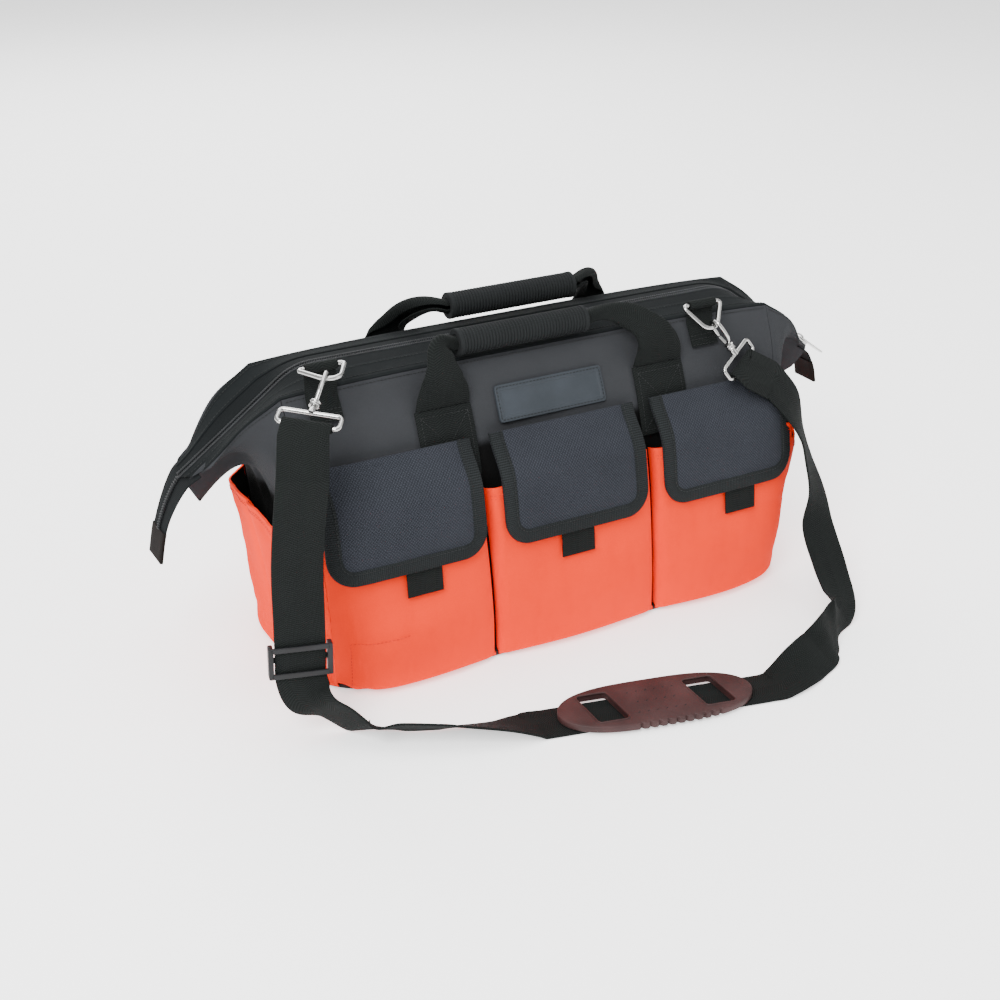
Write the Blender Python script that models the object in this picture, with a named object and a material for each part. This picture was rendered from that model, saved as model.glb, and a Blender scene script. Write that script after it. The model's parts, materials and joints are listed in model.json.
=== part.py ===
"""Open-pocket tool bag with a zipped top, carrying handles and a clip-on shoulder strap.

Metres, +Z up. The bag stands on its base at z = 0 with its length along X and its front facing -Y.
The fabric body is a loft from a rounded base to a narrow zipped ridge that runs out into an ear at
each end; everything else is seated on that surface.
"""

import math
from functools import lru_cache

import bmesh
import bpy
from mathutils import Matrix, Quaternion, Vector
from mathutils.geometry import interpolate_bezier

for thing in list(bpy.data.objects):
    bpy.data.objects.remove(thing, do_unlink=True)

# Clearances and general values
GAP = 0.0003
OVERRUN = 0.004
FABRIC = 0.0015
WEBBING = 0.0016
SMOOTH_ANGLE = math.radians(40)
NUDGE_SHARE = 0.002

# Bag body
LENGTH = 0.452
DEPTH = 0.184
CORNER_RADIUS = 0.060
FRONT_PANEL = 0.0028
END_PANEL = 0.0020
WALL_RISE = 0.100
SEAM_OVERHANG = 0.006
FRONT_SEAM_Y = -0.040
FRONT_SEAM_Z = 0.250
BACK_SEAM_Y = 0.030
BACK_SEAM_Z = 0.256
SEAM_CORNER_DROP = 0.004
FRONT_SHOULDER = (0.043, 0.060)
BACK_SHOULDER = (0.050, 0.058)
CREASE_SHOULDER = (0.075, 0.077)
EAR_REACH = 0.071
EAR_TIP_DROP = 0.026
PANEL_ROWS = 10
PANEL_COLUMNS = {"front": 6, "back": 6, "left": 4, "right": 4}
# The ear's seam from the corner to the tip: side share, reach, distance from the middle, drop
EAR_SEAM_SHARES = (
    (1.00, 0.00, 1.00, 0.00),
    (0.62, 0.42, 0.92, 0.22),
    (0.32, 0.80, 0.62, 0.56),
    (0.12, 1.00, 0.40, 0.70),
    (0.00, 0.84, 0.00, 1.00),
)
TAPE_END_SHARE = 0.10
EAR_TURN_SHARES = (0.6, 0.48)

# Base
BASE_COVER_HEIGHT = 0.005
BASE_COVER_RIM = 0.004
BASE_BOARD = 0.003

# Zip
ZIP_Y = -0.004
ZIP_Z = 0.258
ZIP_FLAT_INSET = 0.042
ZIP_BEND_RADIUS = 0.050
ZIP_SLOPE = math.radians(36)
ZIP_OVERHANG = 0.005
TEETH_REACH = 0.0040
TEETH_SLIT = 0.0007
TEETH_HALF_THICKNESS = 0.0016
TOOTH_PITCH = 0.0140
TOOTH_DEPTH = 0.0009
SLIDER_LENGTH = 0.019
SLIDER_WIDTH = 0.011
SLIDER_PLATE = 0.0016
SLIDER_NECK = 0.0008
SLIDER_END_GAP = 0.006
SLIDER_TRAVEL = 0.085
BRIDGE_WIRE = 0.0016
BRIDGE_LENGTH = 0.009
PULL_BAR = 0.0018
PULL_LENGTH = 0.034
PULL_WIDTH = 0.010
PULL_THICKNESS = 0.0014
END_TAB_WIDTH = 0.028
END_TAB_LENGTHS = {"left": 0.068, "right": 0.036}
END_TAB_SHARES = ((0.16, 0.26), (0.28, 0.56), (0.36, 0.92))

# Pockets
POCKET_DEPTH = 0.012
POCKET_FOOT_DEPTH = 0.008
POCKET_WALL = 0.0015
POCKET_FOOT_Z = 0.0077
POCKET_TOP_Z = 0.154
POCKET_SPLIT_X = 0.0785
END_POCKET_TOP_Z = 0.145
END_POCKET_GAPE = 0.018
BACK_POCKET_TOP_Z = 0.150
POCKET_TURN = 0.010
CORNER_SHARE = 0.95
POCKET_FOLD_SHARE = 0.006

# Flaps
FLAP_WIDTH = 0.138
FLAP_PITCH = 0.156
FLAP_THICKNESS = 0.0024
FLAP_ROOT_Z = 0.195
FLAP_ROOT_STAND = 0.0038
FLAP_HEM_Z = 0.105
FLAP_STAND = 0.0030
FLAP_WRAP = 0.005
FLAP_CORNER_RADIUS = 0.022
BINDING_WIDTH = 0.012
BINDING_RAISE = 0.0008
HOOK_PATCH = (0.060, 0.020)
PATCH_THICKNESS = 0.0010
PATCH_Z = 0.138
FLAP_TAB_WIDTH = 0.032
FLAP_TAB_DROP = 0.022
FLAP_TAB_TUCK = 0.012
FLAP_TAB_ASIDE = {"left": 0.012, "middle": 0, "right": 0.012}

# Name patch, left blank
NAME_PATCH = (0.102, 0.028)
NAME_PATCH_CENTRE = (-0.004, 0.214)
NAME_PATCH_THICKNESS = 0.0020
NAME_PATCH_SINK = 0.0007
NAME_PATCH_BORDER = 0.004

# Carrying handles
HANDLE_HALF_SPACING = 0.103
HANDLE_WEB_WIDTH = 0.050
HANDLE_FOOT_Z = 0.165
HANDLE_FOLD_Z = 0.222
GRIP_LENGTH = 0.126
GRIP_RADIUS = 0.0100
GRIP_BORE_RADIUS = 0.0060
GRIP_RIB_PITCH = 0.0110
GRIP_RIB_HEIGHT = 0.0012
FRONT_GRIP = (-0.022, -0.042, 0.267)
BACK_GRIP = (0.000, 0.015, 0.277)
HANDLE_BOW = {"front": (-0.012, 0.040), "back": (0.004, 0.038)}
GRIP_RUN_IN = 0.022
GRIP_RISE = 0.011
FOLD_SHARE = 0.45
FOLDED_SHARE = 0.92
EDGE_ROUND_SHARE = 0.15
FOOT_TURNS = (math.radians(75), math.radians(40))
FOLD_WIDTH = 0.024
FOLD_THICKNESS = 0.007

# Shoulder strap fittings
RING_WIRE = 0.0020
RING_BAR = 0.040
RING_REACH = {"left": 0.0245, "right": 0.0240}
RING_PLACE = {"left": (-0.200, -0.046, 0.270), "right": (0.156, -0.0465, 0.262)}
RING_PITCH = {"left": math.radians(-3), "right": math.radians(-46)}
RING_CORNER = 0.0025
RING_APEX = 0.0100
LOOP_WIDTH = 0.027
LOOP_TAIL_Z = 0.226
HOOK_WIRE = 0.00175
HOOK_BOW = 0.0058
HOOK_LENGTH = {"left": 0.0390, "right": 0.0360}
HOOK_NOSE = 0.0095
BARREL_RADIUS = 0.0042
BARREL_LENGTH = 0.0055
GATE_WIDTH = 0.0030
GATE_THICKNESS = 0.0014
EYE_WIRE = 0.00175
EYE_INSIDE = 0.0445
EYE_HEIGHT = 0.0120
EYE_CORNER = 0.0035
HOOK_HEADING = {"left": (-0.60, -0.66, -0.45), "right": (0.48, -0.32, -0.815)}
EYE_HEADING = {"left": (0.742, -0.620, -0.078), "right": (0.755, 0.503, 0.419)}

# Shoulder strap
STRAP_WIDTH = 0.039
STRAP = 0.0020
STRAP_REACH = 0.250
STRAP_HEIGHT = 0.250
STRAP_STEPS = 3
STRAP_RUN_OUT = {"left": 0.8, "right": 0.5}
# Centre of the webbing and its direction across, as shares of half the length, the reach and
# the height; a height of zero lies on the ground
STRAP_LEFT_SHARES = (
    (-1.115, -0.512, 0.871, 0.93, -0.34, -0.10),
    (-1.141, -0.520, 0.728, 0.97, -0.24, -0.08),
    (-1.159, -0.528, 0.595, 0.97, -0.24, -0.03),
    (-1.166, -0.533, 0.429, 0.97, -0.24, -0.03),
    (-1.172, -0.537, 0.300, 0.97, -0.24, -0.03),
    (-1.174, -0.539, 0.235, 0.97, -0.25, -0.03),
    (-1.152, -0.556, 0.165, 0.86, -0.50, -0.02),
    (-1.075, -0.585, 0.110, 0.60, -0.78, 0.15),
)
STRAP_FRONT_LEFT_SHARES = (
    (-0.982, -0.620, 0.000, 0.30, -0.85, 0.43),
    (-0.885, -0.680, 0.000, 0.08, -0.80, 0.60),
    (-0.764, -0.735, 0.000, -0.18, -0.76, 0.61),
    (-0.714, -0.752, 0.000, -0.37, -0.72, 0.56),
    (-0.571, -0.800, 0.000, -0.44, -0.80, 0.41),
    (-0.470, -0.814, 0.000, -0.30, -0.94, 0.16),
)
STRAP_FRONT_RIGHT_SHARES = (
    (0.470, -1.000, 0.000, -0.20, -0.97, -0.08),
    (0.602, -0.980, 0.000, -0.29, -0.80, -0.50),
    (0.695, -0.952, 0.000, -0.20, -0.76, -0.62),
    (0.770, -0.916, 0.000, 0.30, -0.35, -0.85),
    (0.861, -0.852, 0.000, 0.69, 0.45, -0.55),
)
STRAP_RIGHT_SHARES = (
    (0.962, -0.767, 0.081, 0.93, 0.25, -0.27),
    (1.017, -0.644, 0.151, 0.98, 0.05, -0.18),
    (1.059, -0.520, 0.249, 0.98, 0.10, -0.14),
    (1.079, -0.472, 0.359, 0.85, 0.43, -0.31),
    (1.060, -0.432, 0.478, 0.71, 0.57, -0.41),
    (1.045, -0.400, 0.569, 0.67, 0.73, -0.16),
    (1.004, -0.368, 0.684, 0.78, 0.56, 0.29),
    (0.940, -0.332, 0.767, 0.91, 0.38, 0.18),
)
ADJUSTER_CLEARANCE = 0.0010
ADJUSTER_BAR = 0.0022
ADJUSTER_PITCH = 0.011
ADJUSTER_RAIL = 0.0040
PAD_LENGTH = 0.165
PAD_WIDTH = 0.061
PAD_THICKNESS = 0.0060
PAD_CENTRE = (0.000, -0.226)
PAD_TURN = math.radians(-13)
PAD_TRAVEL = 0.010
PAD_RUN_OUT = 0.006
PAD_TAPER_SHARE = 0.55
PAD_SLOT = (0.027, 0.041)
PAD_SLOT_OFFSET = 0.0455
PAD_RIB_COUNT = 9
PAD_RIB_DEPTH = 0.0016

UP = Vector((0, 0, 1))
ALONG_X = Vector((1, 0, 0))
ALONG_Y = Vector((0, 1, 0))
HALF_LENGTH = LENGTH / 2
HALF_DEPTH = DEPTH / 2
PANEL_FOOT_Z = BASE_COVER_HEIGHT + GAP
SEAM_HALF_LENGTH = HALF_LENGTH + SEAM_OVERHANG

# The zip lies flat along the seams, bends, and slopes out past the tip of each ear
ZIP_FLAT_HALF = SEAM_HALF_LENGTH - ZIP_FLAT_INSET
ZIP_BEND_END = ZIP_FLAT_HALF + ZIP_BEND_RADIUS * ZIP_SLOPE
ZIP_BEND_END_X = ZIP_FLAT_HALF + ZIP_BEND_RADIUS * math.sin(ZIP_SLOPE)
ZIP_SLOPE_RUN = (SEAM_HALF_LENGTH + EAR_REACH + ZIP_OVERHANG - ZIP_BEND_END_X) / math.cos(ZIP_SLOPE)
ZIP_HALF_LENGTH = ZIP_BEND_END + ZIP_SLOPE_RUN
ZIP_TIP_Z = ZIP_Z - ZIP_BEND_RADIUS * (1 - math.cos(ZIP_SLOPE)) - ZIP_SLOPE_RUN * math.sin(ZIP_SLOPE)
EAR_TIP_Z = ZIP_TIP_Z - EAR_TIP_DROP

# Each side of the bag: direction along it, direction outwards, half its length, half the other way
SIDES = {
    "front": (ALONG_X, -ALONG_Y, HALF_LENGTH, HALF_DEPTH),
    "right": (ALONG_Y, ALONG_X, HALF_DEPTH, HALF_LENGTH),
    "back": (-ALONG_X, ALONG_Y, HALF_LENGTH, HALF_DEPTH),
    "left": (-ALONG_Y, -ALONG_X, HALF_DEPTH, HALF_LENGTH),
}
NEXT_SIDE = {"front": "right", "right": "back", "back": "left", "left": "front"}
PREVIOUS_SIDE = {after: before for before, after in NEXT_SIDE.items()}


# Materials


def material(name, colour, roughness, metallic=0.0):
    """A plain Principled material."""
    made = bpy.data.materials.new(name)
    made.use_nodes = True
    shader = made.node_tree.nodes["Principled BSDF"]
    shader.inputs["Base Color"].default_value = (*colour, 1)
    shader.inputs["Roughness"].default_value = roughness
    shader.inputs["Metallic"].default_value = metallic
    return made


CHARCOAL = material("charcoal_fabric", (0.060, 0.060, 0.068), 0.85)
ORANGE = material("orange_fabric", (0.85, 0.14, 0.07), 0.80)
FLAP_GREY = material("flap_fabric", (0.042, 0.048, 0.062), 0.85)
BLACK_WEB = material("black_webbing", (0.018, 0.021, 0.020), 0.80)
RUBBER = material("grip_rubber", (0.030, 0.032, 0.036), 0.60)
PAD_RUBBER = material("pad_rubber", (0.110, 0.042, 0.042), 0.55)
PATCH_RUBBER = material("patch_rubber", (0.080, 0.095, 0.110), 0.60)
BASE_BLACK = material("base_moulding", (0.012, 0.012, 0.013), 0.70)
BOARD = material("base_board", (0.030, 0.030, 0.030), 0.75)
NICKEL = material("nickel", (0.72, 0.72, 0.70), 0.22, 1.0)
TEETH = material("zip_teeth", (0.020, 0.020, 0.022), 0.45)
ADJUSTER = material("adjuster_plastic", (0.015, 0.015, 0.016), 0.50)


# Mesh helpers


def finish(name, bm, look):
    """Turn a bmesh into a named, smooth-shaded object."""
    bmesh.ops.recalc_face_normals(bm, faces=bm.faces)
    mesh = bpy.data.meshes.new(name)
    bm.to_mesh(mesh)
    bm.free()
    mesh.materials.append(look)
    mesh.shade_smooth()
    mesh.set_sharp_from_angle(angle=SMOOTH_ANGLE)
    made = bpy.data.objects.new(name, mesh)
    bpy.context.scene.collection.objects.link(made)
    return made


def loft(name, rings, look):
    """A closed body through rings of points, capped at both ends."""
    bm = bmesh.new()
    loops = [[bm.verts.new(point) for point in ring] for ring in rings]
    for one, two in zip(loops, loops[1:]):
        for k in range(len(one)):
            after = (k + 1) % len(one)
            bm.faces.new((one[k], one[after], two[after], two[k]))
    bm.faces.new(list(reversed(loops[0])))
    bm.faces.new(loops[-1])
    return finish(name, bm, look)


def shell(name, outer, inner, look):
    """A closed sheet between two grids of points with the same rows and columns."""
    bm = bmesh.new()
    skins = [[[bm.verts.new(point) for point in row] for row in grid] for grid in (outer, inner)]
    rows, columns = len(outer), len(outer[0])
    for skin in skins:
        for i in range(rows - 1):
            for j in range(columns - 1):
                bm.faces.new((skin[i][j], skin[i + 1][j], skin[i + 1][j + 1], skin[i][j + 1]))
    rim = [(0, j) for j in range(columns)]
    rim += [(i, columns - 1) for i in range(1, rows)]
    rim += [(rows - 1, j) for j in range(columns - 2, -1, -1)]
    rim += [(i, 0) for i in range(rows - 2, 0, -1)]
    for (i, j), (k, m) in zip(rim, rim[1:] + rim[:1]):
        bm.faces.new((skins[0][i][j], skins[0][k][m], skins[1][k][m], skins[1][i][j]))
    return finish(name, bm, look)


def sheet(name, grid, thickness, look):
    """A grid of points thickened to one side by a Solidify modifier."""
    bm = bmesh.new()
    verts = [[bm.verts.new(point) for point in row] for row in grid]
    for i in range(len(grid) - 1):
        for j in range(len(grid[0]) - 1):
            bm.faces.new((verts[i][j], verts[i + 1][j], verts[i + 1][j + 1], verts[i][j + 1]))
    mesh = bpy.data.meshes.new(name)
    bm.to_mesh(mesh)
    bm.free()
    mesh.materials.append(look)
    mesh.shade_smooth()
    made = bpy.data.objects.new(name, mesh)
    bpy.context.scene.collection.objects.link(made)
    thicken = made.modifiers.new("thickness", "SOLIDIFY")
    thicken.thickness = thickness
    thicken.offset = 1
    return made


def ribbon(name, stations, thickness, look):
    """Webbing through stations of a centre, a vector half across and a unit vector off its face.

    Both faces are split along the same diagonals, so that they stay apart where the webbing twists.
    """
    bm = bmesh.new()
    loops = []
    for centre, across, off in stations:
        lift = off * thickness / 2
        signs = ((-1, -1), (1, -1), (1, 1), (-1, 1))
        loops.append([bm.verts.new(centre + across * a + lift * b) for a, b in signs])
    for one, two in zip(loops, loops[1:]):
        for k in range(4):
            quad = [one[k], one[(k + 1) % 4], two[(k + 1) % 4], two[k]]
            if k > 1:
                quad = quad[1:] + quad[:1]
            bm.faces.new(quad[:3])
            bm.faces.new((quad[0], quad[2], quad[3]))
    bm.faces.new(list(reversed(loops[0])))
    bm.faces.new(loops[-1])
    return finish(name, bm, look)


def prism(name, outline, depth, look, frame=None):
    """An outline in its own XY plane extruded along Z from zero, then placed by a frame."""
    bm = bmesh.new()
    face = bm.faces.new([bm.verts.new((x, y, 0)) for x, y in outline])
    grown = bmesh.ops.extrude_face_region(bm, geom=[face])
    risen = [item for item in grown["geom"] if isinstance(item, bmesh.types.BMVert)]
    bmesh.ops.translate(bm, verts=risen, vec=(0, 0, depth))
    made = finish(name, bm, look)
    if frame is not None:
        made.matrix_world = frame
    return made


def box(name, size, frame, look):
    """A box centred on its frame."""
    x, y, z = (value / 2 for value in size)
    made = prism(name, [(-x, -y), (x, -y), (x, y), (-x, y)], 2 * z, look)
    made.data.transform(Matrix.Translation((0, 0, -z)))
    made.matrix_world = frame
    return made


def wire(name, points, radius, look, cyclic=False, frame=None):
    """Round wire along points, as a bevelled curve."""
    curve = bpy.data.curves.new(name, "CURVE")
    curve.dimensions = "3D"
    spline = curve.splines.new("POLY")
    spline.points.add(len(points) - 1)
    for place, point in zip(spline.points, points):
        place.co = (*point, 1)
    spline.use_cyclic_u = cyclic
    spline.use_smooth = True
    curve.bevel_depth = radius
    curve.bevel_resolution = 2
    curve.use_fill_caps = not cyclic
    curve.materials.append(look)
    made = bpy.data.objects.new(name, curve)
    bpy.context.scene.collection.objects.link(made)
    if frame is not None:
        made.matrix_world = frame
    return made


def fuse(base, *others, operation="UNION"):
    """Join bodies to the first, or cut them from it, and keep the result as a plain mesh."""
    bpy.context.view_layer.update()
    if base.type != "MESH":
        base = as_mesh(base)
    for other in others:
        change = base.modifiers.new(operation.lower(), "BOOLEAN")
        change.operation = operation
        change.solver = "EXACT"
        change.object = other
    graph = bpy.context.evaluated_depsgraph_get()
    mesh = bpy.data.meshes.new_from_object(base.evaluated_get(graph))
    mesh.name = base.name
    base.modifiers.clear()
    base.data = mesh
    for other in others:
        bpy.data.objects.remove(other, do_unlink=True)
    return base


def as_mesh(source):
    """Replace a curve object by a mesh object of the same name and place."""
    graph = bpy.context.evaluated_depsgraph_get()
    mesh = bpy.data.meshes.new_from_object(source.evaluated_get(graph))
    name, place = source.name, source.matrix_world.copy()
    bpy.data.objects.remove(source, do_unlink=True)
    made = bpy.data.objects.new(name, mesh)
    bpy.context.scene.collection.objects.link(made)
    made.matrix_world = place
    return made


def pivot(name, place, parent=None):
    """An empty on a joint's axis, which the pieces that move about it are parented to."""
    made = bpy.data.objects.new(name, None)
    bpy.context.scene.collection.objects.link(made)
    made.matrix_world = Matrix.Translation(place)
    if parent is not None:
        carry(parent, made)
    return made


def carry(parent, *children):
    """Parent pieces without moving them."""
    bpy.context.view_layer.update()
    for child in children:
        place = child.matrix_world.copy()
        child.parent = parent
        child.matrix_parent_inverse = parent.matrix_world.inverted()
        child.matrix_world = place


def frame_of(origin, x_axis, y_axis):
    """A frame from an origin and two directions that needn't be quite square."""
    z_axis = x_axis.cross(y_axis).normalized()
    x_axis = x_axis.normalized()
    y_axis = z_axis.cross(x_axis)
    turn = Matrix((x_axis, y_axis, z_axis)).transposed()
    return Matrix.Translation(origin) @ turn.to_4x4()


# Curves and shares


def mix(one, two, share):
    """The value at a share of the way from one to the other."""
    return one + (two - one) * share


def smooth(share):
    """A share from 0 to 1 eased at both ends."""
    share = min(max(share, 0), 1)
    return share * share * (3 - 2 * share)


def spread(count):
    """Evenly spaced shares from 0 to 1, in a number of steps."""
    return [k / count for k in range(count + 1)]


def through(points, steps):
    """A smooth curve through points, as Vectors, with a number of steps between each two."""
    points = [Vector(point) for point in points]
    padded = [points[0] * 2 - points[1], *points, points[-1] * 2 - points[-2]]
    curve = []
    for before, start, end, after in zip(padded, padded[1:], padded[2:], padded[3:]):
        for share in spread(steps)[:-1]:
            square, cube = share**2, share**3
            bend = (
                start * 2
                + (end - before) * share
                + (before * 2 - start * 5 + end * 4 - after) * square
                + (start * 3 - before - end * 3 + after) * cube
            )
            curve.append(bend / 2)
    curve.append(points[-1])
    return curve


def arc(centre, radius, start, end, steps):
    """Points of an arc in a plane, by angles in radians."""
    angles = [mix(start, end, share) for share in spread(steps)]
    return [(centre[0] + radius * math.cos(a), centre[1] + radius * math.sin(a)) for a in angles]


def rounded(corners, radii, steps):
    """A closed outline with each of its corners rounded by its own radius."""
    outline = []
    count = len(corners)
    for k in range(count):
        corner = Vector(corners[k])
        before = (Vector(corners[k - 1]) - corner).normalized()
        after = (Vector(corners[(k + 1) % count]) - corner).normalized()
        half = before.angle(after) / 2
        centre = corner + (before + after).normalized() * radii[k] / math.sin(half)
        start = corner + before * radii[k] / math.tan(half) - centre
        end = corner + after * radii[k] / math.tan(half) - centre
        first = math.atan2(start.y, start.x)
        turn = math.atan2(start.x * end.y - start.y * end.x, start.dot(end))
        outline += arc(centre, radii[k], first, first + turn, steps)
    return outline


# The fabric body's surface


def base_point(side, s, grow=0):
    """The base's outline at share s of a side, from -1 to 1, counterclockwise from above."""
    along, out, half, other = SIDES[side]
    straight = half - CORNER_RADIUS
    run = abs(s) * (straight + CORNER_RADIUS * math.pi / 4)
    sign = math.copysign(1, s)
    if run <= straight:
        return along * sign * run + out * (other + grow)
    angle = (run - straight) / CORNER_RADIUS
    radius = CORNER_RADIUS + grow
    away = straight + radius * math.sin(angle)
    return along * sign * away + out * (other - CORNER_RADIUS + radius * math.cos(angle))


def faces_front(side, s):
    """Whether share s of a side lies in the front half of the bag."""
    along, out, _, _ = SIDES[side]
    return side == "front" or (side != "back" and along.y * s < 0)


def ear_shares(share):
    """Reach, distance from the middle and drop of the ear's seam at a side share."""
    for (far, *one), (near, *two) in zip(EAR_SEAM_SHARES, EAR_SEAM_SHARES[1:]):
        if share >= near:
            blend = (far - share) / (far - near)
            return [mix(first, last, blend) for first, last in zip(one, two)]
    return EAR_SEAM_SHARES[-1][1:]


def wall_top(side, s):
    """The seam at the top of a side."""
    along, out, _, _ = SIDES[side]
    front = faces_front(side, s)
    seam_y, seam_z = (FRONT_SEAM_Y, FRONT_SEAM_Z) if front else (BACK_SEAM_Y, BACK_SEAM_Z)
    if side in ("front", "back"):
        return Vector((along.x * SEAM_HALF_LENGTH * s, seam_y, seam_z - SEAM_CORNER_DROP * s**4))
    reach, aside, drop = ear_shares(abs(s))
    corner_z = seam_z - SEAM_CORNER_DROP
    height = mix(corner_z, EAR_TIP_Z, drop)
    return Vector((out.x * (SEAM_HALF_LENGTH + EAR_REACH * reach), seam_y * aside, height))


def shoulder(side, s):
    """The pull that rounds the wall into its top seam."""
    out = SIDES[side][1]
    front = faces_front(side, s)
    reach, rise = FRONT_SHOULDER if front else BACK_SHOULDER
    corner = Vector((0, -reach if front else reach, -rise))
    if side in ("front", "back"):
        return corner
    crease = -out * CREASE_SHOULDER[0] + UP * CREASE_SHOULDER[1]
    return crease.lerp(corner, smooth(abs(s)))


@lru_cache(maxsize=None)
def wall_point(side, s, t):
    """The outer fabric surface at share s along a side and t from the base to the top seam."""
    foot = base_point(side, s) + UP * PANEL_FOOT_Z
    top = wall_top(side, s)
    rise = foot + UP * WALL_RISE
    pull = top + shoulder(side, s)
    u = 1 - t
    return foot * u**3 + rise * 3 * u**2 * t + pull * 3 * u * t**2 + top * t**3


def one_sided_normal(side, s, t):
    """The outward normal from differences that stay on the side."""
    back, ahead = max(s - NUDGE_SHARE, -1), min(s + NUDGE_SHARE, 1)
    low, high = max(t - NUDGE_SHARE, 0), min(t + NUDGE_SHARE, 1)
    across = wall_point(side, ahead, t) - wall_point(side, back, t)
    upward = wall_point(side, s, high) - wall_point(side, s, low)
    return across.cross(upward).normalized()


@lru_cache(maxsize=None)
def wall_normal(side, s, t):
    """The outward normal, shared by two sides where they meet."""
    own = one_sided_normal(side, s, t)
    if abs(s) > 1 - 2 * NUDGE_SHARE:
        neighbour = NEXT_SIDE[side] if s > 0 else PREVIOUS_SIDE[side]
        own = (own + one_sided_normal(neighbour, -s, t)).normalized()
    return own


def wall_upward(side, s, t):
    """The direction up the wall."""
    return (wall_point(side, s, t) - wall_point(side, s, t - NUDGE_SHARE)).normalized()


def off_wall(side, s, t, distance):
    """A point at a distance outside the wall."""
    return wall_point(side, s, t) + wall_normal(side, s, t) * distance


@lru_cache(maxsize=None)
def wall_shares(side, place, height):
    """The shares s and t where the wall is at a place along its side and a height."""
    along, _, half, _ = SIDES[side]
    s, t = place / half, height / FRONT_SEAM_Z
    for _ in range(30):
        here = wall_point(side, s, t)
        s += (place - here.dot(along)) / half
        t += (height - here.z) / FRONT_SEAM_Z
    return s, t


def wall_at(side, place, height, distance):
    """A point outside the wall, by its place along the side and its height."""
    return off_wall(side, *wall_shares(side, place, height), distance)


def side_shares(side, straight_steps, corner_steps=3):
    """Shares along a side, closer together round its corners, a seam gap short of both ends."""
    half = SIDES[side][2]
    straight = half - CORNER_RADIUS
    whole = straight + CORNER_RADIUS * math.pi / 4
    turn, edge = straight / whole, 1 - GAP / whole
    middle = [mix(-turn, turn, share) for share in spread(straight_steps)]
    corner = [mix(turn, edge, share) for share in spread(corner_steps)][1:]
    return [-share for share in reversed(corner)] + middle + corner


# Bag body pieces


def outline_slab(name, grow, bottom, height, look):
    """A slab with the base's outline, grown or shrunk."""
    outline = []
    for side in SIDES:
        outline += [base_point(side, share, grow).xy for share in side_shares(side, 1)]
    return prism(name, outline, height, look, Matrix.Translation((0, 0, bottom)))


def panel(name, side, thickness, look):
    """One fabric wall of the body, thick inwards, a seam gap short of its neighbours."""
    shares = side_shares(side, PANEL_COLUMNS[side])
    outer, inner = [], []
    for s in shares:
        turned = [(t, thickness * ear_share(side, s, t)) for t in spread(PANEL_ROWS)]
        outer.append([off_wall(side, s, t, out) for t, out in turned])
        inner.append([off_wall(side, s, t, out - thickness) for t, out in turned])
    return shell(name, outer, inner, look)


def ear_share(side, s, t):
    """How far the fabric's thickness turns to the outside, under an ear, to leave its seam free."""
    if side in ("front", "back"):
        return 0
    start, width = EAR_TURN_SHARES
    return smooth((t - start) / (1 - start)) * smooth(2 - abs(s) / width)


def body_panels():
    """Base cover, base board and the four walls."""
    outline_slab("base_cover", BASE_COVER_RIM, 0, BASE_COVER_HEIGHT, BASE_BLACK)
    inset = FRONT_PANEL + 2 * GAP
    outline_slab("base_board", -inset, PANEL_FOOT_Z, BASE_BOARD, BOARD)
    panel("front_panel", "front", FRONT_PANEL, CHARCOAL)
    panel("back_panel", "back", FRONT_PANEL, CHARCOAL)
    panel("end_panel_left", "left", END_PANEL, CHARCOAL)
    panel("end_panel_right", "right", END_PANEL, CHARCOAL)


# Zip


def zip_point(u):
    """The middle line of the teeth at a distance u from the middle: flat, a bend, then a slope."""
    sign = math.copysign(1, u)
    past = abs(u) - ZIP_FLAT_HALF
    if past <= 0:
        return Vector((u, ZIP_Y, ZIP_Z))
    angle = min(past / ZIP_BEND_RADIUS, ZIP_SLOPE)
    run = past - angle * ZIP_BEND_RADIUS
    x = ZIP_FLAT_HALF + ZIP_BEND_RADIUS * math.sin(angle) + run * math.cos(angle)
    z = ZIP_Z - ZIP_BEND_RADIUS * (1 - math.cos(angle)) - run * math.sin(angle)
    return Vector((sign * x, ZIP_Y, z))


def zip_up(u):
    """The direction square to the teeth, away from the bag."""
    angle = min(max(abs(u) - ZIP_FLAT_HALF, 0) / ZIP_BEND_RADIUS, ZIP_SLOPE)
    return Vector((math.copysign(math.sin(angle), u), 0, math.cos(angle)))


def tape_stations(edge):
    """Where the tape is sewn to the body and its share of the zip, from the left tip to the right."""
    past_bend = (SEAM_HALF_LENGTH - ZIP_BEND_END_X) / math.cos(ZIP_SLOPE)
    corner = (ZIP_BEND_END + past_bend) / ZIP_HALF_LENGTH
    ear = [share for share in side_shares("right", PANEL_COLUMNS["right"]) if share > TAPE_END_SHARE]
    ends = {}
    for side in ("left", "right"):
        sign = 1 if faces_front(side, 1) == (edge == "front") else -1
        out = SIDES[side][1].x
        shares = [mix(corner, 1, (1 - share) / (1 - ear[0])) for share in ear]
        ends[side] = [(side, sign * share, out * q) for share, q in zip(ear, shares)]
    along = SIDES[edge][0].x
    middle = [(edge, s, s * along * corner) for s in side_shares(edge, PANEL_COLUMNS[edge])]
    middle.sort(key=lambda station: station[2])
    return ends["left"] + middle + list(reversed(ends["right"]))


def zip_tape(edge):
    """One fabric tape from the top seam to the teeth."""
    sign = -1 if edge == "front" else 1
    lower, upper = [], []
    for side, s, q in tape_stations(edge):
        rise = wall_upward(side, s, 1)
        seam = wall_point(side, s, 1) + rise * GAP
        u = q * ZIP_HALF_LENGTH
        above = zip_up(u)
        teeth = zip_point(u) + ALONG_Y * sign * (TEETH_REACH + GAP) - above * FABRIC / 2
        across = spread(3)
        lower.append([seam.lerp(teeth, r) for r in across])
        upper.append([seam.lerp(teeth, r) + rise.lerp(above, r).normalized() * FABRIC for r in across])
    return shell("zip_tape_" + edge, upper, lower, CHARCOAL)


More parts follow.
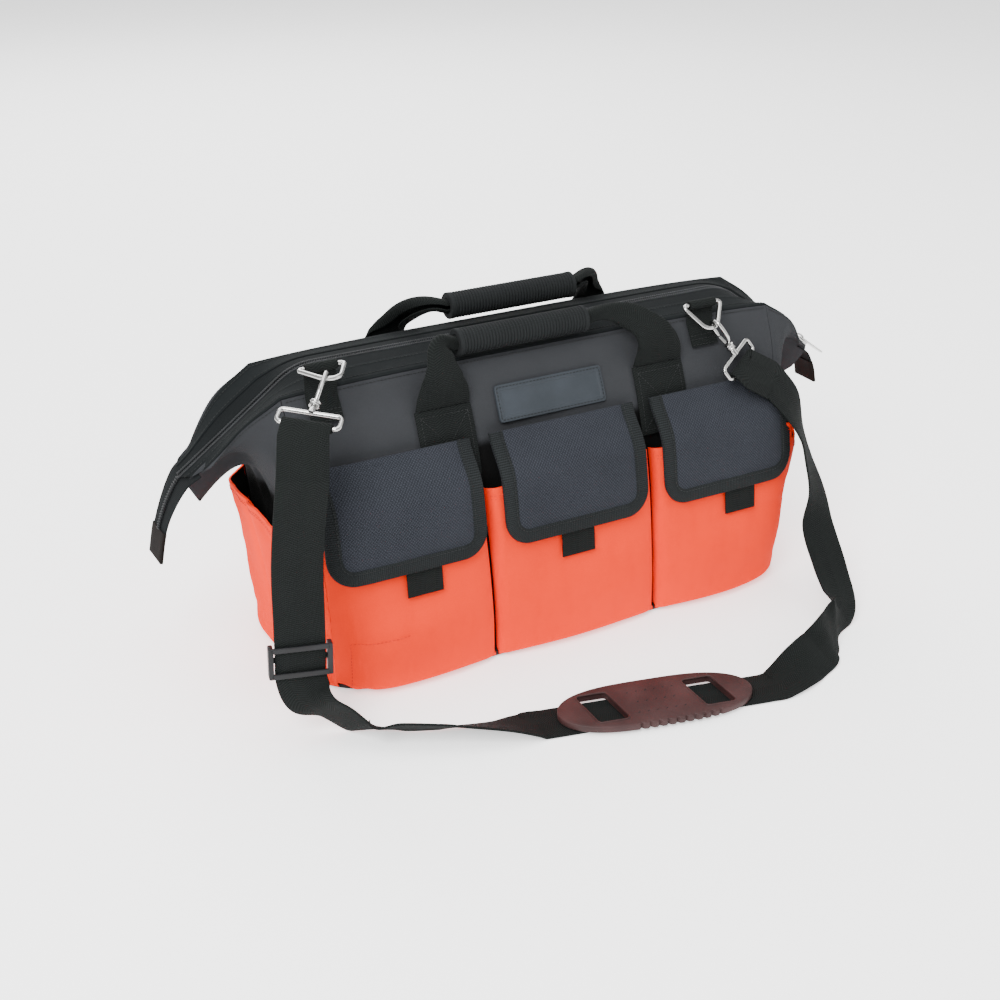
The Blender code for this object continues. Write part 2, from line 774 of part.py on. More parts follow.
def zip_teeth(edge):
    """One row of coil: a comb whose teeth reach the slit that the slider's neck runs in."""
    sign = -1 if edge == "front" else 1
    count = int(ZIP_HALF_LENGTH / TOOTH_PITCH)
    reaches = (TOOTH_DEPTH, 0) if edge == "front" else (0, TOOTH_DEPTH)
    rings = []
    for k in range(-count, count + 1):
        for part, reach in zip((0, 0.5), reaches):
            u = (k + part - 0.25) / (count + 0.25) * ZIP_HALF_LENGTH
            middle, above = zip_point(u), zip_up(u) * TEETH_HALF_THICKNESS
            near = middle + ALONG_Y * sign * (TEETH_SLIT + TOOTH_DEPTH - reach)
            far = middle + ALONG_Y * sign * TEETH_REACH
            rings.append([near - above, far - above, far + above, near + above])
    return loft("zip_teeth_" + edge, rings, TEETH)


def slider_frame():
    """The slider's frame at rest, X down the slope and Z off the teeth."""
    u = ZIP_HALF_LENGTH - SLIDER_END_GAP
    return frame_of(zip_point(u), zip_point(u) - zip_point(u - OVERRUN), ALONG_Y)


def pull_axis():
    """The axis of the pull, under the slider's bridge."""
    return slider_frame() @ Vector((0, 0, TEETH_HALF_THICKNESS + GAP + SLIDER_PLATE + PULL_BAR / 2 + GAP))


def zip_slider():
    """Two plates joined by the neck between the rows, with a bridge on top."""
    frame = slider_frame()
    inside = TEETH_HALF_THICKNESS + GAP
    outside = inside + SLIDER_PLATE
    half, neck = SLIDER_WIDTH / 2, SLIDER_NECK / 2
    quarter = [(neck, inside), (half, inside), (half, outside)]
    right_side = [(y, -z) for y, z in reversed(quarter)] + quarter
    outline = right_side + [(-y, -z) for y, z in right_side]
    turned = frame @ Matrix.Rotation(math.pi / 2, 4, "Z") @ Matrix.Rotation(math.pi / 2, 4, "X")
    body = prism("zip_slider", outline, SLIDER_LENGTH, NICKEL, turned)
    body.data.transform(Matrix.Translation((0, 0, -SLIDER_LENGTH / 2)))
    half_bridge = BRIDGE_LENGTH / 2
    low = outside - SLIDER_PLATE / 2
    high = outside + PULL_BAR + 2 * GAP + BRIDGE_WIRE / 2
    rise = [(-half_bridge, 0, low), (-half_bridge, 0, mix(low, high, 0.7)), (-half_bridge / 2, 0, high)]
    path = rise + [(-x, y, z) for x, y, z in reversed(rise)]
    bridge = wire("bridge", path, BRIDGE_WIRE / 2, NICKEL, frame=frame)
    return fuse(body, as_mesh(bridge))


def zip_pull():
    """A flat pull whose bar lies under the bridge, resting out over the end of the zip."""
    turn = slider_frame().to_3x3().to_4x4()
    frame = Matrix.Translation(pull_axis()) @ turn
    half = PULL_WIDTH / 2
    back = -PULL_BAR / 2
    corners = [(back, -half * 0.8), (PULL_LENGTH, -half), (PULL_LENGTH, half), (back, half * 0.8)]
    outline = rounded(corners, [half * 0.3, half * 0.8, half * 0.8, half * 0.3], 3)
    plate = prism("zip_pull", outline, PULL_THICKNESS, NICKEL, frame)
    plate.data.transform(Matrix.Translation((0, 0, -PULL_THICKNESS / 2)))
    start, end = PULL_BAR / 2, BRIDGE_LENGTH / 2 + BRIDGE_WIRE
    middle = frame @ Matrix.Translation((mix(start, end, 0.5), 0, 0))
    hole = box("hole", (end - start, BRIDGE_WIRE + 4 * GAP, PULL_THICKNESS + OVERRUN), middle, NICKEL)
    return fuse(plate, hole, operation="DIFFERENCE")


def zip_end_tab(side):
    """The fabric tab that closes an end of the zip and droops from the ear's tip."""
    out = SIDES[side][1]
    length = END_TAB_LENGTHS[side]
    u = out.x * ZIP_HALF_LENGTH
    below = TEETH_HALF_THICKNESS + GAP + WEBBING / 2
    if side == "right":
        below += SLIDER_PLATE + 2 * GAP
    start = zip_point(u) - zip_up(u) * below
    points = [start]
    for away, down in END_TAB_SHARES:
        points.append(start + out * length * away - UP * length * down)
    path = through(points, 3)
    stations = along_path(path, [ALONG_Y * END_TAB_WIDTH / 2] * len(path))
    return ribbon("zip_end_tab_" + side, stations, WEBBING, BLACK_WEB)


def zip_assembly():
    """Tapes, teeth, end tabs and the slider with its pull."""
    for edge in ("front", "back"):
        zip_tape(edge)
        zip_teeth(edge)
    for side in ("left", "right"):
        zip_end_tab(side)
    runner = pivot("slider_runner", slider_frame().translation)
    carry(runner, zip_slider())
    hinge = pivot("pull_hinge", pull_axis(), runner)
    carry(hinge, zip_pull())


# Pockets


def pocket(name, side, start, end, top_z, depth, look):
    """An open-topped pocket: a shell that stands off the wall and turns in at its sewn edges."""
    middle = (start + end) / 2
    t_foot = wall_shares_up(side, middle, POCKET_FOOT_Z)
    t_top = wall_shares_up(side, middle, top_z)
    fold = t_foot + POCKET_FOLD_SHARE
    rows = [t_foot, fold] + [t for t in spread(PANEL_ROWS) if fold < t < t_top] + [t_top]
    turns = [POCKET_TURN / SIDES[side][2] * share for share in (0, 0.3, 1)]
    inside = [s for s in side_shares(side, PANEL_COLUMNS[side]) if start + turns[2] < s < end - turns[2]]
    columns = [start + turn for turn in turns] + inside + [end - turn for turn in reversed(turns)]
    grid = []
    for s in columns:
        row = []
        for t in rows:
            climb = (t - t_foot) / (t_top - t_foot)
            full = depth(climb, s) * pocket_edge(s, start, end, turns[2]) * (t > t_foot)
            row.append(off_wall(side, s, t, max(full, GAP)))
        grid.append(row)
    return sheet(name, grid, POCKET_WALL, look)


def pocket_edge(s, start, end, turn):
    """How far a pocket has turned in at share s: all the way at a sewn edge, not at all at a corner."""
    from_start = 1 if abs(start) > CORNER_SHARE else smooth((s - start) / turn)
    from_end = 1 if abs(end) > CORNER_SHARE else smooth((end - s) / turn)
    return min(from_start, from_end)


def wall_shares_up(side, s, height):
    """The share t where a side is at a height."""
    low, high = 0.0, 1.0
    for _ in range(30):
        middle = (low + high) / 2
        if wall_point(side, s, middle).z < height:
            low = middle
        else:
            high = middle
    return low


def front_depth(climb, s):
    """How far the front and back pockets stand off the wall."""
    return mix(POCKET_FOOT_DEPTH, POCKET_DEPTH, smooth(climb / 0.25))


def end_depth(climb, s):
    """How far an end pocket stands off the wall, gaping at its mouth between the bag's corners."""
    gape = mix(POCKET_FOOT_DEPTH, END_POCKET_GAPE, smooth(climb))
    return mix(gape, front_depth(climb, s), smooth(abs(s)))


def pockets():
    """Three pockets at the front, three at the back and one at each end."""
    split = wall_shares("front", POCKET_SPLIT_X, POCKET_TOP_Z / 2)[0]
    aside = (POCKET_WALL + GAP) / HALF_LENGTH
    outer = 1 - GAP / HALF_LENGTH
    spans = (
        ("left", -outer, -split - aside),
        ("middle", aside - split, split - aside),
        ("right", split + aside, outer),
    )
    for place, start, end in spans:
        pocket("pocket_front_" + place, "front", start, end, POCKET_TOP_Z, front_depth, ORANGE)
        pocket("pocket_back_" + place, "back", -end, -start, BACK_POCKET_TOP_Z, front_depth, ORANGE)
    for side in ("left", "right"):
        reach = 1 - GAP / HALF_DEPTH
        pocket("end_pocket_" + side, side, -reach, reach, END_POCKET_TOP_Z, end_depth, ORANGE)


# Flaps


def flap_hinge():
    """The straight line that the flaps turn about."""
    return wall_at("front", 0, FLAP_ROOT_Z, FLAP_ROOT_STAND)


def flap_inside(x, share):
    """The flap's inner face at a place along the front and a share of its drop."""
    root, z = flap_hinge(), mix(FLAP_ROOT_Z, FLAP_HEM_Z, share)
    over_pocket = POCKET_DEPTH + POCKET_WALL + FLAP_STAND
    stand = mix(FLAP_ROOT_STAND, over_pocket, smooth(share / 0.42))
    face = wall_at("front", 0, z, stand)
    flat = FLAP_PITCH + HOOK_PATCH[0] / 2
    past = max(abs(x) - flat, 0) / (FLAP_PITCH + FLAP_WIDTH / 2 - flat)
    y = min(face.y, root.y) if share > 0 else root.y
    return Vector((x, y + FLAP_WRAP * past**2, face.z))


def flap_grid(centre, lift):
    """Points of one face of a flap, with its lower corners rounded."""
    half = FLAP_WIDTH / 2
    drop = FLAP_ROOT_Z - FLAP_HEM_Z
    binding = BINDING_WIDTH
    across = [-half, -half + binding * 0.5, -half + binding, -half * 0.5, 0]
    across += [-value for value in reversed(across[:-1])]
    down = [0, 0.12, 0.28, 0.44, 0.62, 1 - binding / drop, 1 - 0.5 * binding / drop, 1]
    grid = []
    for offset in across:
        row = []
        beyond = max(abs(offset) - (half - FLAP_CORNER_RADIUS), 0)
        cut = FLAP_CORNER_RADIUS - math.sqrt(max(FLAP_CORNER_RADIUS**2 - beyond**2, 0))
        for share in down:
            shortened = share * (1 - cut / drop)
            edge = min(half - abs(offset), (1 - share) * drop)
            rise = lift + (BINDING_RAISE if lift > 0 and edge < binding - GAP else 0)
            inside = flap_inside(centre + offset, shortened)
            below = flap_inside(centre + offset, min(shortened + NUDGE_SHARE, 1))
            above = flap_inside(centre + offset, max(shortened - NUDGE_SHARE, 0))
            off = (below - above).cross(ALONG_X).normalized()
            row.append(inside + off * rise)
        grid.append(row)
    return grid


def flap(name, centre):
    """A bound fabric flap over one pocket, with its pull tab and its hook patch."""
    hinge = pivot("flap_hinge_" + name, flap_hinge() + ALONG_X * centre)
    outer, inner = flap_grid(centre, FLAP_THICKNESS), flap_grid(centre, 0)
    cover = shell("flap_" + name, outer, inner, FLAP_GREY)
    tab = flap_tab(name, centre + FLAP_TAB_ASIDE[name])
    carry(hinge, cover, tab, hook_patch(name, centre))
    loop_patch(name, centre)


def flap_tab(name, centre):
    """A short webbing tab behind the flap's hem, to open it by."""
    drop = FLAP_ROOT_Z - FLAP_HEM_Z
    stations = []
    for share in (1 - FLAP_TAB_TUCK / drop, 1):
        inside = flap_inside(centre, share)
        heading = (flap_inside(centre, 1) - flap_inside(centre, 1 - NUDGE_SHARE)).normalized()
        off = heading.cross(ALONG_X).normalized()
        stations.append((inside - off * (GAP + FABRIC / 2), ALONG_X * FLAP_TAB_WIDTH / 2, off))
    last, half, off = stations[-1]
    stations.append((last + heading * FLAP_TAB_DROP, half, off))
    return ribbon("flap_tab_" + name, stations, FABRIC, BLACK_WEB)


def patch_grid(centre, face, lift):
    """Points of a small rectangle that follows the pocket or the flap."""
    wide, tall = HOOK_PATCH
    grid = []
    for x in (centre + (share - 0.5) * wide for share in spread(4)):
        column = []
        for share in spread(2):
            column.append(face(x, PATCH_Z + (share - 0.5) * tall, lift))
        grid.append(column)
    return grid


def flap_face(x, z, lift):
    """A point off the flap's inner face at a height."""
    low, high = 0.0, 1.0
    for _ in range(24):
        middle = (low + high) / 2
        if flap_inside(x, middle).z > z:
            low = middle
        else:
            high = middle
    here, below = flap_inside(x, low), flap_inside(x, low + NUDGE_SHARE)
    off = (below - here).cross(ALONG_X).normalized()
    return here - off * lift


def pocket_face(x, z, lift):
    """A point off the pocket's outer face at a height."""
    s, t = wall_shares("front", x, z)
    return off_wall("front", s, t, POCKET_DEPTH + POCKET_WALL + lift)


def hook_patch(name, centre):
    """The half of the fastener that is sewn inside the flap."""
    near = patch_grid(centre, flap_face, GAP)
    far = patch_grid(centre, flap_face, GAP + PATCH_THICKNESS)
    return shell("hook_patch_" + name, near, far, BLACK_WEB)


def loop_patch(name, centre):
    """The half of the fastener that is sewn to the pocket."""
    near = patch_grid(centre, pocket_face, 2 * GAP)
    far = patch_grid(centre, pocket_face, 2 * GAP + PATCH_THICKNESS)
    return shell("loop_patch_" + name, far, near, BLACK_WEB)


def flaps():
    """The three flaps over the front pockets."""
    for name, step in (("left", -1), ("middle", 0), ("right", 1)):
        flap(name, step * FLAP_PITCH)


# Name patch


def name_patch():
    """A moulded patch with a raised border, bare inside it."""
    wide, tall = NAME_PATCH
    x_middle, z_middle = NAME_PATCH_CENTRE
    border = NAME_PATCH_BORDER
    step = border * 0.3
    rows = [-wide / 2, -wide / 2 + border, -wide / 2 + border + step, -wide / 6]
    rows += [-value for value in reversed(rows)]
    columns = [-tall / 2, -tall / 2 + border, -tall / 2 + border + step]
    columns += [-value for value in reversed(columns)]
    outer, inner = [], []
    for x in rows:
        front, back = [], []
        for z in columns:
            inside = abs(x) < wide / 2 - border - step / 2 and abs(z) < tall / 2 - border - step / 2
            lift = GAP + NAME_PATCH_THICKNESS - (NAME_PATCH_SINK if inside else 0)
            front.append(wall_at("front", x_middle + x, z_middle + z, lift))
            back.append(wall_at("front", x_middle + x, z_middle + z, GAP))
        outer.append(front)
        inner.append(back)
    return shell("name_patch", outer, inner, PATCH_RUBBER)


# Carrying handles


def round_section(width, thickness, round_share):
    """Eight points of a webbing section between a flat bar and an ellipse, from its corner."""
    points = []
    for k in range(8):
        angle = math.tau * (k + 0.5) / 8
        x, y = math.cos(angle), math.sin(angle)
        flat = max(abs(x), abs(y))
        wide, thick = mix(x / flat, x, round_share), mix(y / flat, y, round_share)
        points.append((wide * width / 2, thick * thickness / 2))
    return points


def handle_fold(edge, sign):
    """Where the free webbing turns, just over the top of a sewn leg."""
    place = HANDLE_HALF_SPACING * sign * SIDES[edge][0].x
    return wall_at(edge, place, HANDLE_FOLD_Z, GAP + WEBBING * 1.5)


def sewn_leg(edge, name, sign):
    """The stretch of handle webbing that is stitched down the panel."""
    place = HANDLE_HALF_SPACING * sign * SIDES[edge][0].x
    half = HANDLE_WEB_WIDTH / 2
    outer, inner = [], []
    for share in spread(4):
        x = place + (share - 0.5) * 2 * half
        heights = [mix(HANDLE_FOOT_Z, HANDLE_FOLD_Z - WEBBING, part) for part in spread(3)]
        outer.append([wall_at(edge, x, z, GAP + WEBBING) for z in heights])
        inner.append([wall_at(edge, x, z, GAP) for z in heights])
    return shell("handle_" + edge + "_leg_" + name, outer, inner, BLACK_WEB)


def handle_path(edge):
    """Centre line of the free webbing with the share that it is folded, end to end."""
    grip = Vector(FRONT_GRIP if edge == "front" else BACK_GRIP)
    bow_y, bow_z = HANDLE_BOW[edge]
    halves = []
    for sign in (-1, 1):
        fold = handle_fold(edge, sign)
        end = grip + ALONG_X * sign * GRIP_LENGTH / 2
        first = fold + Vector((0, bow_y, bow_z))
        second = end + Vector((sign * GRIP_RUN_IN, 0, GRIP_RISE))
        curve = interpolate_bezier(fold, first, second, end, 11)
        halves.append([(point, k / 10) for k, point in enumerate(curve)])
    left, right = halves
    inside = [(left[-1][0].lerp(right[-1][0], share), 1) for share in (0.1, 0.5, 0.9)]
    return left + inside + list(reversed(right))


def webbing_section(centre, heading, share, thin):
    """A section of the free webbing: flat at its foot, folded, then round inside the grip."""
    across = heading.cross(ALONG_Y).normalized()
    off = across.cross(heading)
    bore = 2 * (GRIP_BORE_RADIUS - GAP)
    folding = smooth(share / FOLD_SHARE)
    rounding = smooth((share - FOLD_SHARE) / (FOLDED_SHARE - FOLD_SHARE))
    width = mix(mix(HANDLE_WEB_WIDTH, FOLD_WIDTH, folding), bore, rounding)
    thickness = mix(mix(2 * WEBBING, FOLD_THICKNESS, folding), bore, rounding) * thin
    section = round_section(width, thickness, mix(EDGE_ROUND_SHARE, 1, rounding))
    return [centre + across * x + off * y for x, y in section]


def handle_webbing(edge):
    """The free webbing of a handle, its two feet rounded about the line that it turns on."""
    path = handle_path(edge)
    last = len(path) - 1
    rise = Vector((0, *HANDLE_BOW[edge])).normalized()
    rings = []
    for k, (centre, share) in enumerate(path):
        heading = (path[min(k + 1, last)][0] - path[max(k - 1, 0)][0]).normalized()
        turns = (0,)
        if k == 0:
            heading, turns = rise, (-FOOT_TURNS[0], -FOOT_TURNS[1], 0)
        elif k == last:
            heading, turns = -rise, (0, FOOT_TURNS[1], FOOT_TURNS[0])
        for turn in turns:
            place = centre + heading * WEBBING * math.sin(turn)
            rings.append(webbing_section(place, heading, share, math.cos(turn)))
    return loft("handle_" + edge + "_webbing", rings, BLACK_WEB)


def handle_grip(edge):
    """A ribbed sleeve over the middle of the handle, open at both ends."""
    grip = Vector(FRONT_GRIP if edge == "front" else BACK_GRIP)
    half = GRIP_LENGTH / 2 - GRIP_RUN_IN / 8
    count = int(2 * half / GRIP_RIB_PITCH)
    profile = [(-half, GRIP_BORE_RADIUS), (-half, GRIP_RADIUS)]
    for k in range(count):
        left = mix(-half, half, (k + 0.2) / count)
        right = mix(-half, half, (k + 0.8) / count)
        profile += [(left, GRIP_RADIUS + GRIP_RIB_HEIGHT), (right, GRIP_RADIUS + GRIP_RIB_HEIGHT)]
        if k < count - 1:
            profile.append((mix(-half, half, (k + 1) / count), GRIP_RADIUS))
    profile += [(half, GRIP_RADIUS), (half, GRIP_BORE_RADIUS)]
    bm = bmesh.new()
    verts = [bm.verts.new((x, radius, 0)) for x, radius in profile]
    edges = [bm.edges.new(pair) for pair in zip(verts, verts[1:] + verts[:1])]
    whole = {"axis": ALONG_X, "angle": math.tau, "steps": 10, "use_merge": True}
    bmesh.ops.spin(bm, geom=verts + edges, **whole)
    bmesh.ops.remove_doubles(bm, verts=bm.verts, dist=GAP / 10)
    made = finish("handle_" + edge + "_grip", bm, RUBBER)
    made.matrix_world = Matrix.Translation(grip)
    return made


def handles():
    """The two carrying handles, each hinged where its legs leave the panel."""
    for edge in ("front", "back"):
        for name, sign in (("left", -1), ("right", 1)):
            sewn_leg(edge, name, sign)
        fold = handle_fold(edge, 1)
        hinge = pivot("handle_hinge_" + edge, Vector((0, fold.y, fold.z)))
        carry(hinge, handle_webbing(edge), handle_grip(edge))


# Strap rings, snap hooks and swivel eyes


def ring_heading(side):
    """The direction from a ring's bar to its apex."""
    pitch = RING_PITCH[side]
    return Vector((0, -math.cos(pitch), math.sin(pitch)))


def ring_seat(side):
    """Where the hook's bow is centred: it bears on the ring's apex in the direction of its pull."""
    heading, pull = ring_heading(side), Vector(HOOK_HEADING[side]).normalized()
    lean = math.atan2(pull.x, pull.dot(heading))
    apex = Vector((math.sin(lean), math.cos(lean))) * RING_APEX
    reach = RING_REACH[side] - RING_APEX + apex.y
    wire_point = Vector(RING_PLACE[side]) + ALONG_X * apex.x + heading * reach
    return wire_point + pull * (HOOK_BOW - RING_WIRE - HOOK_WIRE - 2 * GAP)


def ring(side):
    """A triangular wire ring: the straight bar through the webbing loop and a rounded apex."""
    half = RING_BAR / 2
    reach = RING_REACH[side]
    tip = reach
    for _ in range(12):
        tip = reach + RING_APEX * (math.hypot(half, tip) / half - 1)
    outline = rounded([(-half, 0), (half, 0), (0, tip)], [RING_CORNER, RING_CORNER, RING_APEX], 5)
    frame = frame_of(Vector(RING_PLACE[side]), ALONG_X, ring_heading(side))
    return wire("strap_ring_" + side, [(x, y, 0) for x, y in outline], RING_WIRE, NICKEL, True, frame)


def wrapped(bar, up, out, radius):
    """Points of webbing folded round a bar, from its free end to where it leaves downwards."""
    angles = [math.radians(value) for value in range(-95, 186, 28)]
    return [bar + (out * math.cos(angle) + up * math.sin(angle)) * radius for angle in angles]


def along_path(centres, halves):
    """Ribbon stations: the face of the webbing is square to its path and to its width."""
    stations = []
    for k, (centre, half) in enumerate(zip(centres, halves)):
        heading = (centres[min(k + 1, len(centres) - 1)] - centres[max(k - 1, 0)]).normalized()
        square = (half - heading * half.dot(heading)).normalized() * half.length
        stations.append((centre, square, heading.cross(square).normalized()))
    return stations


def ring_loop(side):
    """A webbing loop sewn to the panel and folded round the ring's bar."""
    place = Vector(RING_PLACE[side])
    radius = RING_WIRE + GAP + WEBBING / 2
    flattest = abs(place.x) - LOOP_WIDTH / 2
    path = wrapped(place, UP, -ALONG_Y, radius)
    for share in (0.75, 0):
        face = wall_at("front", flattest, mix(LOOP_TAIL_Z, FRONT_SEAM_Z, share), 2 * GAP + WEBBING / 2)
        path.append(Vector((place.x, face.y, face.z)))
    stations = along_path(path, [ALONG_X * LOOP_WIDTH / 2] * len(path))
    return ribbon("ring_loop_" + side, stations, WEBBING, BLACK_WEB)


def hook_frame(side):
    """A hook's frame on the ring's apex: X across the hook, Y towards the swivel eye."""
    heading = Vector(HOOK_HEADING[side]).normalized()
    return frame_of(ring_seat(side), Vector(EYE_HEADING[side]).cross(heading).cross(heading) * -1, heading)


def hook_turn(side):
    """The hook's frame turned about its shank to the ring's wire."""
    frame = hook_frame(side)
    local = frame.to_3x3().inverted() @ ALONG_X
    angle = math.atan2(local.x, local.z)
    return frame @ Matrix.Rotation(angle, 4, "Y")


def snap_hook(side):
    """A wire hook round the ring, open at its gate, on a turned barrel."""
    neck = HOOK_LENGTH[side] - HOOK_BOW - EYE_HEIGHT / 2 - BARREL_LENGTH
    bow = arc((0, 0), HOOK_BOW, math.pi, math.tau, 8)
    points = [(x, y) for x, y in bow]
    points = [(-HOOK_BOW, HOOK_NOSE)] + points
    points += [(HOOK_BOW * 1.05, neck * 0.40), (HOOK_BOW * 0.85, neck * 0.66), (HOOK_BOW * 0.35, neck * 0.88)]
    points += [(0, neck), (0, neck + BARREL_LENGTH / 2)]
    frame = hook_turn(side)
    body = wire("snap_hook_" + side, [(x, y, 0) for x, y in points], HOOK_WIRE, NICKEL, frame=frame)
    outline = arc((0, 0), BARREL_RADIUS, 0, math.tau * 11 / 12, 11)
    stand = frame @ Matrix.Translation((0, neck, 0)) @ Matrix.Rotation(-math.pi / 2, 4, "X")
    barrel = prism("barrel", outline, BARREL_LENGTH, NICKEL, stand)
    return fuse(as_mesh(body), barrel)


def gate_ends(side):
    """The gate's pivot under the barrel and its tip over the hook's nose, in the hook's frame."""
    neck = HOOK_LENGTH[side] - HOOK_BOW - EYE_HEIGHT / 2 - BARREL_LENGTH
    low = Vector((-HOOK_WIRE - GATE_THICKNESS / 2 - GAP, neck - GATE_THICKNESS * 0.6, 0))
    return low, Vector((-HOOK_BOW, HOOK_NOSE + 3 * GAP, 0))


def gate(side):
    """The flat sprung gate that closes the hook from its barrel to its nose."""
    low, high = gate_ends(side)
    heading = high - low
    place = hook_turn(side) @ frame_of(low, heading, Vector((heading.y, -heading.x, 0)))
    bar = box("hook_gate_" + side, (heading.length, GATE_THICKNESS, GATE_WIDTH), place, NICKEL)
    bar.data.transform(Matrix.Translation((heading.length / 2, 0, 0)))
    return bar


def eye_frame(side):
    """The swivel eye's frame: X along its long side, Y away from the hook, at its centre."""
    heading = Vector(HOOK_HEADING[side]).normalized()
    centre = ring_seat(side) + heading * HOOK_LENGTH[side]
    across = Vector(EYE_HEADING[side])
    across -= heading * across.dot(heading)
    return frame_of(centre, across, heading)


def swivel_eye(side):
    """A rounded rectangle of wire for the strap, with the stem that turns in the barrel."""
    half = EYE_INSIDE / 2 + EYE_WIRE
    rise = EYE_HEIGHT / 2
    corners = [(-half, -rise), (half, -rise), (half, rise), (-half, rise)]
    outline = rounded(corners, [EYE_CORNER] * 4, 3)
    frame = eye_frame(side)
    loop = wire("swivel_eye_" + side, [(x, y, 0) for x, y in outline], EYE_WIRE, NICKEL, True, frame)
    stem_length = HOOK_BOW - GAP
    stem = [(0, -rise, 0), (0, -rise - stem_length, 0)]
    post = wire("stem", stem, BARREL_RADIUS * 0.7, NICKEL, frame=frame)
    return fuse(as_mesh(loop), as_mesh(post))


def strap_fittings(side):
    """One ring with its webbing loop, snap hook, gate and swivel eye."""
    ring_loop(side)
    hinge = pivot("ring_hinge_" + side, RING_PLACE[side])
    carry(hinge, ring(side), swivel_eye(side))
    swivel = pivot("hook_swivel_" + side, ring_seat(side), hinge)
    carry(swivel, snap_hook(side))
    spring = pivot("gate_pivot_" + side, hook_turn(side) @ gate_ends(side)[0], swivel)
    carry(spring, gate(side))


# Shoulder strap


def strap_station(shares):
    """A place on the strap with its vector half across, seated on the ground where it lies there."""
    x, y, z, *across = shares
    half = Vector(across).normalized() * STRAP_WIDTH / 2
    centre = Vector((x * HALF_LENGTH, y * STRAP_REACH, z * STRAP_HEIGHT))
    if z == 0:
        centre.z = abs(half.z) + STRAP / 2
    return centre, half


def eye_bar(side):
    """The middle of the eye's far bar and the vector half across the strap there."""
    frame = eye_frame(side)
    bar = frame @ Vector((0, EYE_HEIGHT / 2, 0))
    return bar, frame.to_3x3() @ Vector((STRAP_WIDTH / 2, 0, 0))


def strap_end(side, first):
    """Stations of the strap's end folded round the eye's bar, from its free end."""
    bar, half = eye_bar(side)
    width = half.normalized()
    down = first - bar
    down = (down - width * down.dot(width)).normalized()
    out = width.cross(down)
    if out.y > 0:
        out = -out
    points = wrapped(bar, -down, -out, EYE_WIRE + GAP + STRAP / 2)
    points.append(points[-1] + down * EYE_HEIGHT * STRAP_RUN_OUT[side])
    return [(point, half) for point in points]


def eased(stations, steps):
    """Stations on a smooth curve through the given ones, the width turning steadily.

    How fast it turns is taken over the length of the strap, so that stations may be close or far apart.
    """
    places = [0]
    for (one, _), (two, _) in zip(stations, stations[1:]):
        places.append(places[-1] + (two - one).length)
    last = len(stations) - 1
    rates = []
    for k in range(last + 1):
        low, high = max(k - 1, 0), min(k + 1, last)
        run = places[high] - places[low]
        rates.append([(two - one) / run for one, two in zip(stations[low], stations[high])])
    curve = []
    for k in range(last):
        third = (places[k + 1] - places[k]) / 3
        parts = []
        for one, two, leaving, coming in zip(stations[k], stations[k + 1], rates[k], rates[k + 1]):
            pulls = one + leaving * third, two - coming * third
            parts.append(interpolate_bezier(one, *pulls, two, steps + 1)[:-1])
        curve += list(zip(*parts))
    curve.append(stations[-1])
    return [(centre, half.normalized() * STRAP_WIDTH / 2) for centre, half in curve]


def on_ground(stations):
    """Ribbon stations lifted where an edge of the webbing would reach below the ground."""
    lifted = []
    for centre, half, off in stations:
        lowest = abs(half.z) + abs(off.z) * STRAP / 2
        lifted.append((Vector((centre.x, centre.y, max(centre.z, lowest))), half, off))
    return lifted


def cut_between(stations, start, end):
    """A stretch of the strap, short by half a gap at an end that meets another stretch."""
    stretch = stations[start : end + 1]
    for k, inward in ((0, 1), (-1, -2)):
        if (k == 0 and start > 0) or (k == -1 and end < len(stations) - 1):
            centre, half, off = stretch[k]
            back = half.cross(off).normalized()
            if back.dot(stretch[inward][0] - centre) < 0:
                back = -back
            stretch[k] = (centre + back * GAP / 2, half, off)
    return stretch


def pad_frame():
    """The pad's frame on the ground, X along it."""
    centre = Vector((*PAD_CENTRE, 0))
    return Matrix.Translation(centre) @ Matrix.Rotation(PAD_TURN, 4, "Z")


def strap_stations():
    """All stations of the strap from eye to eye, and where its stretch on the ground starts and ends."""
    frame = pad_frame()
    across = frame.to_3x3() @ Vector((0, -STRAP_WIDTH / 2, 0))
    left = [strap_station(row) for row in STRAP_LEFT_SHARES]
    lying = [strap_station(row) for row in STRAP_FRONT_LEFT_SHARES]
    flat = PAD_LENGTH / 2 + PAD_TRAVEL
    for along in (-flat - PAD_RUN_OUT, -flat, 0, flat, flat + PAD_RUN_OUT):
        lying.append((frame @ Vector((along, 0, STRAP / 2)), across))
    lying += [strap_station(row) for row in STRAP_FRONT_RIGHT_SHARES]
    right = [strap_station(row) for row in STRAP_RIGHT_SHARES]
    hanging = eased(left + lying + right, STRAP_STEPS)
    start = strap_end("left", left[0][0])
    finish_round = list(reversed(strap_end("right", right[-1][0])))
    run = start + hanging + finish_round
    first = len(start) + STRAP_STEPS * len(left)
    last = first + STRAP_STEPS * (len(lying) - 1)
    placed = along_path([centre for centre, _ in run], [half for _, half in run])
    return on_ground(placed), first, last


def shoulder_strap():
    """The strap from eye to eye in three stretches, with its adjuster and pad."""
    stations, first, last = strap_stations()
    spans = {"left": (0, first), "front": (first, last), "right": (last, len(stations) - 1)}
    for name, (start, end) in spans.items():
        ribbon("strap_" + name, cut_between(stations, start, end), STRAP, BLACK_WEB)
    pad_slide = pivot("pad_slide", pad_frame().translation)
    carry(pad_slide, shoulder_pad())
    place = adjuster_frame()
    adjuster_slide = pivot("adjuster_slide", place.translation)
    carry(adjuster_slide, strap_adjuster(place))


def adjuster_frame():
    """The adjuster's frame on the hanging strap: X across it, Y up it."""
    low, half = strap_station(STRAP_LEFT_SHARES[4])
    high, _ = strap_station(STRAP_LEFT_SHARES[2])
    heading = (high - low).normalized()
    return frame_of(low, half - heading * half.dot(heading), heading)


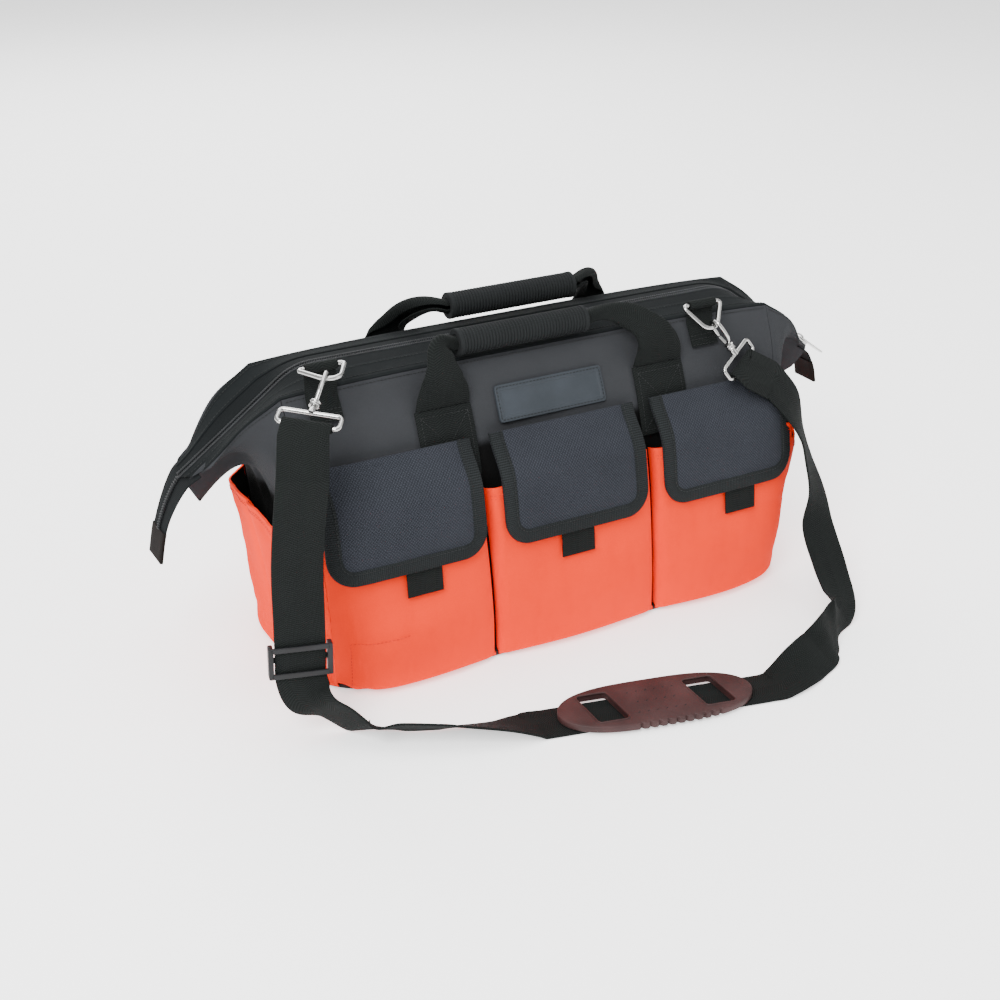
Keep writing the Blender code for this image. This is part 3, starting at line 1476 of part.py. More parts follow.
def strap_adjuster(frame):
    """A ladder-lock: three bars that pass before and behind the strap, between two rails."""
    reach = STRAP_WIDTH / 2 + ADJUSTER_CLEARANCE + ADJUSTER_RAIL / 2
    stand = STRAP / 2 + ADJUSTER_CLEARANCE + ADJUSTER_BAR
    tall = 2 * ADJUSTER_PITCH + 2 * ADJUSTER_BAR
    rails = []
    for sign in (-1, 1):
        place = frame @ Matrix.Translation((sign * reach, 0, 0))
        rails.append(box("rail", (ADJUSTER_RAIL, tall, 2 * stand), place, ADJUSTER))
    bars = []
    for k, face in ((-1, 1), (0, -1), (1, 1)):
        place = frame @ Matrix.Translation((0, k * ADJUSTER_PITCH, face * (stand - ADJUSTER_BAR / 2)))
        bars.append(box("bar", (2 * reach, 2 * ADJUSTER_BAR, ADJUSTER_BAR), place, ADJUSTER))
    body = fuse(rails[0], rails[1], *bars)
    body.name = "strap_adjuster"
    return body


def pad_outline():
    """The pad's plan: rounded ends, a bowed near edge with ribs and a nearly straight far edge."""
    half, wide = PAD_LENGTH / 2, PAD_WIDTH / 2
    outline = []
    for share in spread(4 * PAD_RIB_COUNT):
        x = mix(-half, half, share)
        taper = 1 - PAD_TAPER_SHARE * abs(2 * share - 1) ** 3.2
        inner = 0.30 < share < 0.75
        rib = PAD_RIB_DEPTH if inner and int(share * 4 * PAD_RIB_COUNT) % 2 else 0
        outline.append((x, -wide * taper + rib))
    for share in spread(12):
        x = mix(half, -half, share)
        taper = 1 - PAD_TAPER_SHARE * abs(2 * share - 1) ** 3.2
        outline.append((x, wide * taper))
    return outline


def shoulder_pad():
    """A moulded rubber pad with two slots that show the strap beneath it."""
    rest = STRAP + GAP
    frame = pad_frame() @ Matrix.Translation((0, 0, rest))
    body = prism("shoulder_pad", pad_outline(), PAD_THICKNESS, PAD_RUBBER, frame)
    slots = []
    for sign in (-1, 1):
        size = (*PAD_SLOT, 2 * (PAD_THICKNESS + OVERRUN))
        place = frame @ Matrix.Translation((sign * PAD_SLOT_OFFSET, 0, 0))
        slots.append(box("slot", size, place, PAD_RUBBER))
    return fuse(body, *slots, operation="DIFFERENCE")


def build():
    """Every piece of the bag."""
    body_panels()
    zip_assembly()
    pockets()
    flaps()
    name_patch()
    handles()
    for side in ("left", "right"):
        strap_fittings(side)
    shoulder_strap()


build()
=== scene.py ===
"""Looks of a zip-top tool bag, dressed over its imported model.

Woven walls and pockets, bound flaps, webbing handles, a coil zip, nickel fittings and a clip-on
shoulder strap. Metres, +Z up: the bag's length is along X and its front faces -Y.
"""

from __future__ import annotations

import json
import logging
import math
from dataclasses import dataclass, field
from enum import Enum
from functools import lru_cache
from typing import Callable, Sequence

import bmesh
import bpy
from mathutils import Matrix, Vector, noise
from mathutils.geometry import interpolate_bezier
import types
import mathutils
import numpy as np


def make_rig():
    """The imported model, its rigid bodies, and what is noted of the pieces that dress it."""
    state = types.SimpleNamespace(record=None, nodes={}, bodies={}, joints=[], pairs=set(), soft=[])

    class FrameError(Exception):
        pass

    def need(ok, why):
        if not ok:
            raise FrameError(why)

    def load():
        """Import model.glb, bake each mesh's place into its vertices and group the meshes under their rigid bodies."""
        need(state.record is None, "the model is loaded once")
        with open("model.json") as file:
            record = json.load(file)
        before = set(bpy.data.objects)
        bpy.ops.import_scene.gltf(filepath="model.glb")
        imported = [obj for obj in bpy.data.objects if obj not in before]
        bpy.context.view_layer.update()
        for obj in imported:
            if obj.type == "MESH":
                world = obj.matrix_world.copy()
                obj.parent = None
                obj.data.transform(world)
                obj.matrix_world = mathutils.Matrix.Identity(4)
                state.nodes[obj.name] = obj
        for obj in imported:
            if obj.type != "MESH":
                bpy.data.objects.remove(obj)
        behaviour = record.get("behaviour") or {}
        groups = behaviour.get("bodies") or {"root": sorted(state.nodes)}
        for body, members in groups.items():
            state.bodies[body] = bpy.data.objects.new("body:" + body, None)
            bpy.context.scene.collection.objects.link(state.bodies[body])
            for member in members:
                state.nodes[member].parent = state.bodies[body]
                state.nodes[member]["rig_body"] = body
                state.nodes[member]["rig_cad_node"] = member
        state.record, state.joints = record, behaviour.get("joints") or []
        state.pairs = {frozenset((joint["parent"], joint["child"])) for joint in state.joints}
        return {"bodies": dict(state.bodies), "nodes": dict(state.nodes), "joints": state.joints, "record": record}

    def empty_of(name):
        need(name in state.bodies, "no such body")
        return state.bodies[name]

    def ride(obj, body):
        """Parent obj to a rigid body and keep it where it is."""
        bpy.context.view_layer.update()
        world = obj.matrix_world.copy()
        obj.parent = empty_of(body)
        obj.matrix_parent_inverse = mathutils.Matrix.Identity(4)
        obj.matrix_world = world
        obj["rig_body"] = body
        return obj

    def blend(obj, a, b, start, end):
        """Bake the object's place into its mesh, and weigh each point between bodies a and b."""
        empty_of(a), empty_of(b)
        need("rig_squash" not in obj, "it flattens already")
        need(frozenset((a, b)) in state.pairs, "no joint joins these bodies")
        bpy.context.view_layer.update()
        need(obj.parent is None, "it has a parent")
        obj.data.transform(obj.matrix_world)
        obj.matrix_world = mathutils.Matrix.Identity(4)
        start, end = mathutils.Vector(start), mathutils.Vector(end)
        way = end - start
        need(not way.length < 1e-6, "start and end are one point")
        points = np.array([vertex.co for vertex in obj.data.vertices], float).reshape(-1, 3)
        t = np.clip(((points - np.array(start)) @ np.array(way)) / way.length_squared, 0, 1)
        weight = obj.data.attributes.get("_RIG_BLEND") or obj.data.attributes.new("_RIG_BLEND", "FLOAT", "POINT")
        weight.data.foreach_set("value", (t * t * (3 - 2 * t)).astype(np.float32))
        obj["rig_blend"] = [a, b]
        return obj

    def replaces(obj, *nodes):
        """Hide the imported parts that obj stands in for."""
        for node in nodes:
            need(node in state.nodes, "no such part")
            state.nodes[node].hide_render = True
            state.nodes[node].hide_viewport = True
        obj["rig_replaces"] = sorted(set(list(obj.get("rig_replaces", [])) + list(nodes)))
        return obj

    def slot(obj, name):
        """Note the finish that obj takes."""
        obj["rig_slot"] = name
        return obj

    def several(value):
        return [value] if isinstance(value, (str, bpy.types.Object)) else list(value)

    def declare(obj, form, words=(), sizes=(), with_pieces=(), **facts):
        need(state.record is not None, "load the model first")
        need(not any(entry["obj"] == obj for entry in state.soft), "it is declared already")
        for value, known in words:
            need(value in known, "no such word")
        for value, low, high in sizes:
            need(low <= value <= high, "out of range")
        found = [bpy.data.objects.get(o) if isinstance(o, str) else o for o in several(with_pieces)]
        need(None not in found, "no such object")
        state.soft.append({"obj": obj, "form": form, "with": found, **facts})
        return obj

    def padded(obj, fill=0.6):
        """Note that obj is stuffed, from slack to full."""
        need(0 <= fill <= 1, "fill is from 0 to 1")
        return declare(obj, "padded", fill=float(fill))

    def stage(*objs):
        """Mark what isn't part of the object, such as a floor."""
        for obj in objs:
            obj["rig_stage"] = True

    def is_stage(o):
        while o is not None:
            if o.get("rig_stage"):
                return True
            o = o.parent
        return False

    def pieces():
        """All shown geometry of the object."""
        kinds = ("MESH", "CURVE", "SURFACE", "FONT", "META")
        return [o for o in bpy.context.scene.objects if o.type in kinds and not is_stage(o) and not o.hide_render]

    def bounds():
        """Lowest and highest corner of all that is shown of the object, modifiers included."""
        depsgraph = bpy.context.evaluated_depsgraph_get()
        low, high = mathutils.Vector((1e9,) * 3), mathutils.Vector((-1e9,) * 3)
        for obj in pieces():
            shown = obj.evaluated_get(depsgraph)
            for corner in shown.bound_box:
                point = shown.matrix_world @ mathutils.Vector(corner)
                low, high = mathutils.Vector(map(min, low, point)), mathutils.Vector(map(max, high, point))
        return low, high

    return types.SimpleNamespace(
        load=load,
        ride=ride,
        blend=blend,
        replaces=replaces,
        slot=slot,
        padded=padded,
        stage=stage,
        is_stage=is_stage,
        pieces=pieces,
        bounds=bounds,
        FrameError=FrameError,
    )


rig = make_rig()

LOG = logging.getLogger("tool_bag")
UP = Vector((0, 0, 1))
ALONG_X = Vector((1, 0, 0))
ALONG_Y = Vector((0, 1, 0))
GAP = 0.0003
NUDGE = 0.002

Piece = bpy.types.Object
Grid = list[list[Vector]]
Station = tuple[Vector, Vector, Vector]


# Numbers and curves


def mix(one, two, share: float):
    """The value at a share of the way from one to the other."""
    return one + (two - one) * share


def smooth(share: float) -> float:
    """A share from 0 to 1 eased at both ends."""
    share = min(max(share, 0.0), 1.0)
    return share * share * (3 - 2 * share)


def spread(count: int) -> list[float]:
    """Evenly spaced shares from 0 to 1, in a number of steps."""
    return [k / count for k in range(count + 1)]


def through(points: Sequence, steps: int) -> list[Vector]:
    """A smooth curve through points.

    Args:
        points: What the curve passes through, of any dimension.
        steps: How many steps it takes between each two.

    Returns:
        The curve's points, the given ones among them.
    """
    points = [Vector(point) for point in points]
    padded = [points[0] * 2 - points[1], *points, points[-1] * 2 - points[-2]]
    curve = []
    for before, start, end, after in zip(padded, padded[1:], padded[2:], padded[3:]):
        for share in spread(steps)[:-1]:
            bend = (start * 2 + (end - before) * share
                    + (before * 2 - start * 5 + end * 4 - after) * share**2
                    + (start * 3 - before - end * 3 + after) * share**3)
            curve.append(bend / 2)
    curve.append(points[-1])
    return curve


def eased(stations: Sequence[tuple[Vector, Vector]], steps: int) -> list[tuple[Vector, Vector]]:
    """Strap stations joined by curves whose pulls are in step with how far apart they lie."""
    places = [0]
    for (one, _), (two, _) in zip(stations, stations[1:]):
        places.append(places[-1] + (two - one).length)
    last = len(stations) - 1
    rates = []
    for k in range(last + 1):
        low, high = max(k - 1, 0), min(k + 1, last)
        run = places[high] - places[low]
        rates.append([(two - one) / run for one, two in zip(stations[low], stations[high])])
    curve = []
    for k in range(last):
        third = (places[k + 1] - places[k]) / 3
        parts = []
        for one, two, leaving, coming in zip(stations[k], stations[k + 1], rates[k], rates[k + 1]):
            parts.append(interpolate_bezier(one, one + leaving * third, two - coming * third, two,
                                            steps + 1)[:-1])
        curve += list(zip(*parts))
    return curve + [stations[-1]]


def arc(centre: Sequence[float], radius: float, start: float, end: float,
        steps: int) -> list[tuple[float, float]]:
    """Points of an arc in a plane, by angles in radians."""
    angles = [mix(start, end, share) for share in spread(steps)]
    return [(centre[0] + radius * math.cos(a), centre[1] + radius * math.sin(a)) for a in angles]


def rounded(corners: Sequence, radii: Sequence[float], steps: int) -> list[tuple[float, float]]:
    """A closed outline whose corners are rounded, each by its own radius."""
    outline = []
    count = len(corners)
    for k in range(count):
        corner = Vector(corners[k])
        before = (Vector(corners[k - 1]) - corner).normalized()
        after = (Vector(corners[(k + 1) % count]) - corner).normalized()
        half = before.angle(after) / 2
        centre = corner + (before + after).normalized() * radii[k] / math.sin(half)
        start = corner + before * radii[k] / math.tan(half) - centre
        end = corner + after * radii[k] / math.tan(half) - centre
        first = math.atan2(start.y, start.x)
        turn = math.atan2(start.x * end.y - start.y * end.x, start.dot(end))
        outline += arc(centre, radii[k], first, first + turn, steps)
    return outline


def frame_of(origin: Vector, x_axis: Vector, y_axis: Vector) -> Matrix:
    """A frame from an origin and two directions that needn't be quite square."""
    z_axis = x_axis.cross(y_axis).normalized()
    x_axis = x_axis.normalized()
    turn = Matrix((x_axis, z_axis.cross(x_axis), z_axis)).transposed()
    return Matrix.Translation(origin) @ turn.to_4x4()


def along_path(centres: Sequence[Vector], halves: Sequence[Vector]) -> list[Station]:
    """Webbing stations whose face is square to the path and to the width.

    Args:
        centres: The webbing's middle line.
        halves: The vector half across the webbing at each point.

    Returns:
        A centre, a vector half across and a unit vector off the face for each point.
    """
    stations = []
    for k, (centre, half) in enumerate(zip(centres, halves)):
        heading = (centres[min(k + 1, len(centres) - 1)] - centres[max(k - 1, 0)]).normalized()
        square = (half - heading * half.dot(heading)).normalized() * half.length
        stations.append((centre, square, heading.cross(square).normalized()))
    return stations


def wrapped(bar: Vector, up: Vector, out: Vector, radius: float) -> list[Vector]:
    """Points of webbing folded round a bar, from its free end to where it leaves downwards."""
    angles = [math.radians(value) for value in range(-95, 186, 14)]
    return [bar + (out * math.cos(angle) + up * math.sin(angle)) * radius for angle in angles]


def slack(point: Vector, depth: float, size: float, seed: float) -> float:
    """How far loose fabric falls in at a point: soft hollows that never stand proud.

    Args:
        point: Where on the fabric.
        depth: The deepest hollow.
        size: How wide the hollows are.
        seed: Which of many patterns.

    Returns:
        A distance from -depth to 0.
    """
    value = noise.fractal(point / size + Vector((seed, seed, seed)), 1.0, 2.0, 3)
    return -depth * smooth(0.5 + value)


# Nodes


class Number:
    """A number in a material's nodes, so that shader maths reads as plain expressions."""

    def __init__(self, craft: "NodeCraft", socket: bpy.types.NodeSocket) -> None:
        """Wrap a socket."""
        self.craft = craft
        self.socket = socket

    def by(self, operation: str, *values) -> "Number":
        """The result of a Math node on some values."""
        node = self.craft.node("ShaderNodeMath", {"operation": operation}, dict(enumerate(values)))
        return Number(self.craft, node.outputs[0])

    def __add__(self, other) -> "Number":
        """The sum."""
        return self.by("ADD", self, other)

    def __radd__(self, other) -> "Number":
        """The sum, from the right."""
        return self.by("ADD", other, self)

    def __sub__(self, other) -> "Number":
        """The difference."""
        return self.by("SUBTRACT", self, other)

    def __rsub__(self, other) -> "Number":
        """The difference, from the right."""
        return self.by("SUBTRACT", other, self)

    def __mul__(self, other) -> "Number":
        """The product."""
        return self.by("MULTIPLY", self, other)

    def __rmul__(self, other) -> "Number":
        """The product, from the right."""
        return self.by("MULTIPLY", other, self)

    def __truediv__(self, other) -> "Number":
        """The quotient."""
        return self.by("DIVIDE", self, other)

    def sine(self) -> "Number":
        """The sine of an angle in radians."""
        return self.by("SINE", self)

    def size(self) -> "Number":
        """The number without its sign."""
        return self.by("ABSOLUTE", self)

    def between(self, low: float, high: float) -> "Number":
        """How far the number is on its way from low to high, from 0 to 1 and eased."""
        node = self.craft.node(
            "ShaderNodeMapRange", {"interpolation_type": "SMOOTHSTEP"},
            {"Value": self, "From Min": low, "From Max": high})
        return Number(self.craft, node.outputs[0])


class NodeCraft:
    """A node tree that grows one node at a time."""

    def __init__(self, tree: bpy.types.NodeTree) -> None:
        """Start from an empty tree."""
        self.tree = tree
        self.tree.nodes.clear()

    def node(self, kind: str, settings: dict | None = None, sockets: dict | None = None) -> bpy.types.Node:
        """Add a node.

        Args:
            kind: The node's type.
            settings: What the node itself is set to, with "stops" for a ramp's positions and colours.
            sockets: A value or a link for each input, by its name or number.

        Returns:
            The node.
        """
        made = self.tree.nodes.new(kind)
        for name, value in (settings or {}).items():
            if name == "stops":
                while len(made.color_ramp.elements) < len(value):
                    made.color_ramp.elements.new(1.0)
                for stop, (place, colour) in zip(made.color_ramp.elements, value):
                    stop.position, stop.color = place, (*colour, 1)
            else:
                setattr(made, name, value)
        for key, value in (sockets or {}).items():
            value = value.socket if isinstance(value, Number) else value
            if isinstance(value, bpy.types.NodeSocket):
                self.tree.links.new(value, made.inputs[key])
            else:
                made.inputs[key].default_value = value
        return made


class Look(NodeCraft):
    """A material under construction round one Principled shader."""

    def __init__(self, name: str, **constants) -> None:
        """Make the material, with what is the same all over set on the shader's own sockets."""
        self.material = bpy.data.materials.new(name)
        self.material.use_nodes = True
        super().__init__(self.material.node_tree)
        sockets = {key.replace("_", " "): value for key, value in constants.items()}
        self.shader = self.node("ShaderNodeBsdfPrincipled", sockets=sockets)
        self.node("ShaderNodeOutputMaterial", sockets={"Surface": self.shader.outputs[0]})
        self.object_place = self.node("ShaderNodeTexCoord").outputs["Object"]

    def cloth_place(self) -> tuple[Number, Number]:
        """Metres across and along the fabric, from the piece's own map."""
        place = self.node("ShaderNodeUVMap", {"uv_map": "cloth"}).outputs[0]
        parts = self.node("ShaderNodeSeparateXYZ", sockets={0: place})
        return Number(self, parts.outputs[0]), Number(self, parts.outputs[1])

    def height(self) -> Number:
        """The height above the ground."""
        return Number(self, self.node("ShaderNodeSeparateXYZ", sockets={0: self.object_place}).outputs[2])

    def grain(self, size: float, detail: float = 2.0, stretch: Sequence[float] = (1, 1, 1)) -> Number:
        """Soft random variation from about 0 to 1.

        Args:
            size: How wide its blotches are.
            detail: How many finer layers it has.
            stretch: How much longer it is each way.

        Returns:
            The variation.
        """
        scale = [1 / (size * value) for value in stretch]
        place = self.node("ShaderNodeMapping",
                          sockets={"Vector": self.object_place, "Scale": scale}).outputs[0]
        made = self.node("ShaderNodeTexNoise", sockets={"Vector": place, "Scale": 1.0, "Detail": detail})
        return Number(self, made.outputs[0])

    def shade(self, factor: Number, dark: Sequence[float], light: Sequence[float]) -> bpy.types.NodeSocket:
        """A colour between two by a factor."""
        sockets = {0: factor, 6: (*dark, 1), 7: (*light, 1)}
        return self.node("ShaderNodeMix", {"data_type": "RGBA"}, sockets).outputs[2]

    def finish(self, colour: bpy.types.NodeSocket, roughness: Number | None,
               relief: Number | None, depth: float) -> bpy.types.Material:
        """Connect the parts that vary over the surface.

        Args:
            colour: The base colour.
            roughness: The roughness, or None where it is the same all over.
            relief: The height pattern from about 0 to 1, or None.
            depth: How many metres that height is.

        Returns:
            The finished material.
        """
        self.tree.links.new(colour, self.shader.inputs["Base Color"])
        if roughness is not None:
            self.tree.links.new(roughness.socket, self.shader.inputs["Roughness"])
        if relief is not None:
            bump = self.node("ShaderNodeBump", sockets={"Height": relief, "Distance": depth, "Strength": 1.0})
            self.tree.links.new(bump.outputs[0], self.shader.inputs["Normal"])
        return self.material


class Weave(Enum):
    """How a cloth's yarns cross."""

    PLAIN = "plain"
    DIAMOND = "diamond"
    RIBBED = "ribbed"
    HERRINGBONE = "herringbone"


@dataclass(frozen=True)
class Cloth:
    """A woven finish: yarns at their real pitch and mottled colour, with painted highlight on the yarns' high spots
    and painted shade in their valleys.
    """

    name: str
    dark: tuple[float, float, float]
    light: tuple[float, float, float]
    weave: Weave
    pitch: float
    relief: float = 0.00025
    contrast: float = 0.40
    mottle: float = 0.25
    # Painted shade: below this height the cloth is turned near black, for the dark hollows inside the pockets, under
    # the ears and between the flaps.
    painted_shade_below: float = 0.0

    def pattern(self, look: Look) -> Number:
        """The height of the yarns, from 0 to 1."""
        across, along = look.cloth_place()
        turns = math.tau / self.pitch
        if self.weave is Weave.RIBBED:
            rib = (along * turns).sine() * 0.5 + 0.5
            fine = (across * turns * 0.8 + along * turns * 0.5).sine() * 0.5 + 0.5
            return rib * 0.75 + fine * 0.25
        if self.weave is Weave.HERRINGBONE:
            bone = across.by("PINGPONG", across / (self.pitch * 5), 1.0)
            rib = ((along / self.pitch + bone * 2.2) * math.tau).sine() * 0.5 + 0.5
            return rib * 0.8 + ((across * turns * 1.3).sine() * 0.5 + 0.5) * 0.2
        yarn = (across * turns).sine() * (along * turns).sine() * 0.5 + 0.5
        if self.weave is Weave.PLAIN:
            return yarn
        wide = math.tau / (self.pitch * 6)
        tick = ((across + along) * wide).sine() * ((across - along) * wide).sine()
        return tick.size().between(0.05, 0.75) * 0.7 + yarn * 0.3

    def make(self) -> bpy.types.Material:
        """The material."""
        look = Look(self.name, Sheen_Weight=0.01, Sheen_Roughness=0.5, Specular_IOR_Level=0.06)
        yarn = self.pattern(look)
        soft = look.grain(size=0.045, detail=3.0)
        fuzz = look.grain(size=0.0012, detail=1.0)
        # The yarn term is painted highlight on the high spots and painted shade in the valleys; soft and fuzz are the
        # cloth's own random tone.
        share = (yarn * self.contrast + soft * self.mottle + fuzz * 0.25
                 + (0.5 - (self.contrast + self.mottle + 0.25) * 0.5))
        colour = look.shade(share, self.dark, self.light)
        # Painted shade: below the given height the colour fades to near black, standing in for the shade inside the
        # pockets, under the ears and between the flaps.
        if self.painted_shade_below:
            inside = look.height().between(self.painted_shade_below + 0.004, self.painted_shade_below - 0.004)
            colour = look.node("ShaderNodeMix", {"data_type": "RGBA"},
                               {0: inside, 6: colour, 7: (0.003, 0.003, 0.003, 1)}).outputs[2]
        roughness = 0.78 + fuzz * 0.14
        return look.finish(colour, roughness, yarn * 0.8 + fuzz * 0.35, self.relief)


@dataclass(frozen=True)
class Metal:
    """Bright plate with faint polishing marks and dulled patches."""

    name: str
    colour: tuple[float, float, float] = (0.46, 0.46, 0.45)
    roughness: float = 0.14

    def make(self) -> bpy.types.Material:
        """The material."""
        look = Look(self.name, Metallic=1.0)
        patches = look.grain(size=0.006, detail=3.0)
        lines = look.grain(size=0.0006, detail=1.0, stretch=(1, 1, 6))
        colour = look.shade(patches, tuple(value * 0.86 for value in self.colour), self.colour)
        return look.finish(colour, self.roughness + patches * 0.10 + lines * 0.05, lines, 0.00002)


@dataclass(frozen=True)
class Moulding:
    """Moulded rubber or plastic: a fine grain, scuffed lighter in places."""

    name: str
    colour: tuple[float, float, float]
    roughness: float
    grain: float = 0.0012
    relief: float = 0.00012
    scuff: float = 1.5

    def make(self) -> bpy.types.Material:
        """The material."""
        look = Look(self.name, Specular_IOR_Level=0.25)
        pebbles = look.grain(size=self.grain, detail=2.0)
        patches = look.grain(size=0.030, detail=4.0)
        light = tuple(value * self.scuff + 0.001 for value in self.colour)
        colour = look.shade(patches.between(0.30, 0.80), tuple(v * 0.8 for v in self.colour), light)
        roughness = self.roughness + patches * 0.10 - pebbles * 0.06
        return look.finish(colour, roughness, pebbles, self.relief)


class Finishes:
    """Every finish on the bag, made once."""

    def __init__(self) -> None:
        """Make the materials."""
        grey, pale, black = (0.0175, 0.0184, 0.0202), (0.0365, 0.0383, 0.0420), (0.0024, 0.0027, 0.0027)
        # Heights below which each side's charcoal is painted near black as shade: between the flaps at the front,
        # behind the pockets and under the ears. So each side gets its own charcoal material.
        painted_shade_below = {Side.FRONT: 0.188, Side.BACK: 0.142, Side.LEFT: 0.160, Side.RIGHT: 0.140}
        self.charcoal = {
            side: Cloth(f"charcoal_{side.value}_weave", grey, pale, Weave.PLAIN, pitch=0.0010,
                        painted_shade_below=low).make()
            for side, low in painted_shade_below.items()}
        self.lining = Cloth("black_lining", (0.002, 0.002, 0.002), (0.005, 0.005, 0.005), Weave.PLAIN,
                            pitch=0.0010).make()
        self.facing = Cloth("facing_weave", black, (0.0125, 0.0150, 0.0160), Weave.PLAIN, pitch=0.0009).make()
        self.orange = Cloth("orange_weave", (0.70, 0.018, 0.001), (0.98, 0.040, 0.004), Weave.PLAIN,
                            pitch=0.0010, relief=0.00035, contrast=0.30, mottle=0.30).make()
        self.flap = Cloth("flap_diamond_weave", (0.0080, 0.0090, 0.0115), (0.0370, 0.0405, 0.0500),
                          Weave.DIAMOND,
                          pitch=0.0009, relief=0.0007, contrast=0.60).make()
        self.webbing = Cloth("black_webbing_weave", black, (0.0125, 0.0148, 0.0140), Weave.HERRINGBONE,
                             pitch=0.0018, relief=0.0005, contrast=0.55).make()
        self.binding = Cloth("black_binding_weave", black, (0.0215, 0.0245, 0.0255), Weave.RIBBED,
                             pitch=0.0017, relief=0.0005, contrast=0.55).make()
        self.tape = Cloth("zip_tape_weave", black, (0.0110, 0.0130, 0.0140), Weave.RIBBED, pitch=0.0012,
                          relief=0.0003).make()
        self.grip = Cloth("grip_sleeve", black, (0.0210, 0.0230, 0.0240), Weave.RIBBED, pitch=0.0022,
                          relief=0.0003).make()
        self.thread = Moulding("black_thread", (0.007, 0.008, 0.008), roughness=0.70, scuff=1.8).make()
        self.orange_thread = Moulding("orange_thread", (0.66, 0.018, 0.002), roughness=0.65, scuff=1.2).make()
        self.pad = Moulding("pad_rubber_grain", (0.034, 0.0145, 0.0140), roughness=0.60, grain=0.0014,
                            relief=0.0002, scuff=1.4).make()
        self.pad_mark = Moulding("pad_mark_grain", (0.012, 0.009, 0.009), roughness=0.60).make()
        self.patch = Moulding("patch_rubber_grain", (0.0200, 0.0250, 0.0310), roughness=0.62, grain=0.0010,
                              relief=0.0001, scuff=1.10).make()
        self.base = Moulding("base_moulding_grain", (0.006, 0.006, 0.006), roughness=0.62, grain=0.0014,
                             relief=0.0002, scuff=1.8).make()
        self.board = Moulding("base_board_grain", (0.030, 0.030, 0.030), roughness=0.72, grain=0.0030,
                              relief=0.0002).make()
        self.plastic = Moulding("adjuster_grain", (0.005, 0.005, 0.006), roughness=0.45, grain=0.0009,
                                relief=0.00005, scuff=1.6).make()
        self.coil = Moulding("zip_coil_grain", (0.007, 0.008, 0.009), roughness=0.50, grain=0.0008,
                             relief=0.00004, scuff=1.8).make()
        # The tab's webbing is black; its warm brown tint is painted bounce light from the orange pockets below.
        self.tail = Cloth("tail_webbing_weave", (0.003, 0.002, 0.002), (0.011, 0.008, 0.007), Weave.RIBBED,
                          pitch=0.0014).make()
        self.pile = Moulding("fastener_pile", (0.010, 0.010, 0.011), roughness=0.90, grain=0.0005,
                             relief=0.0006, scuff=2.2).make()
        self.nickel = Metal("bright_nickel").make()


# Meshes


def link(name: str, mesh: bpy.types.Mesh) -> Piece:
    """Put a mesh in the scene as a piece at the origin."""
    made = bpy.data.objects.new(name, mesh)
    bpy.context.scene.collection.objects.link(made)
    return made


def solid(name: str, points: Sequence, faces: Sequence, finish: bpy.types.Material,
          places: Sequence | None = None, angle: float = 40.0) -> Piece:
    """A piece from points and faces, facing outwards.

    Args:
        name: The piece's name.
        points: Its vertices.
        faces: Vertex numbers of each face.
        finish: Its material.
        places: Metres across and along the cloth at each vertex.
        angle: Edges sharper than this many degrees stay sharp.

    Returns:
        The piece.
    """
    mesh = bpy.data.meshes.new(name)
    mesh.from_pydata([tuple(point) for point in points], [], faces)
    if places is not None:
        layer = mesh.uv_layers.new(name="cloth")
        flat = [value for corner in mesh.loops for value in places[corner.vertex_index]]
        layer.data.foreach_set("uv", flat)
    bm = bmesh.new()
    bm.from_mesh(mesh)
    bmesh.ops.recalc_face_normals(bm, faces=bm.faces)
    bm.to_mesh(mesh)
    bm.free()
    mesh.materials.append(finish)
    mesh.shade_smooth()
    mesh.set_sharp_from_angle(angle=math.radians(angle))
    return link(name, mesh)


def shell(name: str, outer: Grid, inner: Grid, finish: bpy.types.Material, places: Sequence,
          lining: bpy.types.Material | None = None) -> Piece:
    """A closed sheet between two grids of points.

    Args:
        name: The piece's name.
        outer: One face, as rows of points.
        inner: The other face, with the same rows and columns.
        finish: Its material.
        places: Metres across and along the cloth, as rows.
        lining: The inner face's material, where it is another one.

    Returns:
        The piece.
    """
    rows, columns = len(outer), len(outer[0])
    whole = rows * columns
    points = [point for grid in (outer, inner) for row in grid for point in row]
    flat = [place for row in places for place in row] * 2
    faces = []
    for base in (0, whole):
        for i in range(rows - 1):
            start = base + i * columns
            faces += [(start + j, start + columns + j, start + columns + j + 1, start + j + 1)
                      for j in range(columns - 1)]
    rim = list(range(columns))
    rim += [i * columns + columns - 1 for i in range(1, rows)]
    rim += [(rows - 1) * columns + j for j in range(columns - 2, -1, -1)]
    rim += [i * columns for i in range(rows - 2, 0, -1)]
    faces += [(a, b, whole + b, whole + a) for a, b in zip(rim, rim[1:] + rim[:1])]
    piece = solid(name, points, faces, finish, flat)
    if lining:
        piece.data.materials.append(lining)
        one = (rows - 1) * (columns - 1)
        for face in list(piece.data.polygons)[one:2 * one]:
            face.material_index = 1
    return piece


def loft(name: str, rings: Sequence, finish: bpy.types.Material, places: Sequence | None = None,
         cyclic: bool = False, angle: float = 40.0) -> Piece:
    """A closed body through rings of points, capped at both ends unless it is cyclic."""
    count = len(rings[0])
    points = [point for ring in rings for point in ring]
    faces = []
    pairs = [(k, k + 1) for k in range(len(rings) - 1)]
    if cyclic:
        pairs.append((len(rings) - 1, 0))
    for one, two in pairs:
        faces += [(one * count + k, one * count + (k + 1) % count, two * count + (k + 1) % count,
                   two * count + k)
                  for k in range(count)]
    if not cyclic:
        faces.append(tuple(reversed(range(count))))
        faces.append(tuple(range((len(rings) - 1) * count, len(rings) * count)))
    flat = [place for ring in places for place in ring] if places else None
    return solid(name, points, faces, finish, flat, angle)


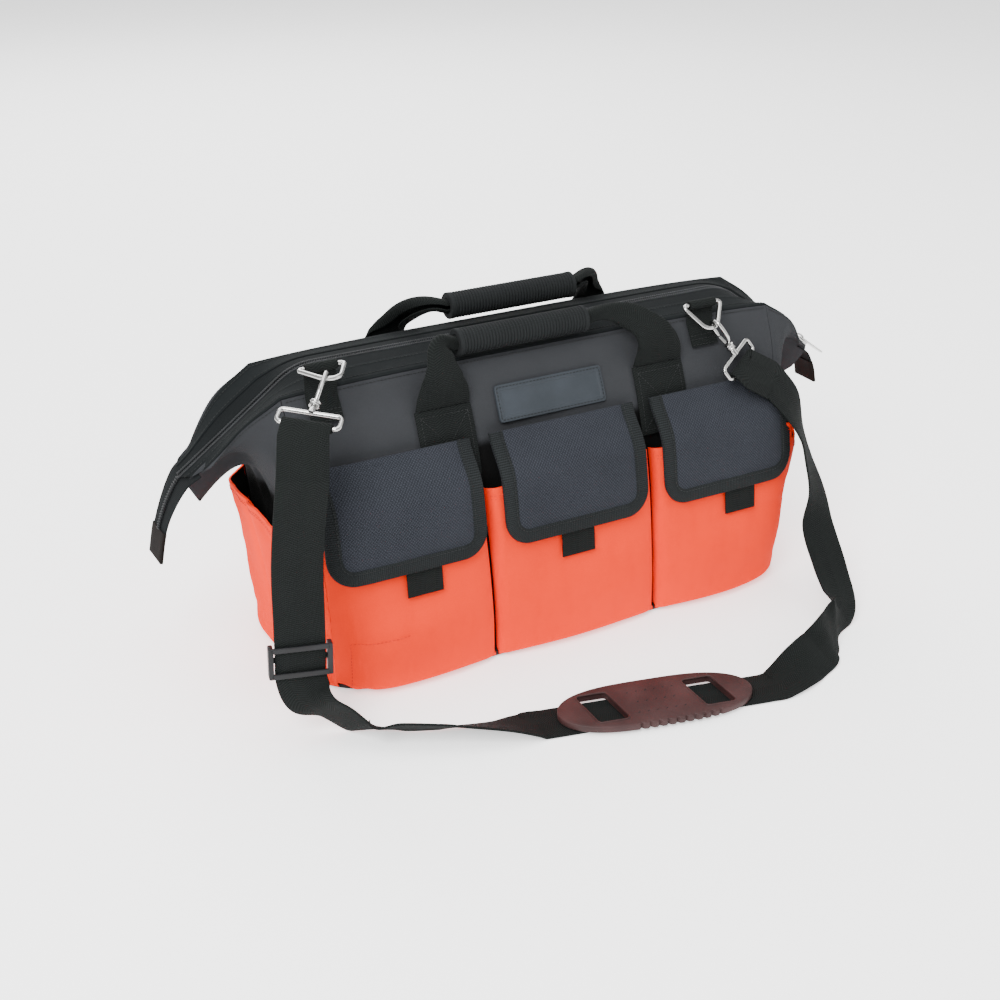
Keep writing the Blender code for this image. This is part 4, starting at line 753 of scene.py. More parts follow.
def webbing(name: str, stations: Sequence[Station], thickness: float, finish: bpy.types.Material) -> Piece:
    """Woven webbing with soft edges through stations of a centre, a half width and a face direction."""
    upper = [(-1.0, 0.0), (-0.985, 0.75), (-0.94, 1.0), (-0.5, 0.94), (0.0, 0.92), (0.5, 0.94), (0.94, 1.0),
             (0.985, 0.75)]
    section = upper + [(-a, -b) for a, b in upper]
    rings, places, run = [], [], 0.0
    for k, (centre, half, off) in enumerate(stations):
        if k:
            run += (centre - stations[k - 1][0]).length
        rings.append([centre + half * a + off * (b * thickness / 2) for a, b in section])
        places.append([(half.length * a, run) for a, b in section])
    return loft(name, rings, finish, places)


def rod(name: str, points: Sequence[Vector], radius: float | Sequence[float], finish: bpy.types.Material,
        cyclic: bool = False, sides: int = 14) -> Piece:
    """Round wire along points.

    Args:
        name: The piece's name.
        points: The wire's middle line.
        radius: Its radius, one for all or one for each point.
        finish: Its material.
        cyclic: Whether it closes on itself.
        sides: How many faces it has round it.

    Returns:
        The piece.
    """
    count = len(points)
    radii = [radius] * count if isinstance(radius, float) else list(radius)
    headings = []
    for k in range(count):
        before = points[k - 1] if cyclic or k else points[k]
        after = points[(k + 1) % count] if cyclic or k < count - 1 else points[k]
        headings.append((after - before).normalized())
    side = headings[0].orthogonal().normalized()
    rings = []
    for point, heading, size in zip(points, headings, radii):
        side = (side - heading * side.dot(heading)).normalized()
        other = heading.cross(side)
        rings.append([point + (side * math.cos(a) + other * math.sin(a)) * size
                      for a in (math.tau * j / sides for j in range(sides))])
    return loft(name, rings, finish, cyclic=cyclic, angle=60.0)


def hoop(name: str, outer: Sequence, inner: Sequence, half: float, frame: Matrix,
         finish: bpy.types.Material) -> Piece:
    """A flat plate with a hole, between two outlines with the same number of points."""
    soft = half * 0.5
    rings = []
    for one, two in zip(outer, inner):
        one, two = Vector(one), Vector(two)
        aside = (one - two).normalized() * soft
        section = [(one, soft - half), (one, half - soft), (one - aside, half), (two + aside, half),
                   (two, half - soft), (two, soft - half), (two + aside, -half), (one - aside, -half)]
        rings.append([frame @ Vector((*spot, z)) for spot, z in section])
    return loft(name, rings, finish, cyclic=True, angle=50.0)


def prism(name: str, outline: Sequence, low: float, high: float, frame: Matrix, finish: bpy.types.Material,
          bevel: float = 0.0) -> Piece:
    """An outline extruded between two heights of a frame, with its rims rounded."""
    steps = [(0.0, low), (0.0, high)]
    if bevel:
        lower = [(bevel * (1 - math.sin(a)), low + bevel * (1 - math.cos(a)))
                 for a in (0.0, 0.52, 1.05, math.pi / 2)]
        steps = lower + [(inset, low + high - z) for inset, z in reversed(lower)]
    points = [Vector(point) for point in outline]
    count = len(points)
    area = sum(one.cross(two) for one, two in zip(points, points[1:] + points[:1]))
    rings = []
    for inset, z in steps:
        ring = []
        for k, point in enumerate(points):
            tangent = (points[(k + 1) % count] - points[k - 1]).normalized()
            inward = Vector((-tangent.y, tangent.x)) * math.copysign(1, area)
            spot = point + inward * inset
            ring.append(frame @ Vector((spot.x, spot.y, z)))
        rings.append(ring)
    return loft(name, rings, finish, angle=50.0)


def spun(name: str, profile: Sequence[tuple[float, float]], frame: Matrix, finish: bpy.types.Material,
         sides: int) -> Piece:
    """A turned body from radii and heights along a frame's Z, closed at both ends."""
    rings = []
    for radius, z in profile:
        turns = [math.tau * k / sides for k in range(sides)]
        rings.append([frame @ Vector((radius * math.cos(a), radius * math.sin(a), z)) for a in turns])
    return loft(name, rings, finish)


def tubular(name: str, profile: Sequence[tuple[float, float]], frame: Matrix, finish: bpy.types.Material,
            sides: int) -> Piece:
    """A closed section of radii and heights carried once round a frame's Z, with a bore."""
    rings = []
    for k in range(sides):
        a = math.tau * k / sides
        rings.append([frame @ Vector((radius * math.cos(a), radius * math.sin(a), z))
                      for radius, z in profile])
    return loft(name, rings, finish, cyclic=True)


def divided(points: Sequence, steps: int) -> list[tuple[float, float]]:
    """A path of straight stretches, each cut into a number of steps."""
    path = []
    for one, two in zip(points, points[1:]):
        path += [(mix(one[0], two[0], share), mix(one[1], two[1], share)) for share in spread(steps)[:-1]]
    return path + [tuple(points[-1])]


def joined(name: str, *pieces: Piece) -> Piece:
    """Pieces put together as one, keeping their materials."""
    bm = bmesh.new()
    materials = []
    for piece in pieces:
        offset = len(bm.faces)
        bm.from_mesh(piece.data)
        bm.faces.ensure_lookup_table()
        for face in bm.faces[offset:]:
            look = piece.data.materials[face.material_index]
            if look not in materials:
                materials.append(look)
            face.material_index = materials.index(look)
    mesh = bpy.data.meshes.new(name)
    bm.to_mesh(mesh)
    bm.free()
    for look in materials:
        mesh.materials.append(look)
    for piece in pieces:
        bpy.data.objects.remove(piece, do_unlink=True)
    return link(name, mesh)


def settle(piece: Piece, body: str, slot: str, *nodes: str) -> Piece:
    """Let a piece ride on a body, in place of CAD nodes.

    Args:
        piece: The piece.
        body: The body that carries it.
        slot: The record's material slot that its finish comes from.
        nodes: The CAD nodes that it stands for.

    Returns:
        The piece.
    """
    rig.ride(piece, body)
    if nodes:
        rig.replaces(piece, *nodes)
    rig.slot(piece, slot)
    LOG.info("%s rides on %s, %d faces", piece.name, body, len(piece.data.polygons))
    return piece


# Repeated small pieces


class Recipe(NodeCraft):
    """A Geometry Nodes tree with named inputs that repeats a small shape along lines."""

    def __init__(self, name: str, inputs: dict[str, tuple[str, object]]) -> None:
        """Make the tree with its named inputs, each a socket type and a default."""
        super().__init__(bpy.data.node_groups.new(name, "GeometryNodeTree"))
        face = self.tree.interface
        face.new_socket("Geometry", in_out="INPUT", socket_type="NodeSocketGeometry")
        for label, (kind, value) in inputs.items():
            made = face.new_socket(label, in_out="INPUT", socket_type=kind)
            if value is not None:
                made.default_value = value
        face.new_socket("Geometry", in_out="OUTPUT", socket_type="NodeSocketGeometry")
        self.start = self.node("NodeGroupInput").outputs

    def close(self, shape: bpy.types.NodeSocket) -> None:
        """Turn what was repeated into plain faces with the input's material."""
        real = self.node("GeometryNodeRealizeInstances", sockets={0: shape})
        smoothed = self.node("GeometryNodeSetShadeSmooth", sockets={0: real.outputs[0]})
        dressed = self.node("GeometryNodeSetMaterial",
                            sockets={0: smoothed.outputs[0], "Material": self.start["Material"]})
        self.node("NodeGroupOutput", sockets={0: dressed.outputs[0]})

    def grow(self, name: str, lines: Sequence[Sequence[Vector]], values: dict[str, object]) -> Piece:
        """Run the tree along lines.

        Args:
            name: The new piece's name.
            lines: The lines to follow, each a list of points.
            values: What the named inputs are set to.

        Returns:
            A plain mesh piece.
        """
        points, edges = [], []
        for line in lines:
            start = len(points)
            points += [tuple(point) for point in line]
            edges += [(start + k, start + k + 1) for k in range(len(line) - 1)]
        mesh = bpy.data.meshes.new(name + "_line")
        mesh.from_pydata(points, edges, [])
        source = link(name + "_line", mesh)
        modifier = source.modifiers.new(name, "NODES")
        modifier.node_group = self.tree
        for item in self.tree.interface.items_tree:
            if item.in_out == "INPUT" and item.name in values:
                modifier[item.identifier] = values[item.name]
        graph = bpy.context.evaluated_depsgraph_get()
        grown = bpy.data.meshes.new_from_object(source.evaluated_get(graph))
        bpy.data.objects.remove(source, do_unlink=True)
        grown.materials.clear()
        grown.materials.append(values["Material"])
        grown.polygons.foreach_set("material_index", [0] * len(grown.polygons))
        grown.name = name
        return link(name, grown)


class SewingBox:
    """The small repeated shapes: stitches, zip coils and sleeve ribs."""

    def __init__(self) -> None:
        """Build the three trees."""
        metres = "NodeSocketFloat"
        self.stitch = Recipe("stitches", {
            "Pitch": (metres, 0.0032), "Length": (metres, 0.0025), "Radius": (metres, 0.0004),
            "Material": ("NodeSocketMaterial", None)})
        tree = self.stitch
        points = self.points_along(tree)
        bead = tree.node("GeometryNodeMeshUVSphere", sockets={"Segments": 6, "Rings": 4, "Radius": 1.0})
        turn = tree.node("FunctionNodeAlignRotationToVector", {"axis": "Z"},
                         {"Vector": points.outputs["Tangent"]})
        half = tree.node("ShaderNodeMath", {"operation": "MULTIPLY"}, {0: tree.start["Length"], 1: 0.5})
        size = tree.node("ShaderNodeCombineXYZ",
                         sockets={0: tree.start["Radius"], 1: tree.start["Radius"], 2: half.outputs[0]})
        tree.close(self.copies(tree, points, bead, turn, size.outputs[0]))

        self.coil = Recipe("zip_coils", {
            "Pitch": (metres, 0.0021), "Reach": (metres, 0.0040), "Rise": (metres, 0.0018),
            "Width": (metres, 0.0012), "Material": ("NodeSocketMaterial", None)})
        tree = self.coil
        points = self.points_along(tree)
        bead = tree.node("GeometryNodeMeshUVSphere", sockets={"Segments": 8, "Rings": 4, "Radius": 0.5})
        turn = tree.node("FunctionNodeAxesToRotation", {"primary_axis": "Z", "secondary_axis": "X"},
                         {"Primary Axis": points.outputs["Tangent"], "Secondary Axis": (0, 1, 0)})
        size = tree.node("ShaderNodeCombineXYZ",
                         sockets={0: tree.start["Reach"], 1: tree.start["Rise"], 2: tree.start["Width"]})
        tree.close(self.copies(tree, points, bead, turn, size.outputs[0]))

        self.rib = Recipe("sleeve_ribs", {
            "Pitch": (metres, 0.0028), "Sleeve radius": (metres, 0.0096), "Rib radius": (metres, 0.0014),
            "Material": ("NodeSocketMaterial", None)})
        tree = self.rib
        points = self.points_along(tree)
        hoop = tree.node("GeometryNodeCurvePrimitiveCircle",
                         sockets={"Resolution": 28, "Radius": tree.start["Sleeve radius"]})
        wire = tree.node("GeometryNodeCurvePrimitiveCircle",
                         sockets={"Resolution": 6, "Radius": tree.start["Rib radius"]})
        ring = tree.node("GeometryNodeCurveToMesh",
                         sockets={"Curve": hoop.outputs[0], "Profile Curve": wire.outputs[0]})
        turn = tree.node("FunctionNodeAlignRotationToVector", {"axis": "Z"},
                         {"Vector": points.outputs["Tangent"]})
        tree.close(self.copies(tree, points, ring, turn, (1, 1, 1)))

    @staticmethod
    def points_along(tree: Recipe) -> bpy.types.Node:
        """Points at the pitch along the lines given."""
        curve = tree.node("GeometryNodeMeshToCurve", sockets={"Mesh": tree.start["Geometry"]})
        return tree.node("GeometryNodeCurveToPoints", {"mode": "LENGTH"},
                         {"Curve": curve.outputs[0], "Length": tree.start["Pitch"]})

    @staticmethod
    def copies(tree: Recipe, points: bpy.types.Node, shape: bpy.types.Node, turn: bpy.types.Node,
               size) -> bpy.types.NodeSocket:
        """A copy of a shape at every point."""
        made = tree.node("GeometryNodeInstanceOnPoints", sockets={
            "Points": points.outputs["Points"], "Instance": shape.outputs[0],
            "Rotation": turn.outputs[0], "Scale": size})
        return made.outputs[0]

    def sew(self, name: str, lines: Sequence[Sequence[Vector]], thread: bpy.types.Material) -> Piece:
        """Stitches along lines."""
        values = {"Pitch": 0.0032, "Length": 0.0026, "Radius": 0.00042, "Material": thread}
        return self.stitch.grow(name, lines, values)


# The fabric body's surface


class Side(Enum):
    """The four sides of the bag, counterclockwise from above."""

    FRONT = "front"
    RIGHT = "right"
    BACK = "back"
    LEFT = "left"

    @property
    def along(self) -> Vector:
        """The direction along the side."""
        return {"front": ALONG_X, "right": ALONG_Y, "back": -ALONG_X, "left": -ALONG_Y}[self.value]

    @property
    def out(self) -> Vector:
        """The direction out of the bag."""
        return {"front": -ALONG_Y, "right": ALONG_X, "back": ALONG_Y, "left": -ALONG_X}[self.value]

    @property
    def is_end(self) -> bool:
        """Whether it is one of the two short sides."""
        return self in (Side.LEFT, Side.RIGHT)

    def turned(self, steps: int) -> "Side":
        """The side a number of steps round."""
        order = list(Side)
        return order[(order.index(self) + steps) % len(order)]


@dataclass(frozen=True)
class Wall:
    """The outer surface of the fabric: a loft from the rounded base to the ridge and its ears."""

    length: float = 0.452
    depth: float = 0.184
    corner: float = 0.060
    foot_z: float = 0.0053
    rise: float = 0.100
    seam_half: float = 0.232
    front_seam: tuple[float, float] = (-0.040, 0.250)
    back_seam: tuple[float, float] = (0.030, 0.256)
    corner_drop: float = 0.004
    front_shoulder: tuple[float, float] = (0.043, 0.060)
    back_shoulder: tuple[float, float] = (0.050, 0.058)
    crease: tuple[float, float] = (0.075, 0.077)
    ear_reach: float = 0.071
    ear_tip_z: float = 0.15807
    ear_seam: tuple = (
        (0.00, 0.84, 0.00, 1.00), (0.12, 1.00, 0.40, 0.70), (0.32, 0.80, 0.62, 0.56),
        (0.62, 0.42, 0.92, 0.22), (1.00, 0.00, 1.00, 0.00))

    def half(self, side: Side) -> float:
        """Half the length of a side."""
        return (self.depth if side.is_end else self.length) / 2

    def base_point(self, side: Side, s: float, grow: float = 0.0) -> Vector:
        """The base's outline at share s of a side, from -1 to 1."""
        half = self.half(side)
        other = self.half(side.turned(1))
        straight = half - self.corner
        run = abs(s) * (straight + self.corner * math.pi / 4)
        sign = math.copysign(1, s)
        if run <= straight:
            return side.along * sign * run + side.out * (other + grow)
        angle = (run - straight) / self.corner
        radius = self.corner + grow
        away = straight + radius * math.sin(angle)
        return side.along * sign * away + side.out * (other - self.corner + radius * math.cos(angle))

    def faces_front(self, side: Side, s: float) -> bool:
        """Whether share s of a side lies in the front half of the bag."""
        return side is Side.FRONT or (side is not Side.BACK and side.along.y * s < 0)

    @lru_cache(maxsize=None)
    def ear_table(self) -> tuple:
        """The ear's seam as a fine table of share, reach, distance from the middle and drop."""
        mirrored = [(-a, b, -c, d) for a, b, c, d in self.ear_seam[:0:-1]] + list(self.ear_seam)
        start = len(self.ear_seam) - 1
        return tuple(tuple(row) for row in through(mirrored, 8)[start * 8:])

    def ear_shares(self, share: float) -> tuple[float, float, float]:
        """Reach, distance from the middle and drop of the ear's seam at a side share."""
        table = self.ear_table()
        for (near, *one), (far, *two) in zip(table, table[1:]):
            if share <= far:
                blend = min(max((share - near) / (far - near), 0.0), 1.0)
                return tuple(mix(first, last, blend) for first, last in zip(one, two))
        return tuple(table[-1][1:])

    def top(self, side: Side, s: float) -> Vector:
        """The seam at the top of a side."""
        seam_y, seam_z = self.front_seam if self.faces_front(side, s) else self.back_seam
        if not side.is_end:
            return Vector((side.along.x * self.seam_half * s, seam_y, seam_z - self.corner_drop * s**4))
        reach, aside, drop = self.ear_shares(abs(s))
        height = mix(seam_z - self.corner_drop, self.ear_tip_z, drop)
        return Vector((side.out.x * (self.seam_half + self.ear_reach * reach), seam_y * aside, height))

    def shoulder(self, side: Side, s: float) -> Vector:
        """The pull that rounds the wall into its top seam."""
        front = self.faces_front(side, s)
        reach, rise = self.front_shoulder if front else self.back_shoulder
        corner = Vector((0, -reach if front else reach, -rise))
        if not side.is_end:
            return corner
        crease = -side.out * self.crease[0] + UP * self.crease[1]
        return crease.lerp(corner, smooth(abs(s)))

    @lru_cache(maxsize=None)
    def point(self, side: Side, s: float, t: float) -> Vector:
        """The surface at share s along a side and t from the base to the top seam."""
        foot = self.base_point(side, s) + UP * self.foot_z
        top = self.top(side, s)
        rise = foot + UP * self.rise
        pull = top + self.shoulder(side, s)
        u = 1 - t
        return foot * u**3 + rise * 3 * u**2 * t + pull * 3 * u * t**2 + top * t**3

    def own_normal(self, side: Side, s: float, t: float) -> Vector:
        """The outward normal from differences that stay on the side."""
        back, ahead = max(s - NUDGE, -1), min(s + NUDGE, 1)
        low, high = max(t - NUDGE, 0), min(t + NUDGE, 1)
        across = self.point(side, ahead, t) - self.point(side, back, t)
        upward = self.point(side, s, high) - self.point(side, s, low)
        return across.cross(upward).normalized()

    @lru_cache(maxsize=None)
    def normal(self, side: Side, s: float, t: float) -> Vector:
        """The outward normal, shared by two sides where they meet."""
        t = max(t, 0.0)
        own = self.own_normal(side, s, t)
        if abs(s) > 1 - 2 * NUDGE:
            own = (own + self.own_normal(side.turned(1 if s > 0 else -1), -s, t)).normalized()
        return own

    def upward(self, side: Side, s: float, t: float) -> Vector:
        """The direction up the wall."""
        return (self.point(side, s, t) - self.point(side, s, t - NUDGE)).normalized()

    def off(self, side: Side, s: float, t: float, distance: float) -> Vector:
        """A point at a distance outside the wall."""
        return self.point(side, s, t) + self.normal(side, s, t) * distance

    @lru_cache(maxsize=None)
    def shares(self, side: Side, place: float, height: float) -> tuple[float, float]:
        """The shares s and t where the wall is at a place along its side and a height."""
        half, scale = self.half(side), self.front_seam[1]
        s, t = place / half, height / scale
        for _ in range(30):
            here = self.point(side, s, t)
            s += (place - here.dot(side.along)) / half
            t += (height - here.z) / scale
        return s, t

    def at(self, side: Side, place: float, height: float, distance: float) -> Vector:
        """A point outside the wall, by its place along the side and its height."""
        return self.off(side, *self.shares(side, place, height), distance)

    def share_at_height(self, side: Side, s: float, height: float) -> float:
        """The share t where a side is at a height, below 0 under the wall's foot."""
        if height < self.foot_z:
            return (height - self.foot_z) / (3 * self.rise)
        low, high = 0.0, 1.0
        for _ in range(30):
            middle = (low + high) / 2
            if self.point(side, s, middle).z < height:
                low = middle
            else:
                high = middle
        return low

    def columns(self, side: Side, straight_steps: int, corner_steps: int) -> list[float]:
        """Shares along a side, closer together round its corners, just short of both ends."""
        straight = self.half(side) - self.corner
        whole = straight + self.corner * math.pi / 4
        turn, edge = straight / whole, 1 - GAP / whole
        middle = [mix(-turn, turn, share) for share in spread(straight_steps)]
        corner = [mix(turn, edge, share) for share in spread(corner_steps)][1:]
        return [-share for share in reversed(corner)] + middle + corner


WALL = Wall()


@dataclass
class Bench:
    """What every sub-assembly is made with."""

    finishes: Finishes = field(default_factory=Finishes)
    box: SewingBox = field(default_factory=SewingBox)


# Body


@dataclass
class Body:
    """Base, board and the four fabric walls."""

    bench: Bench
    wall_thickness: float = 0.0028
    end_thickness: float = 0.0020
    ear_turn: tuple[float, float] = (0.6, 0.48)
    rows: int = 40
    seam_roll: float = 0.0016
    seam_width: float = 0.006
    slack_depth: float = 0.0022

    def turned_out(self, side: Side, s: float, t: float) -> float:
        """How far the thickness turns to the outside, under an ear."""
        if not side.is_end:
            return 0.0
        start, width = self.ear_turn
        return smooth((t - start) / (1 - start)) * smooth(2 - abs(s) / width)

    def panel(self, name: str, side: Side) -> None:
        """One wall, rolled in at its corner seams and a little slack between them."""
        thickness = self.end_thickness if side.is_end else self.wall_thickness
        half = WALL.half(side)
        columns = WALL.columns(side, 18 if side.is_end else 60, 12)
        outer, inner, places = [], [], []
        for s in columns:
            front, back, place = [], [], []
            for t in spread(self.rows):
                here = WALL.point(side, s, t)
                edge = (1 - abs(s)) * half
                roll = self.seam_roll * (1 - smooth(edge / self.seam_width)) * smooth((1 - t) / 0.08)
                fall = slack(here, depth=self.slack_depth, size=0.07,
                             seed=3.0) * smooth((1 - t) / 0.12) * smooth(edge / 0.02)
                lift = thickness * self.turned_out(side, s, t) - roll + fall
                front.append(WALL.off(side, s, t, lift))
                back.append(WALL.off(side, s, t, lift - thickness))
                place.append((s * half, t * 0.27))
            outer.append(front)
            inner.append(back)
            places.append(place)
        piece = shell(name + "_cloth", outer, inner, self.bench.finishes.charcoal[side], places)
        settle(piece, "bag", "charcoal_fabric", name)

    def base(self) -> None:
        """The black base with a rounded rim; the board inside stays the imported one."""
        outline = []
        for side in Side:
            outline += [WALL.base_point(side, share, 0.0035).xy for share in WALL.columns(side, 8, 8)]
        cover = prism("base_cover_rim", outline, 0.0, 0.005, Matrix.Identity(4),
                      self.bench.finishes.base, 0.0015)
        settle(cover, "bag", "base_moulding", "base_cover")

    def seams(self) -> None:
        """Topstitching beside the top seams of the walls."""
        lines = []
        for side in Side:
            shares = [share for share in WALL.columns(side, 24, 12) if abs(share) < 0.985]
            if side.is_end:
                halves = ([s for s in shares if s < -0.22], [s for s in shares if s > 0.22])
            else:
                halves = (shares,)
            for part in halves:
                line = []
                for s in part:
                    t = 1 - 0.012
                    lift = self.turned_out(side, s, t) * self.end_thickness
                    line.append(WALL.off(side, s, t, lift + 0.0002))
                lines.append(line)
        piece = self.bench.box.sew("wall_stitches", lines, self.bench.finishes.thread)
        settle(piece, "bag", "black_webbing")

    def build(self, nodes: dict[str, Piece]) -> None:
        """Make the walls, the base and their stitches."""
        for name, side in (("front_panel", Side.FRONT), ("back_panel", Side.BACK),
                           ("end_panel_left", Side.LEFT), ("end_panel_right", Side.RIGHT)):
            self.panel(name, side)
        self.base()
        self.seams()
        nodes["base_board"].data.materials.clear()
        nodes["base_board"].data.materials.append(self.bench.finishes.board)


# Zip


@dataclass
class Zip:
    """The coil zip along the ridge, from ear to ear."""

    bench: Bench
    y: float = -0.004
    z: float = 0.258
    flat_half: float = 0.190
    bend_radius: float = 0.050
    slope: float = math.radians(36)
    half_length: float = 0.33095
    teeth_reach: float = 0.0040
    slit: float = 0.0006
    half_thickness: float = 0.0016
    fabric: float = 0.0015
    end_share: float = 0.2023
    facing_share: float = 0.60
    tab_width: float = 0.028
    tuck: float = 0.014
    slider_length: float = 0.019
    slider_width: float = 0.011
    plate: float = 0.0016
    bar: float = 0.0018
    pull_length: float = 0.034
    pull_width: float = 0.010

    def point(self, u: float) -> Vector:
        """The middle line of the teeth at a distance u from the middle."""
        sign = math.copysign(1, u)
        past = abs(u) - self.flat_half
        if past <= 0:
            return Vector((u, self.y, self.z))
        angle = min(past / self.bend_radius, self.slope)
        run = past - angle * self.bend_radius
        x = self.flat_half + self.bend_radius * math.sin(angle) + run * math.cos(angle)
        z = self.z - self.bend_radius * (1 - math.cos(angle)) - run * math.sin(angle)
        return Vector((sign * x, self.y, z))

    def up(self, u: float) -> Vector:
        """The direction square to the teeth, away from the bag."""
        angle = min(max(abs(u) - self.flat_half, 0) / self.bend_radius, self.slope)
        return Vector((math.copysign(math.sin(angle), u), 0, math.cos(angle)))

    def stations(self, edge: Side) -> list[tuple[Side, float, float]]:
        """Where a tape is sewn to the body and its share of the zip, from left to right."""
        bend = self.flat_half + self.bend_radius * self.slope
        corner = (bend + (WALL.seam_half - self.point(bend).x) / math.cos(self.slope)) / self.half_length
        ear = [share for share in WALL.columns(Side.RIGHT, 30, 10) if share >= self.end_share]
        ends = {}
        for side in (Side.LEFT, Side.RIGHT):
            sign = 1 if WALL.faces_front(side, 1) == (edge is Side.FRONT) else -1
            shares = [mix(corner, 1, (1 - share) / (1 - self.end_share)) for share in ear]
            ends[side] = [(side, sign * share, side.out.x * q) for share, q in zip(ear, shares)]
        middle = [(edge, s, s * edge.along.x * corner) for s in WALL.columns(edge, 50, 8)]
        middle.sort(key=lambda station: station[2])
        return ends[Side.LEFT] + middle + list(reversed(ends[Side.RIGHT]))

    def skin(self, edge: Side, profile: Sequence[tuple[float, float]]) -> Grid:
        """Rows of points over the tape, by shares across it from the seam to the teeth and heights off it."""
        sign = -1 if edge is Side.FRONT else 1
        grid = []
        for side, s, q in self.stations(edge):
            rise = WALL.upward(side, s, 1)
            seam = WALL.point(side, s, 1) + rise * GAP
            u = q * self.half_length
            above = self.up(u)
            teeth = self.point(u) + ALONG_Y * sign * (self.teeth_reach + GAP) - above * self.fabric / 2
            grid.append([seam.lerp(teeth, r) + rise.lerp(above, r).normalized() * lift
                         for r, lift in profile])
        return grid

    def tape(self, edge: Side) -> None:
        """The ribbed tape and the folded facing that it is sewn under."""
        name = "zip_tape_" + edge.value
        span = self.facing_share
        half, run = self.fabric, 0.018
        folded = [(0, 0.0004), (0.012, 0.0019), (0.05, 0.0021), (0.10, 0.0017), (0.30, 0.0016),
                  (span - 0.10, 0.0017),
                  (span - 0.03, 0.0021), (span, 0.0017), (span + 0.006, 0.0011)]
        under = [(r, 0.0002) for r, _ in folded]
        flat = [(r, half * 0.6) for r in (0.50, 0.60, 0.70, 0.80, 0.90, 0.98, 1.0)]
        below = [(r, 0.0) for r, _ in flat]
        lengths = [q * self.half_length for _, _, q in self.stations(edge)]
        finishes = self.bench.finishes
        facing = shell(name + "_facing", self.skin(edge, folded), self.skin(edge, under), finishes.facing,
                       [[(r * run, u) for r, _ in folded] for u in lengths])
        strip = shell(name + "_strip", self.skin(edge, flat), self.skin(edge, below), finishes.tape,
                      [[(r * run, u) for r, _ in flat] for u in lengths])
        settle(facing, "bag", "charcoal_fabric", name)
        settle(strip, "bag", "charcoal_fabric", name)
        rows = [self.skin(edge, [(r, 0.0019)]) for r in (0.14, span - 0.08)]
        lines = [[row[0] for row in grid] for grid in rows]
        settle(self.bench.box.sew(name + "_stitches", lines, finishes.thread), "bag", "black_webbing")

    def teeth(self, edge: Side) -> None:
        """One row of coil with the cord that it is wound on."""
        sign = -1 if edge is Side.FRONT else 1
        pitch = 0.0021
        start = -self.half_length + (0.001 if edge is Side.FRONT else 0.001 + pitch / 2)
        count = 420
        middle = (self.slit + self.teeth_reach) / 2
        ends = [mix(start, self.half_length - 0.001, share) for share in spread(count)]
        line = [self.point(u) + ALONG_Y * sign * middle for u in ends]
        values = {"Pitch": pitch, "Reach": self.teeth_reach - self.slit, "Rise": 2 * self.half_thickness,
                  "Width": 0.0015, "Material": self.bench.finishes.coil}
        coil = self.bench.box.coil.grow("coil", [line], values)
        cord = rod("cord", [self.point(u) + ALONG_Y * sign * (self.teeth_reach - 0.0012) for u in ends[::4]],
                   0.0010, self.bench.finishes.coil, sides=8)
        settle(joined("zip_coil_" + edge.value, coil, cord), "bag", "zip_teeth", "zip_teeth_" + edge.value)

    def slider_frame(self) -> Matrix:
        """The slider's frame at rest, X down the slope and Z off the teeth."""
        u = self.half_length - 0.006
        return frame_of(self.point(u), self.point(u) - self.point(u - 0.004), ALONG_Y)

    def slider(self) -> None:
        """Two tapered plates joined by a neck, with an arched bridge."""
        frame, nickel = self.slider_frame(), self.bench.finishes.nickel
        half, wide = self.slider_length / 2, self.slider_width / 2
        corners = [(-half, -wide * 0.72), (half, -wide), (half, wide), (-half, wide * 0.72)]
        outline = rounded(corners, [0.0018, 0.003, 0.003, 0.0018], 6)
        inside = self.half_thickness + GAP
        upper = prism("upper", outline, inside, inside + self.plate, frame, nickel, 0.0005)
        lower = prism("lower", outline, -inside - self.plate, -inside, frame, nickel, 0.0005)
        neck = prism("neck", [(x * half, y * 0.0004) for x, y in ((-1, -1), (0.6, -1), (0.6, 1), (-1, 1))],
                     -inside - 0.0005, inside + 0.0005, frame, nickel)
        reach = 0.0046
        low, high = inside + self.plate * 0.5, inside + self.plate + self.bar + 2 * GAP + 0.0008
        arch = through([(-reach, 0, low), (-reach, 0, mix(low, high, 0.7)), (-reach / 2, 0, high),
                        (reach / 2, 0, high), (reach, 0, mix(low, high, 0.7)), (reach, 0, low)], 6)
        bridge = rod("bridge", [frame @ point for point in arch], 0.0008, nickel)
        settle(joined("zip_slider_body", upper, lower, neck, bridge), "slider", "nickel", "zip_slider")

    def pull(self) -> None:
        """A flat pull with a slot at the bridge and a rounded tip."""
        frame = self.slider_frame()
        axis = frame @ Vector((0, 0, self.half_thickness + GAP + self.plate + self.bar / 2 + GAP))
        placed = Matrix.Translation(axis) @ frame.to_3x3().to_4x4()
        half, back = self.pull_width / 2, -self.bar / 2
        outer = rounded([(back, -half * 0.8), (self.pull_length, -half), (self.pull_length, half),
                         (back, half * 0.8)],
                        [half * 0.3, half * 0.85, half * 0.85, half * 0.3], 8)
        inner = rounded([(self.bar / 2, -0.0016), (0.0068, -0.0016), (0.0068, 0.0016),
                         (self.bar / 2, 0.0016)],
                        [0.0004, 0.0012, 0.0012, 0.0004], 8)
        plate = hoop("zip_pull_plate", outer, inner, 0.0007, placed, self.bench.finishes.nickel)
        settle(plate, "pull", "nickel", "zip_pull")

